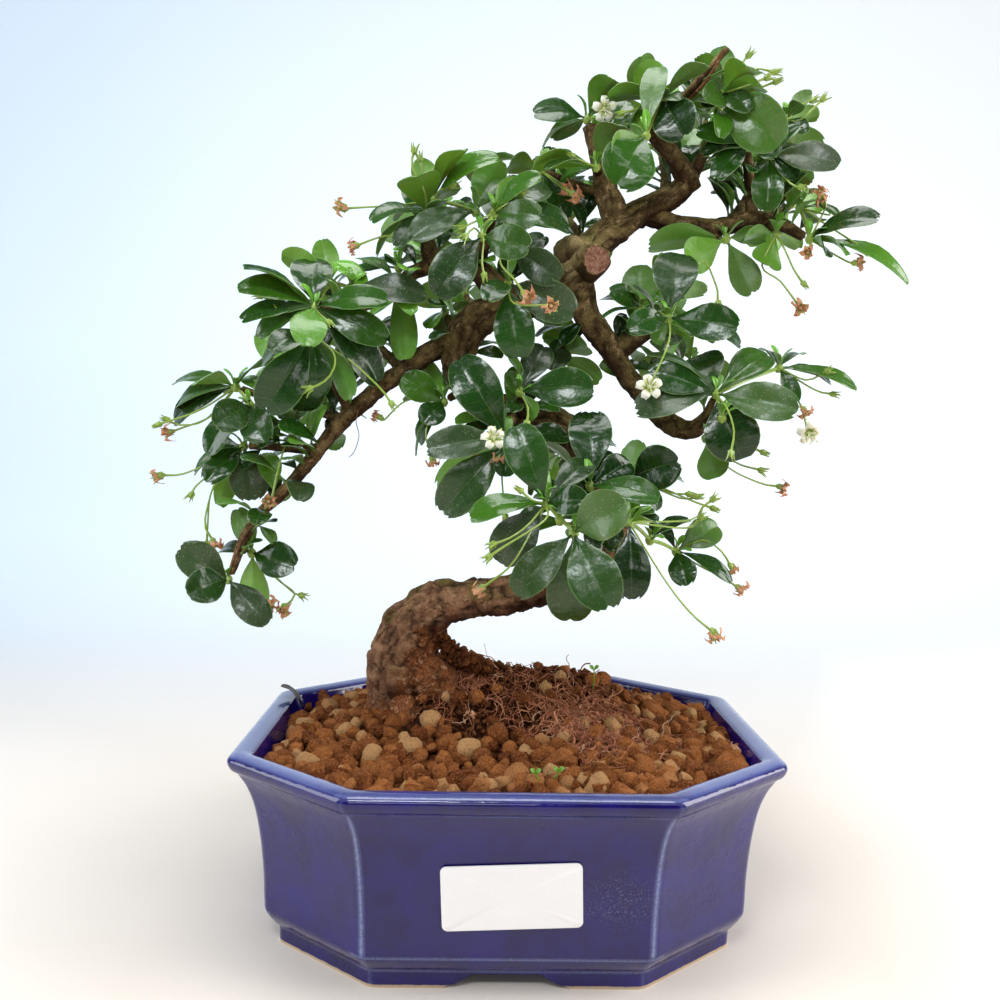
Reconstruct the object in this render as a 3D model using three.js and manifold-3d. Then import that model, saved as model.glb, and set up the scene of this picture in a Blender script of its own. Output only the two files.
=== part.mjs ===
// Fukien tea bonsai in its eight-sided glazed pot, in millimetres, +Z up.
// The pot's front faces -Y and its long side runs along X. Everything is worked out
// from the middle of the pot's foot; the finished group then moves a little along X,
// so that the origin is the middle of the whole object on the surface it stands on.

import * as THREE from 'three';
import { mergeVertices } from 'three/addons/utils/BufferGeometryUtils.js';
import Module from 'manifold-3d';

const wasm = await Module();
wasm.setup();

// Driving sizes.

// Pot: outside of the rim, and how far each level of the wall stands inside it.
const RIM_HALF_LENGTH = 100;
const RIM_HALF_DEPTH = 80;
const FRONT_FACE_HALF = 54;
const SIDE_FACE_HALF = 43;
const FRONT_CORNER_SHIFT = 0.45;
const SIDE_CORNER_SHIFT = 0.48;
const POT_OUTSIDE = [
  // [inset from the rim's outermost line, height]
  [17.3, 0], [16.9, 6], [15.4, 8], [12.5, 12.6], [12, 17], [11.8, 25], [11.3, 33], [10.5, 41],
  [9.4, 48.5], [8, 54.6], [6, 60], [4.1, 63.4], [2.9, 65.2], [1, 66.8], [0, 69.4], [0.9, 71.3],
  [3.4, 72.2], [6.2, 72], [8.2, 71], [8.9, 69.2],
];
const POT_INSIDE = [[8.9, 69.2], [13.0, 60], [17.0, 40], [20.5, 17], [24.0, 10]];
const RIM_INSIDE = 8.9;
const FOOT_RECESS_BOTTOM_INSET = 25.4;
const FOOT_RECESS_TOP_INSET = 24.8;
const FOOT_RECESS = 5.0;
const FOOT_GATE = [
  // [half width, height] of the opening in each side of the foot, from the table up
  [21.5, 0.4], [17.1, 1.8], [13.5, 3.9], [11.3, 5.2],
];
const DRAIN_HOLE_RADIUS = 7;
const DRAIN_HOLE_X = 42;
const DRAIN_HOLE_SIDES = 12;
// How far a cutting shape reaches past the pot, so that it cuts right through.
const CUT_PAST = 10;

// Soil: level below the rim, the mound of the root ball, and the granules.
const GAP = 0.35;
const SOIL_EDGE_LEVEL = 64.2;
const SOIL_EDGE_INSET = 11.6;
const SOIL_LEVEL = 66.5;
const MOUNDS = [
  // [centre x, centre y, spread x, spread y, height]
  [8, 12, 46, 30, 20.5],
  [-28, 16, 20, 20, 9],
  [-17, 20, 17, 13, 6],
  [33, 14, 20, 14, 5.5],
  [35, -14, 19, 16, 3],
];
const GRANULE_RELIEF = 1.5;
const SOIL_EDGE_STEPS = 8;
const SOIL_RINGS = 12;
const SOIL_BELOW = [
  // [inset from the rim's outermost line, height] of the solid's wall, a gap inside the pot
  [24.35, 10.35], [20.85, 17.35], [17.35, 40], [13.35, 60],
];

// Label: a bare white card on the front face.
const LABEL_THICKNESS = 0.7;
const LABEL_LOW = 24.5;
const LABEL_HIGH = 46;
const LABEL_CORNER = 1.2;
const LABEL_CORNERS = [[440.5, 866], [582, 863], [583.5, 926], [441.5, 931]];

// Blades: thickness, and the outline as [share of length, share of half width].
const BLADE_THICKNESS = 0.75;
const BLADE_ARCH = 0.09;
const BLADE_FOLD = 0.22;
const BLADE_WIDEST = [0.67, 1.0];
const BLADE_TOOTH = [0.97, 0.48];
const BLADE_NOTCH = 0.93;
const BLADE_MIDDLE = 0.73;
const KNOB_RADIUS = 2.0;
const BLADE_ROOT = 1.4;
const STEM_RADIUS = 0.85;
const STALK_RADIUS = 0.5;
const STALK_CLEARANCE = 0.9;
const WOOD_CLEARANCE = 0.95;
const BLADE_CLEARANCE = 1.35;

// Blooms: a star plate of one millimetre, a narrow gap off its pointed calyx.
const CALYX_RADIUS = 1.25;
const CALYX_LENGTH = 2.1;
const BLOOM_THICKNESS = 1.0;
const PETAL_NOTCH = 0.46;
const BLOOM_SEAT = CALYX_LENGTH + GAP + BLOOM_THICKNESS / 2;

// The front view.

// The front view that the tree was measured in: a point is given by its place
// in that view (a thousand by a thousand units) and by how far back it lies.
const VIEW_EYE = new THREE.Vector3(-11.2, -359.6, 182.8);
const VIEW_FOCAL = 911;
const VIEW_PITCH = 3.41;
const VIEW_YAW = 1.11;
const VIEW_ROLL = 1.14;
const VIEW_CENTRE = 500;

const rad = THREE.MathUtils.degToRad;
const viewForward = new THREE.Vector3(
  Math.sin(rad(VIEW_YAW)) * Math.cos(rad(VIEW_PITCH)),
  Math.cos(rad(VIEW_YAW)) * Math.cos(rad(VIEW_PITCH)),
  -Math.sin(rad(VIEW_PITCH)),
);
const levelRight = new THREE.Vector3(Math.cos(rad(VIEW_YAW)), -Math.sin(rad(VIEW_YAW)), 0);
const levelUp = new THREE.Vector3().crossVectors(levelRight, viewForward);
const viewRight = levelRight.clone().multiplyScalar(Math.cos(rad(VIEW_ROLL)))
  .addScaledVector(levelUp, Math.sin(rad(VIEW_ROLL)));
const viewUp = levelUp.clone().multiplyScalar(Math.cos(rad(VIEW_ROLL)))
  .addScaledVector(levelRight, -Math.sin(rad(VIEW_ROLL)));

// The way a bloom opens.
function bloomFacing(bloom) {
  return new THREE.Vector3(bloom[2], bloom[3], bloom[4]).normalize();
}

// The direction from the eye through a place in the front view.
function sight(px, py) {
  return viewForward.clone()
    .addScaledVector(viewRight, (px - VIEW_CENTRE) / VIEW_FOCAL)
    .addScaledVector(viewUp, (VIEW_CENTRE - py) / VIEW_FOCAL);
}

// The point seen at (px, py) that lies `back` millimetres behind the pot's middle.
function at(px, py, back) {
  const direction = sight(px, py);
  const reach = (back - VIEW_EYE.y) / direction.y;
  return VIEW_EYE.clone().addScaledVector(direction, reach);
}

// A repeatable number from 0 to 1 for the pair (i, j).
function draw(i, j) {
  const x = Math.sin(i * 12.9898 + j * 78.233) * 43758.5453;
  return x - Math.floor(x);
}

// The tree's plan.

// Wood: each limb as [x, y, back, thickness] along its middle.
const LIMBS = {
  trunk: [
    [404, 742, 20, 31], [403, 705, 18, 30], [402, 668, 15, 28.5], [408, 642, 11, 27],
    [418, 622, 7, 21.5], [440, 606, 3, 18.5], [475, 599, -1, 15.4], [532, 589, -5, 16],
    [575, 579, -7, 15.5], [603, 561, -5, 15], [613, 530, -1, 14.5], [606, 495, 3, 14.5],
    [590, 458, 6, 14.5], [563, 430, 6, 14.5], [528, 418, 4, 14], [492, 408, 2, 14],
    [468, 385, 1, 14], [459, 356, 0, 14.5], [470, 328, -2, 15], [503, 309, -4, 15],
    [545, 294, -5, 14], [577, 274, -6, 14], [590, 250, -4, 13], [612, 231, -1, 11.8],
    [641, 213, 2, 11], [670, 198, 3, 9.8], [694, 178, 2, 8.5],
  ],
  root_right: [[402, 672, 12, 22], [430, 676, 8, 17], [452, 700, 6, 13], [470, 735, 6, 9]],
  root_front: [[402, 692, 14, 19], [409, 714, 3, 14], [415, 745, -3, 10]],
  root_left: [[399, 697, 18, 17], [384, 718, 15, 13], [372, 742, 12, 10]],
  crown_left: [
    [690, 182, 2, 8], [675, 161, -2, 7], [655, 131, -7, 6.6], [655, 116, -8.6, 5], [660.5, 106, -9.7, 3.4],
  ],
  right_upper: [
    [645, 212, 3, 8], [672, 224, 3, 7.6], [697, 227, 2, 7.6], [728, 225, 1, 7.4], [756, 219, 0, 7.4],
    [783, 225, -3, 5.4], [803.5, 236.5, -5.6, 3.6],
  ],
  sawn_limb: [[577, 268, -2, 13], [588, 263, -10, 12.2], [597, 260, -20, 11]],
  knee: [[585, 262, -2, 12], [572, 253, -6, 12.5], [567, 244, -9, 10.5]],
  dark_leader: [
    [618, 224, 0, 9.5], [606, 190, 1, 9.4], [601, 165, 1, 8], [594, 142, 1, 6.2], [589, 125.8, 0, 5.4],
  ],
  right_lower: [
    [577, 284, -5, 10.5], [584, 308, -4, 10.5], [597, 332, -2, 10], [615, 357, 0, 9.2],
    [633, 384, 2, 8.6], [650, 406, 1, 8.6], [668, 423, -2, 8.8], [692, 430, -8, 7.6], [706, 416, -14, 5],
    [714, 400, -19, 3.4],
  ],
  left_long: [
    [456, 342, 1, 9.5], [432, 352, -1, 8], [398, 374, -3, 7.6], [365, 400, -6, 7], [338, 425, -8, 6.6],
    [312, 459, -10, 5.6], [286, 489, -12, 5], [263, 510, -13, 4.6], [249, 530, -14, 4.2],
    [240, 549, -15, 4], [231.2, 573.3, -15, 3],
  ],
  upper_left: [[500, 292, -4, 9], [472, 268, -4, 8.4], [440, 266, -5, 7.6], [410, 273, -6, 5.6]],
};

// Twigs: [limb-like points], each ending just short of the bud that its leaves spring from.
const TWIGS = {
  low_left_side: [[240, 548, -15, 3.4], [248, 551, -14, 2.6]],
  side_left: [[320, 449, -9, 3.8], [296, 449, -8, 3.6], [270, 446, -7, 3.4], [248, 446, -6, 3]],
  left_upright: [[297, 449, -8, 3.2], [293, 432, -6, 2.8]],
  mid_left: [[340, 421, -8, 3.6], [305, 406, -4, 3.4], [272, 399, -5, 3.2], [240, 389, -8, 3]],
  shelf_low: [[350, 412, -7, 4], [338, 390, -12, 3.8], [320, 350, -19, 3.4], [315, 338, -22, 3]],
  shelf: [[412, 273, -6, 5], [385, 296, -10, 4.2], [350, 312, -15, 3.6], [318, 310, -20, 3]],
  leaning_leader: [[434, 267, -5, 6.8], [429, 250, -7, 6.6], [428, 234, -8, 5.4], [428, 217, -10, 3.4]],
  upper_centre: [[476, 268, -4, 6], [484, 245, -12, 5], [490, 226, -17, 4], [493, 216, -20, 3]],
  centre_back: [[608, 196, 1, 4], [575, 184, 5, 3.6], [543, 174, 6, 3]],
  leader_side: [[604, 180, 1, 4], [597, 168, -4, 3]],
  dead_twig: [[655, 126, -7, 4], [684, 97, -12, 3.2], [727, 49, -14, 2.6]],
  crown_mid: [[690, 178, 2, 5], [702, 158, -1, 4.6], [714, 134, -4, 4], [718, 112, -8, 3]],
  crown_right: [[752, 220, 0, 5], [750, 190, -2, 4.6], [748, 166, -4, 4.4], [748, 150, -6, 3.2]],
  crown_far: [[750, 192, -2, 4], [770, 160, 6, 3.4], [784, 126, 8, 3]],
  under_branch: [[700, 227, 2, 5], [712, 235, 0, 4.4], [724, 238, -2, 3]],
  under_branch_right: [[764, 221, -1, 4], [773, 232, -3, 3]],
  middle_right: [[619, 352, 1, 6.6], [640, 338, -4, 5], [657, 328, -9, 4], [667, 320, -14, 3]],
  centre: [[526, 417, 3, 6], [522, 405, -8, 4.6], [519, 394, -16, 3]],
  centre_low: [[508, 414, 2, 6], [508, 428, -12, 4.6], [508, 438, -22, 3]],
  trunk_left: [[470, 388, 1, 5], [455, 395, 1, 3.8], [446, 401, 0, 3]],
  trunk_left_up: [[463, 340, -2, 5], [452, 326, 2, 3.8], [446, 316, 4, 3]],
  trunk_right: [[590, 312, -3, 5], [573, 338, 6, 4], [562, 352, 9, 3]],
  front_low: [[606, 508, 2, 6.4], [590, 514, -18, 5], [575, 524, -38, 4]],
  front_high: [[590, 512, -18, 4.4], [568, 509, -34, 3.8], [548, 505, -44, 3]],
  front_mid: [[604, 500, 2, 5], [597, 492, -18, 4], [591, 487, -31, 3]],
  front_right: [[608, 512, 0, 5], [618, 518, -22, 4], [627, 522, -40, 3]],
  right_mid_front: [[606, 492, 3, 4.6], [620, 484, -12, 3.6], [629, 478, -24, 3]],
  back_crown_a: [[668, 196, 4, 5], [662, 150, 24, 4], [650, 112, 36, 3]],
  back_crown_b: [[690, 180, 4, 5], [700, 150, 24, 4], [706, 118, 38, 3]],
  back_crown_c: [[730, 224, 2, 5], [752, 190, 26, 4], [765, 150, 38, 3]],
  back_right: [[768, 220, -1, 4.4], [778, 214, 20, 4], [790, 205, 36, 3]],
  back_upper_left: [[440, 266, -4, 5], [428, 240, 18, 4], [420, 214, 32, 3]],
  back_upper_mid: [[505, 296, -2, 6], [510, 250, 22, 4.4], [512, 212, 38, 3]],
  back_upper_right: [[590, 250, 0, 5], [570, 222, 26, 4], [560, 196, 42, 3]],
  back_shelf_a: [[404, 370, -2, 4.4], [372, 342, 14, 4], [345, 322, 28, 3]],
  back_shelf_b: [[340, 421, -7, 4], [310, 390, 14, 3.6], [288, 368, 24, 3]],
  back_middle: [[466, 360, 4, 5], [470, 330, 26, 4], [466, 296, 40, 3]],
  back_centre_b: [[575, 442, 9, 5], [572, 450, 30, 4], [565, 456, 46, 3]],
  back_right_low: [[640, 394, 4, 5], [662, 376, 24, 4], [690, 366, 38, 3]],
  back_right_mid: [[612, 348, 3, 5], [640, 320, 24, 4], [672, 300, 40, 3]],
};

// Leafy shoots. hubs: [x, y, back] of each bud (the first one is at its twig's tip).
// leaves: [bud, tip x, tip y, length, facing, width share]: a length above zero
// brings the tip nearer to the front and one below zero takes it back; facing is
// how squarely the upper side looks to the front (below zero the underside does).
// turns: [bud, count, axis x, axis y, axis z], leaves set by the golden angle.
// stalks: [bud, [x, y, back], ... ] of the thin flower stalks, up to the bloom's middle.
const SHOOTS = {
  low_left: {
    hubs: [[228, 579, -15]],
    leaves: [
      [0, 181, 549, 23, 0.95, 0.64], [0, 190, 592, 19, 0.9, 0.74], [0, 266, 622, 24, 0.95, 0.52],
    ],
    turns: [],
    stalks: [],
  },
  low_left_side: {
    hubs: [[252, 553, -13]],
    leaves: [
      [0, 294, 566, 20, 0.9, 0.72], [0, 238, 509, -20, -0.7, 0.5], [0, 219, 548, -17, 0.4, 0.5],
    ],
    turns: [[0, 1, 0.2, 0.9, -0.2]],
    stalks: [[0, [277, 579, -13], [295, 594, -14], [282, 612, -17]]],
  },
  side_left: {
    hubs: [[244, 446, -6]],
    leaves: [
      [0, 252, 500, 22, 0.95, 0.7], [0, 206, 480, 23, 0.7, 0.46], [0, 206, 448, -22, 0.7, 0.5],
      [0, 191, 470, -24, 0.4, 0.3], [0, 220, 504, -26, -0.7, 0.36],
    ],
    turns: [],
    stalks: [
      [0, [226, 470, -8], [211, 493, -10], [208, 520, -11], [205, 550, -13]],
      [0, [214, 461, -5], [183, 474, -7], [154, 477, -8]],
    ],
  },
  left_upright: {
    hubs: [[292, 429, -5]],
    leaves: [
      [0, 279, 409, 17, -0.3, 0.5], [0, 272, 423, 17, 0.2, 0.4], [0, 303, 409, -16, 0.3, 0.4],
    ],
    turns: [],
    stalks: [[0, [285, 446, -13], [278, 470, -18], [268, 502, -20]]],
  },
  mid_left: {
    hubs: [[236, 387, -9], [250, 405, -12]],
    leaves: [
      [0, 194, 381, 20, -0.45, 0.56], [0, 173, 378, -26, 0.25, 0.4], [0, 272, 360, -22, -0.4, 0.5],
      [1, 217, 424, 19, 0.85, 0.72], [1, 264, 440, 20, 0.75, 0.66], [0, 172, 420, -30, 0.5, 0.42],
      [1, 206, 452, -24, 0.7, 0.48], [0, 174, 402, -28, 0.15, 0.34],
    ],
    turns: [],
    stalks: [],
  },
  shelf_low: {
    hubs: [[313, 334, -24]],
    leaves: [
      [0, 264, 411, 31, 0.95, 0.56], [0, 261, 362, -24, 0.4, 0.5], [0, 317, 398, 23, 0.7, 0.52],
      [0, 272, 348, 22, 0.5, 0.5], [0, 303, 413, -30, 0.5, 0.5], [0, 352, 398, -26, -0.5, 0.4],
    ],
    turns: [],
    stalks: [],
  },
  shelf: {
    hubs: [[314, 308, -21], [330, 284, -14], [350, 288, -13]],
    leaves: [
      [0, 310, 257, -22, 0.85, 0.74], [1, 283, 254, -22, -0.6, 0.52], [0, 245, 264, 29, 0.15, 0.46],
      [0, 240, 284, 28, 0.45, 0.44], [0, 269, 283, -20, -0.35, 0.5], [0, 241, 318, 28, 0.4, 0.34],
      [0, 257, 335, 24, 0.35, 0.4], [0, 306, 343, 23, 0.8, 0.6], [0, 387, 338, 29, 0.8, 0.44],
      [0, 386, 297, 28, 0.55, 0.42], [0, 380, 381, 30, 0.85, 0.5], [1, 322, 241, -19, -0.7, 0.56],
      [2, 425, 293, 29, 0.6, 0.44],
    ],
    turns: [],
    stalks: [],
  },
  branch_left: {
    hubs: [[399, 268, -3]],
    leaves: [
      [0, 334, 282, -30, 0.3, 0.38], [0, 366, 261, -22, 0.1, 0.4], [0, 405, 361, 38, -0.5, 0.3],
    ],
    turns: [],
    stalks: [],
  },
  leaning_leader: {
    hubs: [[428, 213, -11], [434, 200, -11], [476, 212, -14]],
    leaves: [
      [0, 416, 172, 21, -0.9, 0.8], [1, 417, 161, -18, -0.7, 0.6], [1, 462, 145, 27, 0.1, 0.36],
      [1, 494, 153, 30, 0.45, 0.4], [2, 499, 162, -22, -0.8, 0.6], [2, 412, 235, 29, 0.6, 0.42],
      [2, 424, 237, 24, -0.5, 0.4], [0, 371, 216, 23, 0.3, 0.5], [0, 397, 245, 23, 0.35, 0.4],
      [0, 373, 251, -25, -0.2, 0.4], [1, 456, 190, -17, -0.6, 0.6],
    ],
    turns: [],
    stalks: [[1, [401, 205, -14], [370, 207, -17], [338, 206, -18]]],
  },
  upper_centre: {
    hubs: [[494, 213, -21], [482, 236, -24], [510, 247, -20], [508, 284, -19]],
    leaves: [
      [0, 538, 214, 21, 0.85, 0.56], [1, 528, 246, 21, 0.9, 0.64], [0, 538, 174, 23, 0.5, 0.42],
      [0, 549, 184, -25, 0.6, 0.5], [0, 571, 225, -30, 0.7, 0.44], [1, 437, 294, 29, 0.85, 0.56],
      [2, 559, 279, 23, 0.9, 0.56], [3, 574, 312, 27, 0.9, 0.58], [3, 519, 357, 28, 0.9, 0.56],
      [3, 488, 297, 18, 0.5, 0.6],
    ],
    turns: [],
    stalks: [[3, [514, 303, -32], [552, 306, -36]]],
  },
  centre_back: {
    hubs: [[541, 171, 6]],
    leaves: [
      [0, 507, 163, 18, -0.7, 0.6], [0, 484, 158, -25, -0.2, 0.36], [0, 567, 218, 22, 0.5, 0.46],
    ],
    turns: [],
    stalks: [],
  },
  leader_side: {
    hubs: [[596, 167, -5]],
    leaves: [
      [0, 531, 164, 27, -0.5, 0.44], [0, 619, 122, 22, -0.6, 0.6], [0, 560, 180, -18, 0.3, 0.4],
    ],
    turns: [],
    stalks: [],
  },
  stub_top: {
    hubs: [[587, 119, 0]],
    leaves: [
      [0, 534, 112, 22, 0.6, 0.5], [0, 613, 76, 21, -0.65, 0.62], [0, 541, 143, -22, 0.3, 0.4],
    ],
    turns: [],
    stalks: [[0, [600, 116, -6], [605, 109, -13.3]]],
  },
  crown_left: {
    hubs: [[662, 100, -11], [646, 136, -18, 0]],
    leaves: [
      [0, 606, 94, 22, -0.5, 0.44], [0, 641, 65, -16, -0.75, 0.8], [0, 707, 62, 23, -0.4, 0.36],
      [0, 684, 134, 20, 0.95, 0.86], [1, 608, 149, 19, -0.7, 0.5], [1, 632, 117, -14, -0.7, 0.7],
      [1, 618, 184, 25, 0.95, 0.84], [1, 659, 63, -34, 0.2, 0.3],
    ],
    turns: [],
    stalks: [],
  },
  crown_mid: {
    hubs: [[718, 109, -9], [722, 94, -12]],
    leaves: [
      [1, 779, 143, 30, 0.95, 0.66], [1, 748, 108, 16, 0.6, 0.6], [1, 748, 63, 21, -0.7, 0.56],
      [1, 719, 51, -22, -0.75, 0.6], [1, 766, 85, 20, -0.7, 0.5], [0, 702, 55, -22, -0.4, 0.5],
      [1, 708, 97, 16, 0.85, 0.66], [1, 761, 68, -22, 0.4, 0.5],
    ],
    turns: [],
    stalks: [],
  },
  crown_right: {
    hubs: [[748, 147, -7], [769, 156, -10]],
    leaves: [
      [0, 703, 151, 20, 0.4, 0.44], [0, 716, 177, 23, 0.5, 0.46], [0, 777, 153, 17, 0.6, 0.6],
      [1, 768, 210, 22, 0.9, 0.56], [1, 797, 203, -22, -0.4, 0.36], [1, 838, 162, 27, 0.65, 0.46],
      [1, 811, 182, -20, -0.6, 0.5], [0, 698, 130, -20, 0.4, 0.5],
    ],
    turns: [],
    stalks: [],
  },
  crown_far: {
    hubs: [[786, 120, 8]],
    leaves: [
      [0, 810, 93, -16, -0.6, 0.5], [0, 806, 131, 12, 0.6, 0.6], [0, 818, 116, -14, -0.5, 0.7],
    ],
    turns: [[0, 1, 0.2, 0.8, 0.5]],
    stalks: [],
  },
  right_end: {
    hubs: [[810, 239, -7], [800, 208, -1]],
    leaves: [
      [0, 877, 215, 27, 0.5, 0.42], [0, 911, 279, 38, 0.25, 0.3], [0, 848, 252, 18, -0.5, 0.6],
    ],
    turns: [],
    stalks: [],
  },
  under_branch: {
    hubs: [[726, 239, -3]],
    leaves: [
      [0, 753, 294, 24, -0.85, 0.52], [0, 688, 262, 20, -0.9, 0.76], [0, 648, 245, -30, -0.8, 0.44],
      [0, 766, 238, -18, -0.6, 0.5],
    ],
    turns: [],
    stalks: [],
  },
  under_branch_right: {
    hubs: [[776, 234, -4]],
    leaves: [
      [0, 767, 268, 17, -0.9, 0.8], [0, 798, 246, -14, -0.6, 0.6], [0, 742, 238, 17, -0.6, 0.5],
    ],
    turns: [],
    stalks: [[0, [762, 266, -9], [780, 281, -11], [801, 309, -14]]],
  },
  middle_right: {
    hubs: [[669, 318, -16], [640, 309, -6, 0]],
    leaves: [
      [0, 679, 251, -27, 0.85, 0.66], [0, 737, 326, 27, 0.8, 0.54], [0, 631, 327, 20, 0.75, 0.54],
      [0, 716, 338, -22, -0.4, 0.46], [0, 744, 341, -32, 0.3, 0.3], [1, 612, 290, 16, 0.6, 0.6],
      [1, 640, 267, -20, -0.8, 0.76],
    ],
    turns: [],
    stalks: [[0, [670, 335, -23], [664, 355, -28], [650, 386, -29.5]]],
  },
  right_low: {
    hubs: [[716, 394, -21], [779, 368, -4, 0], [722, 418, -26, 0], [706, 438, -14, 2]],
    leaves: [
      [0, 636, 408, 31, 0.8, 0.5], [0, 647, 373, 28, 0.7, 0.48], [0, 697, 353, -22, 0.75, 0.8],
      [0, 770, 352, -28, 0.6, 0.5], [0, 797, 408, 31, 0.8, 0.48], [0, 742, 458, 26, 0.95, 0.8],
      [0, 651, 350, -29, 0.3, 0.34], [1, 832, 381, -22, 0.3, 0.4], [1, 858, 386, -32, 0.3, 0.3],
      [3, 714, 479, 16, -0.6, 0.8],
    ],
    turns: [],
    stalks: [[1, [800, 404, -8], [810, 434, -12]]],
  },
  centre: {
    hubs: [[520, 392, -17]],
    leaves: [
      [0, 545, 345, -22, 0.75, 0.56], [0, 593, 388, 28, 0.85, 0.56], [0, 512, 356, -15, -0.4, 0.5],
    ],
    turns: [],
    stalks: [],
  },
  centre_low: {
    hubs: [[508, 441, -23]],
    leaves: [
      [0, 459, 358, 32, 0.85, 0.56], [0, 427, 448, 31, 0.75, 0.42], [0, 441, 512, 34, 0.85, 0.5],
      [0, 569, 435, -25, 0.55, 0.4], [0, 569, 456, -27, -0.25, 0.4],
      [0, 440, 488, -34, -0.85, 0.46], [0, 532, 494, 22, -0.3, 0.5],
    ],
    turns: [],
    stalks: [[0, [503, 446, -31], [494, 437, -38]]],
  },
  trunk_left: {
    hubs: [[444, 402, 0]],
    leaves: [
      [0, 402, 378, 19, 0.6, 0.66], [0, 424, 422, 14, 0.7, 0.8], [0, 417, 443, -20, 0.4, 0.4],
      [0, 420, 360, -19, -0.6, 0.5],
    ],
    turns: [],
    stalks: [],
  },
  trunk_left_up: {
    hubs: [[445, 312, 5]],
    leaves: [
      [0, 430, 326, 14, -0.4, 0.7], [0, 441, 337, 13, -0.7, 0.6], [0, 432, 302, 13, 0.4, 0.6],
    ],
    turns: [],
    stalks: [],
  },
  trunk_right: {
    hubs: [[558, 355, 9]],
    leaves: [
      [0, 590, 345, 16, -0.8, 0.6], [0, 560, 316, -18, -0.85, 0.8], [0, 600, 380, -20, -0.8, 0.5],
    ],
    turns: [],
    stalks: [],
  },
  front_high: {
    hubs: [[546, 504, -45], [574, 533, -52, 2], [560, 520, -49, 0]],
    leaves: [
      [0, 516, 425, -29, 0.95, 0.54], [0, 470, 514, 27, 0.4, 0.42], [0, 497, 561, 26, 0.95, 0.62],
      [0, 585, 500, 18, 0.8, 0.62], [0, 591, 459, -26, 0.5, 0.4], [2, 600, 502, 15, 0.9, 0.5],
      [1, 624, 503, 24, 0.85, 0.72], [1, 515, 593, 29, 0.85, 0.46], [1, 609, 606, 29, 0.95, 0.62],
      [1, 570, 622, -31, 0.6, 0.56],
    ],
    turns: [],
    stalks: [],
  },
  front_mid: {
    hubs: [[590, 486, -33]],
    leaves: [
      [0, 589, 410, -30, 0.85, 0.56], [0, 606, 449, -17, 0.7, 0.6], [0, 631, 462, -18, 0.8, 0.66],
      [0, 658, 496, 26, 0.65, 0.4],
    ],
    turns: [],
    stalks: [],
  },
  right_mid_front: {
    hubs: [[631, 477, -25]],
    leaves: [
      [0, 677, 462, 21, 0.95, 0.82], [0, 638, 441, -16, -0.7, 0.6], [0, 684, 478, -24, 0.4, 0.3],
    ],
    turns: [],
    stalks: [],
  },
  front_right: {
    hubs: [[629, 522, -42], [650, 540, -26], [676, 551, -9]],
    leaves: [
      [0, 632, 599, 27, 0.8, 0.52], [2, 719, 525, -20, 0.75, 0.66], [2, 687, 584, 16, 0.8, 0.7],
      [2, 733, 580, 24, 0.4, 0.3],
    ],
    turns: [],
    stalks: [[0, [665, 580, -42], [690, 612, -43], [716, 639, -44]]],
  },
  back_crown_a: { hubs: [[650, 109, 37]], leaves: [], turns: [[0, 4, -0.4, 0.5, 0.8]], stalks: [] },
  back_crown_b: { hubs: [[706, 115, 39]], leaves: [], turns: [[0, 4, 0, 0.5, 0.9]], stalks: [] },
  back_crown_c: { hubs: [[765, 147, 39]], leaves: [], turns: [[0, 4, 0.4, 0.5, 0.8]], stalks: [] },
  back_right: { hubs: [[792, 204, 37]], leaves: [], turns: [[0, 4, -0.2, 0.9, 0.1]], stalks: [] },
  back_upper_left: { hubs: [[419, 211, 33]], leaves: [], turns: [[0, 4, 0.4, 0.9, 0]], stalks: [] },
  back_upper_mid: { hubs: [[512, 209, 39]], leaves: [], turns: [[0, 4, 0, 0.6, 0.8]], stalks: [] },
  back_upper_right: { hubs: [[559, 193, 43]], leaves: [], turns: [[0, 4, 0.2, 0.7, 0.7]], stalks: [] },
  back_shelf_a: { hubs: [[344, 320, 29]], leaves: [], turns: [[0, 4, -0.3, 0.6, 0.7]], stalks: [] },
  back_shelf_b: { hubs: [[286, 366, 25]], leaves: [], turns: [[0, 4, 0.1, 0.9, -0.1]], stalks: [] },
  back_middle: { hubs: [[466, 293, 41]], leaves: [], turns: [[0, 4, -0.1, 0.8, 0.5]], stalks: [] },
  back_centre_b: { hubs: [[564, 458, 47]], leaves: [], turns: [[0, 4, 0, 0.9, 0.3]], stalks: [] },
  back_right_low: { hubs: [[692, 364, 39]], leaves: [], turns: [[0, 4, 0.2, 0.8, 0.4]], stalks: [] },
  back_right_mid: { hubs: [[673, 297, 41]], leaves: [], turns: [[0, 4, 0.1, 0.7, 0.6]], stalks: [] },
};

// Blooms: [name, the shoot whose stalk ends in it, the way it faces as x, y, z, radius].
// Fresh blooms are white and spent ones salmon. A shoot's blooms stand in the order of its stalks.
const BLOOMS = [
  ['bloom_white_1', 'stub_top', 0.1, -0.9, -0.3, 4.4],
  ['bloom_white_2', 'middle_right', 0, -1, 0.2, 4.6],
  ['bloom_white_3', 'right_low', 0, -0.9, -0.4, 4.4],
  ['bloom_white_4', 'centre_low', 0.2, -0.9, 0.3, 4.2],
  ['bloom_spent_1', 'side_left', 0, -0.7, -0.7, 4.0],
  ['bloom_spent_2', 'low_left_side', -0.2, -0.8, -0.6, 4.0],
  ['bloom_spent_3', 'left_upright', -0.2, -1, -0.1, 4.0],
  ['bloom_spent_4', 'upper_centre', 0.3, -0.9, -0.2, 3.8],
  ['bloom_spent_5', 'under_branch_right', 0, -0.8, -0.5, 3.9],
  ['bloom_spent_6', 'front_right', 0.3, -0.5, -0.8, 4.0],
  ['bloom_spent_7', 'side_left', -0.7, -0.6, -0.2, 3.8],
  ['bloom_spent_8', 'leaning_leader', -0.7, -0.6, 0.1, 3.8],
];

// Solids.

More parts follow.
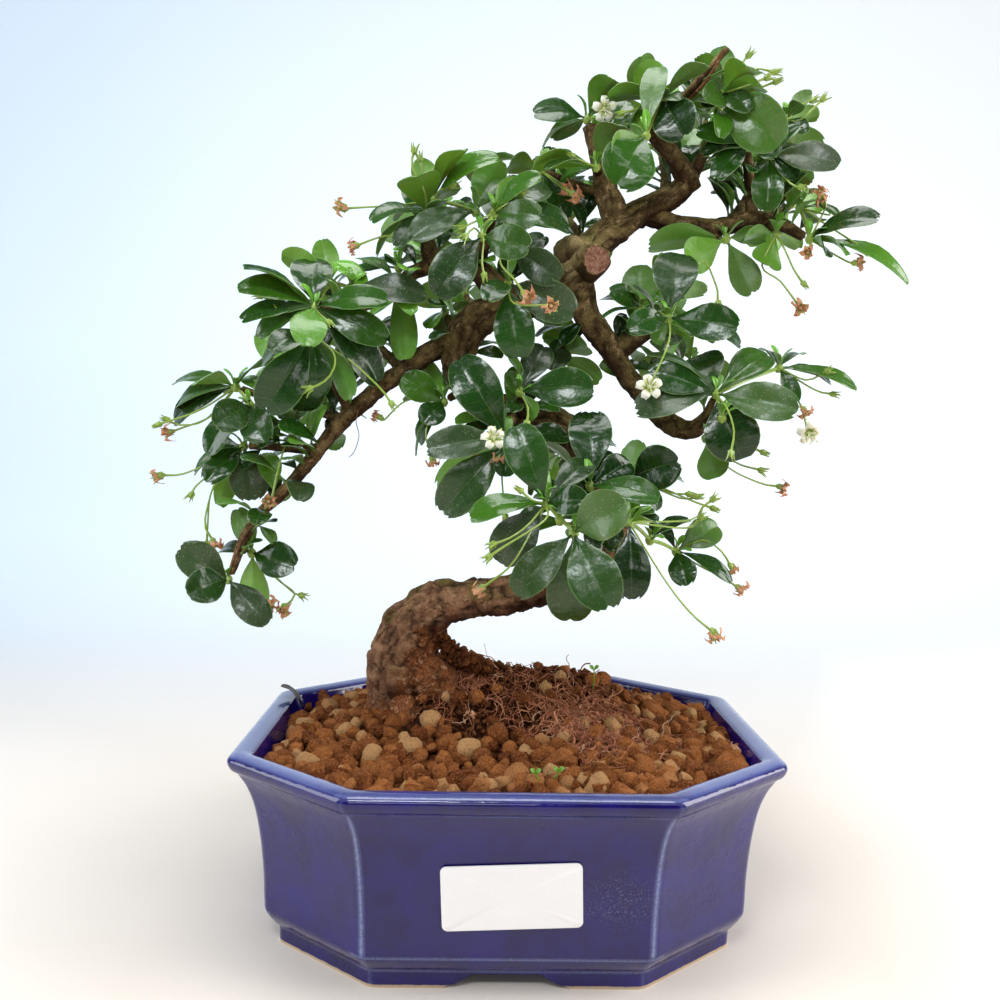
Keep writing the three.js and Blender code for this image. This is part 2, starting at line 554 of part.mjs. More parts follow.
// A three.js geometry from a list of points and a list of corner triples.
function surface(points, corners) {
  const geometry = new THREE.BufferGeometry();
  const flat = [];
  points.forEach((p) => flat.push(p.x, p.y, p.z));
  geometry.setAttribute('position', new THREE.Float32BufferAttribute(flat, 3));
  geometry.setIndex(corners.flat());
  return geometry;
}

// A closed geometry as a solid that can be joined and cut.
function solid(geometry) {
  const plain = geometry.clone();
  plain.deleteAttribute('normal');
  plain.deleteAttribute('uv');
  const merged = mergeVertices(plain, 1e-4);
  const mesh = new wasm.Mesh({
    numProp: 3,
    vertProperties: new Float32Array(merged.attributes.position.array),
    triVerts: new Uint32Array(merged.index.array),
  });
  mesh.merge();
  return new wasm.Manifold(mesh);
}

// A joined or cut solid back as a three.js geometry.
function shapeOf(body) {
  const mesh = body.getMesh();
  const geometry = new THREE.BufferGeometry();
  geometry.setAttribute('position', new THREE.Float32BufferAttribute(mesh.vertProperties, 3));
  geometry.setIndex(new THREE.Uint32BufferAttribute(mesh.triVerts, 1));
  geometry.computeVertexNormals();
  return geometry;
}

// The outer skin alone: pinholes enclosed between crossing blades are filled.
function filled(geometry) {
  const corners = geometry.index.array;
  const place3 = geometry.attributes.position.array;
  const group = Array.from({ length: place3.length / 3 }, (_, i) => i);
  const root = (i) => {
    let k = i;
    while (group[k] !== k) {
      group[k] = group[group[k]];
      k = group[k];
    }
    return k;
  };
  for (let t = 0; t < corners.length; t += 3) {
    group[root(corners[t])] = root(corners[t + 1]);
    group[root(corners[t + 1])] = root(corners[t + 2]);
  }
  const volume = {};
  const point = (i) => new THREE.Vector3().fromArray(place3, 3 * i);
  for (let t = 0; t < corners.length; t += 3) {
    const [a, b, c] = [0, 1, 2].map((k) => point(corners[t + k]));
    const key = root(corners[t]);
    volume[key] = (volume[key] || 0) + a.dot(b.cross(c)) / 6;
  }
  const kept = [];
  for (let t = 0; t < corners.length; t += 3) {
    if (volume[root(corners[t])] > 0) kept.push(corners[t], corners[t + 1], corners[t + 2]);
  }
  const result = new THREE.BufferGeometry();
  result.setAttribute('position', geometry.attributes.position);
  result.setIndex(kept);
  result.computeVertexNormals();
  return result;
}

function joined(bodies) {
  return bodies.slice(1).reduce((sum, body) => sum.add(body), bodies[0]);
}

// A skin over a stack of rings with equal counts of points, closed at both ends.
function loft(rings) {
  const count = rings[0].length;
  const points = rings.flat();
  const corners = [];
  for (let i = 0; i + 1 < rings.length; i += 1) {
    for (let j = 0; j < count; j += 1) {
      const a = i * count + j;
      const b = i * count + ((j + 1) % count);
      corners.push([a, b, b + count], [a, b + count, a + count]);
    }
  }
  const last = (rings.length - 1) * count;
  for (let j = 1; j + 1 < count; j += 1) {
    corners.push([0, j + 1, j], [last, last + j, last + j + 1]);
  }
  return surface(points, corners);
}

// A limb: rings of `sides` points carried along the middle line without twisting.
function limbGeometry(path, thickness, sides, extra = 0) {
  const rings = [];
  let across = new THREE.Vector3(0.31, 0.95, 0.07);
  path.forEach((point, i) => {
    const before = path[Math.max(i - 1, 0)];
    const after = path[Math.min(i + 1, path.length - 1)];
    const along = after.clone().sub(before).normalize();
    across = across.clone().addScaledVector(along, -across.dot(along)).normalize();
    const third = new THREE.Vector3().crossVectors(along, across);
    const ring = [];
    for (let k = 0; k < sides; k += 1) {
      const turn = (2 * Math.PI * k) / sides;
      const radius = thickness[i] / 2 + extra;
      ring.push(point.clone()
        .addScaledVector(across, radius * Math.cos(turn))
        .addScaledVector(third, radius * Math.sin(turn)));
    }
    rings.push(ring);
  });
  return loft(rings);
}

// Pot.

// The eight corners of the pot's outline, standing `inset` inside the rim, at a height.
function octagon(inset, height) {
  const length = RIM_HALF_LENGTH - inset;
  const depth = RIM_HALF_DEPTH - inset;
  const front = FRONT_FACE_HALF - FRONT_CORNER_SHIFT * inset;
  const side = SIDE_FACE_HALF - SIDE_CORNER_SHIFT * inset;
  return [
    [-front, -depth], [front, -depth], [length, -side], [length, side],
    [front, depth], [-front, depth], [-length, side], [-length, -side],
  ].map(([x, y]) => new THREE.Vector3(x, y, height));
}

function insetAt(profile, height) {
  for (let i = 0; i + 1 < profile.length; i += 1) {
    const [d0, z0] = profile[i];
    const [d1, z1] = profile[i + 1];
    if ((height - z0) * (height - z1) <= 0 && z0 !== z1) {
      return d0 + ((d1 - d0) * (height - z0)) / (z1 - z0);
    }
  }
  return profile[profile.length - 1][0];
}

// A bar with the gate's outline, long enough to cut through both sides of the foot.
function footGate() {
  const widest = FOOT_GATE[0][0];
  const outline = new THREE.Shape();
  outline.moveTo(-widest, -CUT_PAST);
  outline.lineTo(widest, -CUT_PAST);
  FOOT_GATE.forEach(([half, height]) => outline.lineTo(half, height));
  [...FOOT_GATE].reverse().forEach(([half, height]) => outline.lineTo(-half, height));
  const depth = 2 * (RIM_HALF_LENGTH + CUT_PAST);
  const bar = new THREE.ExtrudeGeometry(outline, { depth, bevelEnabled: false });
  bar.translate(0, 0, -depth / 2);
  bar.rotateX(Math.PI / 2);
  return bar;
}

// The pot: its outside skin less the inside, the recess under the foot, a gate across
// each way and two drain holes.
function potSolid() {
  let pot = solid(loft(POT_OUTSIDE.map(([inset, z]) => octagon(inset, z))));
  const inside = [...POT_INSIDE].reverse().map(([inset, z]) => octagon(inset, z));
  inside.push(octagon(RIM_INSIDE, POT_INSIDE[0][1] + CUT_PAST));
  pot = pot.subtract(solid(loft(inside)));
  const recess = [
    octagon(FOOT_RECESS_BOTTOM_INSET, -CUT_PAST),
    octagon(FOOT_RECESS_BOTTOM_INSET, 0),
    octagon(FOOT_RECESS_TOP_INSET, FOOT_RECESS),
  ];
  pot = pot.subtract(solid(loft(recess)));
  const gate = footGate();
  pot = pot.subtract(solid(gate));
  gate.rotateZ(Math.PI / 2);
  pot = pot.subtract(solid(gate));
  [-1, 1].forEach((end) => {
    const floor = POT_INSIDE[POT_INSIDE.length - 1][1];
    const reach = 2 * floor;
    const hole = new THREE.CylinderGeometry(DRAIN_HOLE_RADIUS, DRAIN_HOLE_RADIUS, reach, DRAIN_HOLE_SIDES);
    hole.rotateX(Math.PI / 2);
    hole.translate(end * DRAIN_HOLE_X, 0, floor);
    pot = pot.subtract(solid(hole));
  });
  return pot;
}

// Soil.

function soilHeight(x, y) {
  return MOUNDS.reduce((sum, [cx, cy, sx, sy, height]) => {
    const reach = ((x - cx) / sx) ** 2 + ((y - cy) / sy) ** 2;
    return sum + height * Math.exp(-reach);
  }, SOIL_LEVEL);
}

// The soil: the pot's inside shape below, and a granular relief on top. Each ring of
// the relief shrinks towards the middle, and every point rises or sinks by a draw.
function soilSolid() {
  const below = SOIL_BELOW.map(([inset, z]) => octagon(inset, z));
  const corners = octagon(SOIL_EDGE_INSET, SOIL_EDGE_LEVEL);
  const edge = [];
  for (let c = 0; c < 8; c += 1) {
    for (let k = 0; k < SOIL_EDGE_STEPS; k += 1) {
      edge.push(corners[c].clone().lerp(corners[(c + 1) % 8], k / SOIL_EDGE_STEPS));
    }
  }
  const count = edge.length;
  const points = below.flat();
  const triples = [];
  for (let i = 0; i + 1 < below.length; i += 1) {
    for (let j = 0; j < 8; j += 1) {
      const a = i * 8 + j;
      const b = i * 8 + ((j + 1) % 8);
      triples.push([a, b, b + 8], [a, b + 8, a + 8]);
    }
  }
  for (let j = 1; j + 1 < 8; j += 1) triples.push([0, j + 1, j]);
  const top = points.length;
  points.push(...edge);
  for (let c = 0; c < 8; c += 1) {
    const low = (below.length - 1) * 8 + c;
    const next = (below.length - 1) * 8 + ((c + 1) % 8);
    for (let k = 0; k < SOIL_EDGE_STEPS; k += 1) {
      const a = top + c * SOIL_EDGE_STEPS + k;
      const b = top + ((c * SOIL_EDGE_STEPS + k + 1) % count);
      triples.push(k < SOIL_EDGE_STEPS / 2 ? [low, b, a] : [next, b, a]);
      if (k === SOIL_EDGE_STEPS / 2 - 1) triples.push([low, next, b]);
    }
  }
  for (let r = 1; r < SOIL_RINGS; r += 1) {
    const share = 1 - r / SOIL_RINGS;
    for (let j = 0; j < count; j += 1) {
      const turn = (r % 2) * 0.5 + (draw(r, j) - 0.5) * 0.5;
      const from = edge[(j + count) % count];
      const to = edge[(j + 1) % count];
      const spot = from.clone().lerp(to, Math.max(0, Math.min(1, turn)));
      const x = spot.x * share;
      const y = spot.y * share;
      const lift = (draw(j, r + 50) - 0.42) * 2 * GRANULE_RELIEF * Math.min(1, share * 4);
      const wall = Math.min(1, r / 2);
      const z = SOIL_EDGE_LEVEL + (soilHeight(x, y) - SOIL_EDGE_LEVEL) * wall + lift;
      points.push(new THREE.Vector3(x, y, z));
    }
  }
  for (let r = 0; r + 1 < SOIL_RINGS; r += 1) {
    for (let j = 0; j < count; j += 1) {
      const a = top + r * count + j;
      const b = top + r * count + ((j + 1) % count);
      triples.push([a, b, b + count], [a, b + count, a + count]);
    }
  }
  const middle = points.length;
  points.push(new THREE.Vector3(0, 0, soilHeight(0, 0)));
  for (let j = 0; j < count; j += 1) {
    const a = top + (SOIL_RINGS - 1) * count + j;
    const b = top + (SOIL_RINGS - 1) * count + ((j + 1) % count);
    triples.push([a, b, middle]);
  }
  return solid(surface(points, triples));
}

// Label.

// A bare card with rounded corners, flat on the front face, a hair's breadth off it.
function labelGeometry() {
  const lowY = -(RIM_HALF_DEPTH - insetAt(POT_OUTSIDE, LABEL_LOW)) - GAP;
  const highY = -(RIM_HALF_DEPTH - insetAt(POT_OUTSIDE, LABEL_HIGH)) - GAP;
  const slope = new THREE.Vector3(0, highY - lowY, LABEL_HIGH - LABEL_LOW).normalize();
  const outward = new THREE.Vector3(0, -slope.z, slope.y);
  const foot = new THREE.Vector3(0, lowY, LABEL_LOW);
  const spots = LABEL_CORNERS.map(([px, py]) => {
    const direction = sight(px, py);
    const reach = foot.clone().sub(VIEW_EYE).dot(outward) / direction.dot(outward);
    return VIEW_EYE.clone().addScaledVector(direction, reach);
  });
  const middle = spots.reduce((sum, p) => sum.add(p), new THREE.Vector3()).multiplyScalar(0.25);
  const width = (spots[0].distanceTo(spots[1]) + spots[2].distanceTo(spots[3])) / 2;
  const height = (spots[0].distanceTo(spots[3]) + spots[1].distanceTo(spots[2])) / 2;
  const along = spots[1].clone().sub(spots[0]).add(spots[2]).sub(spots[3]).normalize();
  along.addScaledVector(outward, -along.dot(outward)).normalize();
  const upward = new THREE.Vector3().crossVectors(outward, along);
  const card = new THREE.Shape();
  const w = width / 2;
  const h = height / 2;
  card.moveTo(-w + LABEL_CORNER, -h);
  card.lineTo(w - LABEL_CORNER, -h);
  card.lineTo(w, -h + LABEL_CORNER);
  card.lineTo(w, h - LABEL_CORNER);
  card.lineTo(w - LABEL_CORNER, h);
  card.lineTo(-w + LABEL_CORNER, h);
  card.lineTo(-w, h - LABEL_CORNER);
  card.lineTo(-w, -h + LABEL_CORNER);
  const geometry = new THREE.ExtrudeGeometry(card, { depth: LABEL_THICKNESS, bevelEnabled: false });
  const frame = new THREE.Matrix4().makeBasis(along, upward, outward).setPosition(middle);
  geometry.applyMatrix4(frame);
  return geometry;
}

// Wood.

function place(entry) {
  return at(entry[0], entry[1], entry[2]);
}

// Every limb and twig as { path, thickness, sides }; a twig stops short of its bud.
function woodLines() {
  const lines = [];
  Object.entries(LIMBS).forEach(([name, entries]) => {
    const sides = name === 'trunk' ? 9 : 5;
    lines.push({ path: entries.map(place), thickness: entries.map((e) => e[3]), sides });
  });
  Object.entries(TWIGS).forEach(([name, entries]) => {
    const path = entries.map(place);
    if (SHOOTS[name]) {
      const bud = place(SHOOTS[name].hubs[0]);
      const before = path[path.length - 2];
      const back = before.clone().sub(bud).normalize();
      path[path.length - 1] = bud.clone().addScaledVector(back, KNOB_RADIUS + GAP);
    }
    lines.push({ path, thickness: entries.map((e) => e[3]), sides: 4 });
  });
  return lines;
}

function woodSolid(lines, extra) {
  return joined(lines.map((line) => (
    solid(limbGeometry(line.path, line.thickness, line.sides, extra))
  )));
}

// Leaf blades.

const toEye = (point) => VIEW_EYE.clone().sub(point).normalize();

// A blade's frame from its bud: where it points, its upper side and its width line.
function bladeFrame(bud, tip, facing, roll) {
  const along = tip.clone().sub(bud);
  const length = along.length();
  along.normalize();
  const up = new THREE.Vector3(0, -0.25, 1).normalize();
  const face = toEye(bud).multiplyScalar(facing).addScaledVector(up, 1 - Math.abs(facing));
  face.addScaledVector(along, -face.dot(along));
  if (face.length() < 0.12) {
    face.copy(new THREE.Vector3(0.2, -1, 0.1));
    face.addScaledVector(along, -face.dot(along));
  }
  face.normalize();
  face.applyAxisAngle(along, rad(roll));
  const across = new THREE.Vector3().crossVectors(along, face);
  return { bud, along, face, across, length };
}

// The tip of a hand-read leaf: on the sight line through its place in the front view,
// a leaf's length from the bud, on the near or the far side, then shifted by `shift`.
function tipPoint(bud, px, py, length, shift) {
  const direction = sight(px, py).normalize();
  const reach = bud.clone().sub(VIEW_EYE);
  const middle = direction.dot(reach);
  const left = length * length - (reach.lengthSq() - middle * middle);
  const step = left > 0 ? Math.sqrt(left) : 0;
  const distance = middle - Math.sign(length) * step + shift;
  return VIEW_EYE.clone().addScaledVector(direction, distance);
}

// The seven points of a blade's middle surface: root, right side, notch, left side, midrib.
function bladePoints(frame, width) {
  const spot = ([s, share], side) => {
    const reach = share * (width / 2);
    return frame.bud.clone()
      .addScaledVector(frame.along, s * frame.length)
      .addScaledVector(frame.across, reach * side)
      .addScaledVector(frame.face, BLADE_ARCH * frame.length * 4 * s * (1 - s) + BLADE_FOLD * reach);
  };
  return [
    frame.bud.clone().addScaledVector(frame.along, BLADE_ROOT),
    spot(BLADE_WIDEST, 1), spot(BLADE_TOOTH, 1), spot([BLADE_NOTCH, 0], 0),
    spot(BLADE_TOOTH, -1), spot(BLADE_WIDEST, -1), spot([BLADE_MIDDLE, 0], 0),
  ];
}

const RIM_POINTS = 6;
const FAN = [[0, 1, 5], [1, 6, 5], [1, 2, 6], [2, 3, 6], [3, 4, 6], [4, 5, 6]];

// The blade as a thin closed shell, split into triangles alike on both faces.
function bladeGeometry(frame, width) {
  const middle = bladePoints(frame, width);
  const half = BLADE_THICKNESS / 2;
  const points = [
    ...middle.map((p) => p.clone().addScaledVector(frame.face, half)),
    ...middle.map((p) => p.clone().addScaledVector(frame.face, -half)),
  ];
  const below = middle.length;
  const triples = [];
  FAN.forEach(([a, b, c]) => triples.push([a, b, c], [b + below, a + below, c + below]));
  for (let k = 0; k < RIM_POINTS; k += 1) {
    const next = (k + 1) % RIM_POINTS;
    triples.push([k, k + below, next], [next, k + below, next + below]);
  }
  return surface(points, triples);
}

// Keeping leaves apart.

const scratchTriangle = new THREE.Triangle();
const scratchPoint = new THREE.Vector3();
const scratchRay = new THREE.Ray();

function pointToTriangle(point, a, b, c) {
  scratchTriangle.set(a, b, c);
  scratchTriangle.closestPointToPoint(point, scratchPoint);
  return scratchPoint.distanceTo(point);
}

function edgeCrosses(p, q, a, b, c) {
  const length = p.distanceTo(q);
  scratchRay.origin.copy(p);
  scratchRay.direction.copy(q).sub(p).divideScalar(length);
  const hit = scratchRay.intersectTriangle(a, b, c, false, scratchPoint);
  return hit !== null && hit.distanceTo(p) <= length;
}

// The points that stand for a blade: its corners and the middles of its edges.
function bladeProbe(points) {
  const spots = points.slice(1);
  for (let k = 0; k < RIM_POINTS; k += 1) {
    spots.push(points[k].clone().lerp(points[(k + 1) % RIM_POINTS], 0.5));
    spots.push(points[k].clone().lerp(points[RIM_POINTS], 0.5));
  }
  return spots;
}

function bladeShadow(points, node) {
  const centre = points[RIM_POINTS].clone();
  const reach = Math.max(...points.map((p) => p.distanceTo(centre)));
  return { points, probe: bladeProbe(points), centre, reach, node };
}

// How far two blades stay apart, or below zero where they cross. Two blades of one
// shoot may come close, so there only a crossing counts.
function bladeGap(one, other, sameShoot) {
  if (one.centre.distanceTo(other.centre) > one.reach + other.reach + 3) return 99;
  let gap = 99;
  [[one, other], [other, one]].forEach(([a, b]) => {
    FAN.forEach(([i, j, k]) => {
      const corners = [b.points[i], b.points[j], b.points[k]];
      if (!sameShoot) {
        a.probe.forEach((p) => {
          gap = Math.min(gap, pointToTriangle(p, ...corners));
        });
      }
      for (let e = 0; e < RIM_POINTS; e += 1) {
        const end = (e + 1) % RIM_POINTS;
        if (edgeCrosses(a.points[e], a.points[end], ...corners)) gap = -1;
        if (edgeCrosses(a.points[e], a.points[RIM_POINTS], ...corners)) gap = -1;
      }
    });
  });
  return gap;
}

function pointToSegment(p, a, b) {
  const run = b.clone().sub(a);
  const t = Math.max(0, Math.min(1, p.clone().sub(a).dot(run) / run.lengthSq()));
  return a.clone().addScaledVector(run, t).distanceTo(p);
}

// How far a blade stays from a round rod, given as { a, b, radius, node }.
function rodGap(blade, rod) {
  const middle = rod.a.clone().lerp(rod.b, 0.5);
  const reach = rod.a.distanceTo(rod.b) / 2 + rod.radius;
  if (blade.centre.distanceTo(middle) > blade.reach + reach + 3) return 99;
  let gap = 99;
  blade.probe.forEach((p) => {
    gap = Math.min(gap, pointToSegment(p, rod.a, rod.b) - rod.radius);
  });
  FAN.forEach(([i, j, k]) => {
    if (edgeCrosses(rod.a, rod.b, blade.points[i], blade.points[j], blade.points[k])) gap = -1;
  });
  return gap;
}

// Shoots.

const DEPTH_SHIFTS = [0, -3, 3, -6, 6, -10, 10, -14, 14, -18, 18, -23, 23];
const ROLLS = [0, 22, -22];
const GOLDEN_ANGLE = 137.508;

function rods(points, radius, node) {
  const list = [];
  for (let i = 0; i + 1 < points.length; i += 1) {
    list.push({ a: points[i], b: points[i + 1], radius, node });
  }
  return list;
}

// Sets every leaf so that no blade comes near wood, stalks or another shoot's blades.
function setLeaves(lines) {
  const obstacles = [];
  lines.forEach((line) => {
    for (let i = 0; i + 1 < line.path.length; i += 1) {
      const radius = Math.max(line.thickness[i], line.thickness[i + 1]) / 2;
      obstacles.push({ a: line.path[i], b: line.path[i + 1], radius, node: 'wood' });
    }
  });
  const shoots = {};
  Object.entries(SHOOTS).forEach(([name, shoot], order) => {
    const hubs = shoot.hubs.map(place);
    const stems = [];
    shoot.hubs.forEach((entry, i) => {
      if (i > 0) stems.push([hubs[i], hubs[entry.length > 3 ? entry[3] : i - 1]]);
    });
    const blooms = BLOOMS.filter((entry) => entry[1] === name);
    const stalks = shoot.stalks.map((stalk, i) => {
      const path = [hubs[stalk[0]], ...stalk.slice(1).map(place)];
      path[path.length - 1].addScaledVector(bloomFacing(blooms[i]), -BLOOM_SEAT);
      return { path, bloom: blooms[i] };
    });
    stems.forEach((stem) => obstacles.push(...rods(stem, STEM_RADIUS, name)));
    stalks.forEach((stalk) => obstacles.push(...rods(stalk.path, STALK_CLEARANCE, name)));
    hubs.forEach((hub) => obstacles.push(...rods([hub, hub.clone().setZ(hub.z + 0.1)], KNOB_RADIUS, name)));
    shoots[name] = { name, order, hubs, stems, stalks, blades: [] };
  });
  const blades = [];
  const tryOut = (shoot, choices) => {
    let best = null;
    choices.some(({ frame, width }) => {
      const shadow = bladeShadow(bladePoints(frame, width), shoot.name);
      let apart = 99;
      obstacles.some((rod) => {
        if (rod.node !== shoot.name) apart = Math.min(apart, rodGap(shadow, rod) - WOOD_CLEARANCE);
        return apart < 0;
      });
      let own = 99;
      if (apart >= 0) {
        blades.some((other) => {
          if (other.node === shoot.name) own = Math.min(own, bladeGap(shadow, other, true));
          else apart = Math.min(apart, bladeGap(shadow, other, false) - BLADE_CLEARANCE);
          return apart < 0;
        });
      }
      if (apart < 0) return false;
      if (best === null || own > best.own) best = { own, shadow, frame, width };
      return own >= 0;
    });
    if (best === null) return;
    blades.push(best.shadow);
    shoot.blades.push({ frame: best.frame, width: best.width });
  };
  Object.values(shoots).forEach((shoot) => {
    SHOOTS[shoot.name].leaves.forEach(([hub, px, py, length, facing, share]) => {
      const choices = [];
      DEPTH_SHIFTS.forEach((shift) => {
        ROLLS.forEach((roll) => {
          const tip = tipPoint(shoot.hubs[hub], px, py, length, shift);
          const frame = bladeFrame(shoot.hubs[hub], tip, facing, roll);
          choices.push({ frame, width: share * Math.abs(length) });
        });
      });
      tryOut(shoot, choices);
    });
  });
  Object.values(shoots).forEach((shoot) => {
    SHOOTS[shoot.name].turns.forEach(([hub, count, ax, ay, az], t) => {
      const axis = new THREE.Vector3(ax, ay, az).normalize();
      const first = new THREE.Vector3(0.3, 0.2, -1);
      first.addScaledVector(axis, -first.dot(axis)).normalize();
      for (let i = 0; i < count; i += 1) {
        const choices = [];
        for (let k = 0; k < 18; k += 1) {
          const seed = shoot.order * 31 + t * 7 + i;
          const turn = GOLDEN_ANGLE * i + 40 * draw(seed, 1) + 19 * k;
          const lean = 46 + 34 * draw(seed, 2) - 3 * (k % 5);
          const length = 19 + 8 * draw(seed, 3) - 0.35 * k;
          const out = first.clone().applyAxisAngle(axis, rad(turn));
          const along = axis.clone().multiplyScalar(Math.cos(rad(lean)))
            .addScaledVector(out, Math.sin(rad(lean)));
          const bud = shoot.hubs[hub];
          const tip = bud.clone().addScaledVector(along, length);
          const frame = bladeFrame(bud, tip, 0, 0);
          frame.face.copy(axis).addScaledVector(along, -axis.dot(along)).normalize();
          frame.across.crossVectors(frame.along, frame.face);
          choices.push({ frame, width: length * (0.5 + 0.12 * draw(seed, 4)) });
        }
        tryOut(shoot, choices);
      }
    });
  });
  return shoots;
}

function knob(point) {
  const geometry = new THREE.IcosahedronGeometry(KNOB_RADIUS, 0);
  geometry.translate(point.x, point.y, point.z);
  return geometry;
}

// The calyx at a stalk's end: a small cup drawn out towards the bloom that it holds.
function calyx(end, facing) {
  const geometry = new THREE.OctahedronGeometry(CALYX_RADIUS, 0);
  geometry.scale(1, 1, CALYX_LENGTH / CALYX_RADIUS);
  const turn = new THREE.Quaternion().setFromUnitVectors(new THREE.Vector3(0, 0, 1), facing);
  geometry.applyQuaternion(turn);
  geometry.translate(end.x, end.y, end.z);
  return geometry;
}

function shootSolid(shoot) {
  const bodies = shoot.hubs.map((hub) => solid(knob(hub)));
  shoot.stems.forEach(([from, to]) => {
    bodies.push(solid(limbGeometry([from, to], [2 * STEM_RADIUS, 2 * STEM_RADIUS], 5)));
  });
  shoot.stalks.forEach(({ path, bloom }) => {
    const thickness = path.map(() => 2 * STALK_RADIUS);
    bodies.push(solid(limbGeometry(path, thickness, 3)));
    bodies.push(solid(calyx(path[path.length - 1], bloomFacing(bloom))));
  });
  shoot.blades.forEach(({ frame, width }) => bodies.push(solid(bladeGeometry(frame, width))));
  return joined(bodies);
}

// Blooms.

// A five-petalled star that sits just off its calyx and opens the way it faces.
function bloomGeometry({ path, bloom }) {
  const radius = bloom[5];
  const star = new THREE.Shape();
  for (let k = 0; k < 10; k += 1) {
    const reach = k % 2 === 0 ? radius : radius * PETAL_NOTCH;
    const turn = (Math.PI * k) / 5;
    if (k === 0) star.moveTo(reach * Math.cos(turn), reach * Math.sin(turn));
    else star.lineTo(reach * Math.cos(turn), reach * Math.sin(turn));
  }
  const geometry = new THREE.ExtrudeGeometry(star, { depth: BLOOM_THICKNESS, bevelEnabled: false });
  geometry.translate(0, 0, -BLOOM_THICKNESS / 2);
  const facing = bloomFacing(bloom);
  const turn = new THREE.Quaternion().setFromUnitVectors(new THREE.Vector3(0, 0, 1), facing);
  geometry.applyQuaternion(turn);
  const spot = path[path.length - 1].clone().addScaledVector(facing, BLOOM_SEAT);
  geometry.translate(spot.x, spot.y, spot.z);
  return geometry;
}

// The whole tree.

const GLAZE = new THREE.MeshStandardMaterial({ color: 0x25265f, roughness: 0.18, metalness: 0 });
const EARTH = new THREE.MeshStandardMaterial({ color: 0x7a4a2a, roughness: 0.95, metalness: 0 });
const CARD = new THREE.MeshStandardMaterial({ color: 0xe9e9ee, roughness: 0.45, metalness: 0 });
const BARK = new THREE.MeshStandardMaterial({ color: 0x6b5038, roughness: 0.9, metalness: 0 });
const LEAF = new THREE.MeshStandardMaterial({ color: 0x2c5a25, roughness: 0.35, metalness: 0 });
const WHITE_PETAL = new THREE.MeshStandardMaterial({ color: 0xf4ede0, roughness: 0.6, metalness: 0 });
const SPENT_PETAL = new THREE.MeshStandardMaterial({ color: 0xc46a45, roughness: 0.75, metalness: 0 });

const bonsai = new THREE.Group();

function add(name, geometry, material) {
  const mesh = new THREE.Mesh(geometry, material);
  mesh.name = name;
  bonsai.add(mesh);
}

const lines = woodLines();
const shoots = setLeaves(lines);
add('pot', shapeOf(potSolid()), GLAZE);
add('soil', shapeOf(soilSolid().subtract(woodSolid(lines.slice(0, 4), GAP))), EARTH);
add('label', shapeOf(solid(labelGeometry())), CARD);
add('trunk_and_branches', filled(shapeOf(woodSolid(lines, 0))), BARK);
Object.values(shoots).forEach((shoot) => {
  add(`leaves_${shoot.name}`, filled(shapeOf(shootSolid(shoot))), LEAF);
});
BLOOMS.forEach(([name, shootName]) => {
  const stalk = shoots[shootName].stalks.find(({ bloom }) => bloom[0] === name);
  const petals = name.includes('white') ? WHITE_PETAL : SPENT_PETAL;
  add(name, shapeOf(solid(bloomGeometry(stalk))), petals);
});

bonsai.position.x = -new THREE.Box3().setFromObject(bonsai).getCenter(new THREE.Vector3()).x;

export default bonsai;
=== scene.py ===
# %% [markdown]
# # A fukien tea bonsai in its glazed pot
#
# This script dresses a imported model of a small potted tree. The model brings plain faceted
# shapes; each cell below makes the fine form of one kind of piece, by rule, with numpy.
# Lengths are in millimetres while a shape is worked out, and become metres when its mesh is made.

import math

import bpy
import numpy as np
from mathutils import Matrix, Vector


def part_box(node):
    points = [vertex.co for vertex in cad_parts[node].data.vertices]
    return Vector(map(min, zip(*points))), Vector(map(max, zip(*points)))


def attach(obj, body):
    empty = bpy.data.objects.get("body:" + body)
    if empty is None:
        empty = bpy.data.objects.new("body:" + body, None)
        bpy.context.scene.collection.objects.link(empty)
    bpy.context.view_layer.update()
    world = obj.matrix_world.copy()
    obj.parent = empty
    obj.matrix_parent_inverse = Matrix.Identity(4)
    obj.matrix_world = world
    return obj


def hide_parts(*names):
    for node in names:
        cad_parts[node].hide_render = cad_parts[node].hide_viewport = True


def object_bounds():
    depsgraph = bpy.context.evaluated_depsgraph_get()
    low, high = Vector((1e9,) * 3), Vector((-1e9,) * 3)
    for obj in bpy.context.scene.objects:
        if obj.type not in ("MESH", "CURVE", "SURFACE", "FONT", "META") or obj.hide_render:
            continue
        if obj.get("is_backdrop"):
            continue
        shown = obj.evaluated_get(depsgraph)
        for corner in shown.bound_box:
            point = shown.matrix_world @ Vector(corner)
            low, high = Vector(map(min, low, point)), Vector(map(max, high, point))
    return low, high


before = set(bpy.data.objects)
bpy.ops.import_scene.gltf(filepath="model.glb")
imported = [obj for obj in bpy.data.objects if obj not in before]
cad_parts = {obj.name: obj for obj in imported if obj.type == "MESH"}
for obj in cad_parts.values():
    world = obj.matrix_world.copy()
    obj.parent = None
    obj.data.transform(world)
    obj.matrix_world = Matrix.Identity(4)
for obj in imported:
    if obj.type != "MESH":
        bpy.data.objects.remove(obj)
OLD_LOW, OLD_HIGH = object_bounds()

MM = 0.001
POT_LOW, POT_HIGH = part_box("pot")
POT_MIDDLE = np.array([(POT_LOW.x + POT_HIGH.x) / 2 / MM, 0.0, 0.0])
print(f"the frame has {len(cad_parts)} nodes; the pot's middle is at x {POT_MIDDLE[0]:.2f} mm")

# %% [markdown]
# ## Where the eye stands
#
# The tree was measured from its front view. A place is written as two view coordinates, on a
# square of 1000, and a depth behind the pot's middle plane. The view's eye, focal length and
# tilt turn the three into a point in space. The same eye later carries the camera.

# %% The front view
EYE = np.array([-11.2, -359.6, 182.8])
FOCAL = 911.0
VIEW_MIDDLE = 500.0
VIEW_SIZE = 1000.0
PITCH = math.radians(3.41)
YAW = math.radians(1.11)
ROLL = math.radians(1.14)

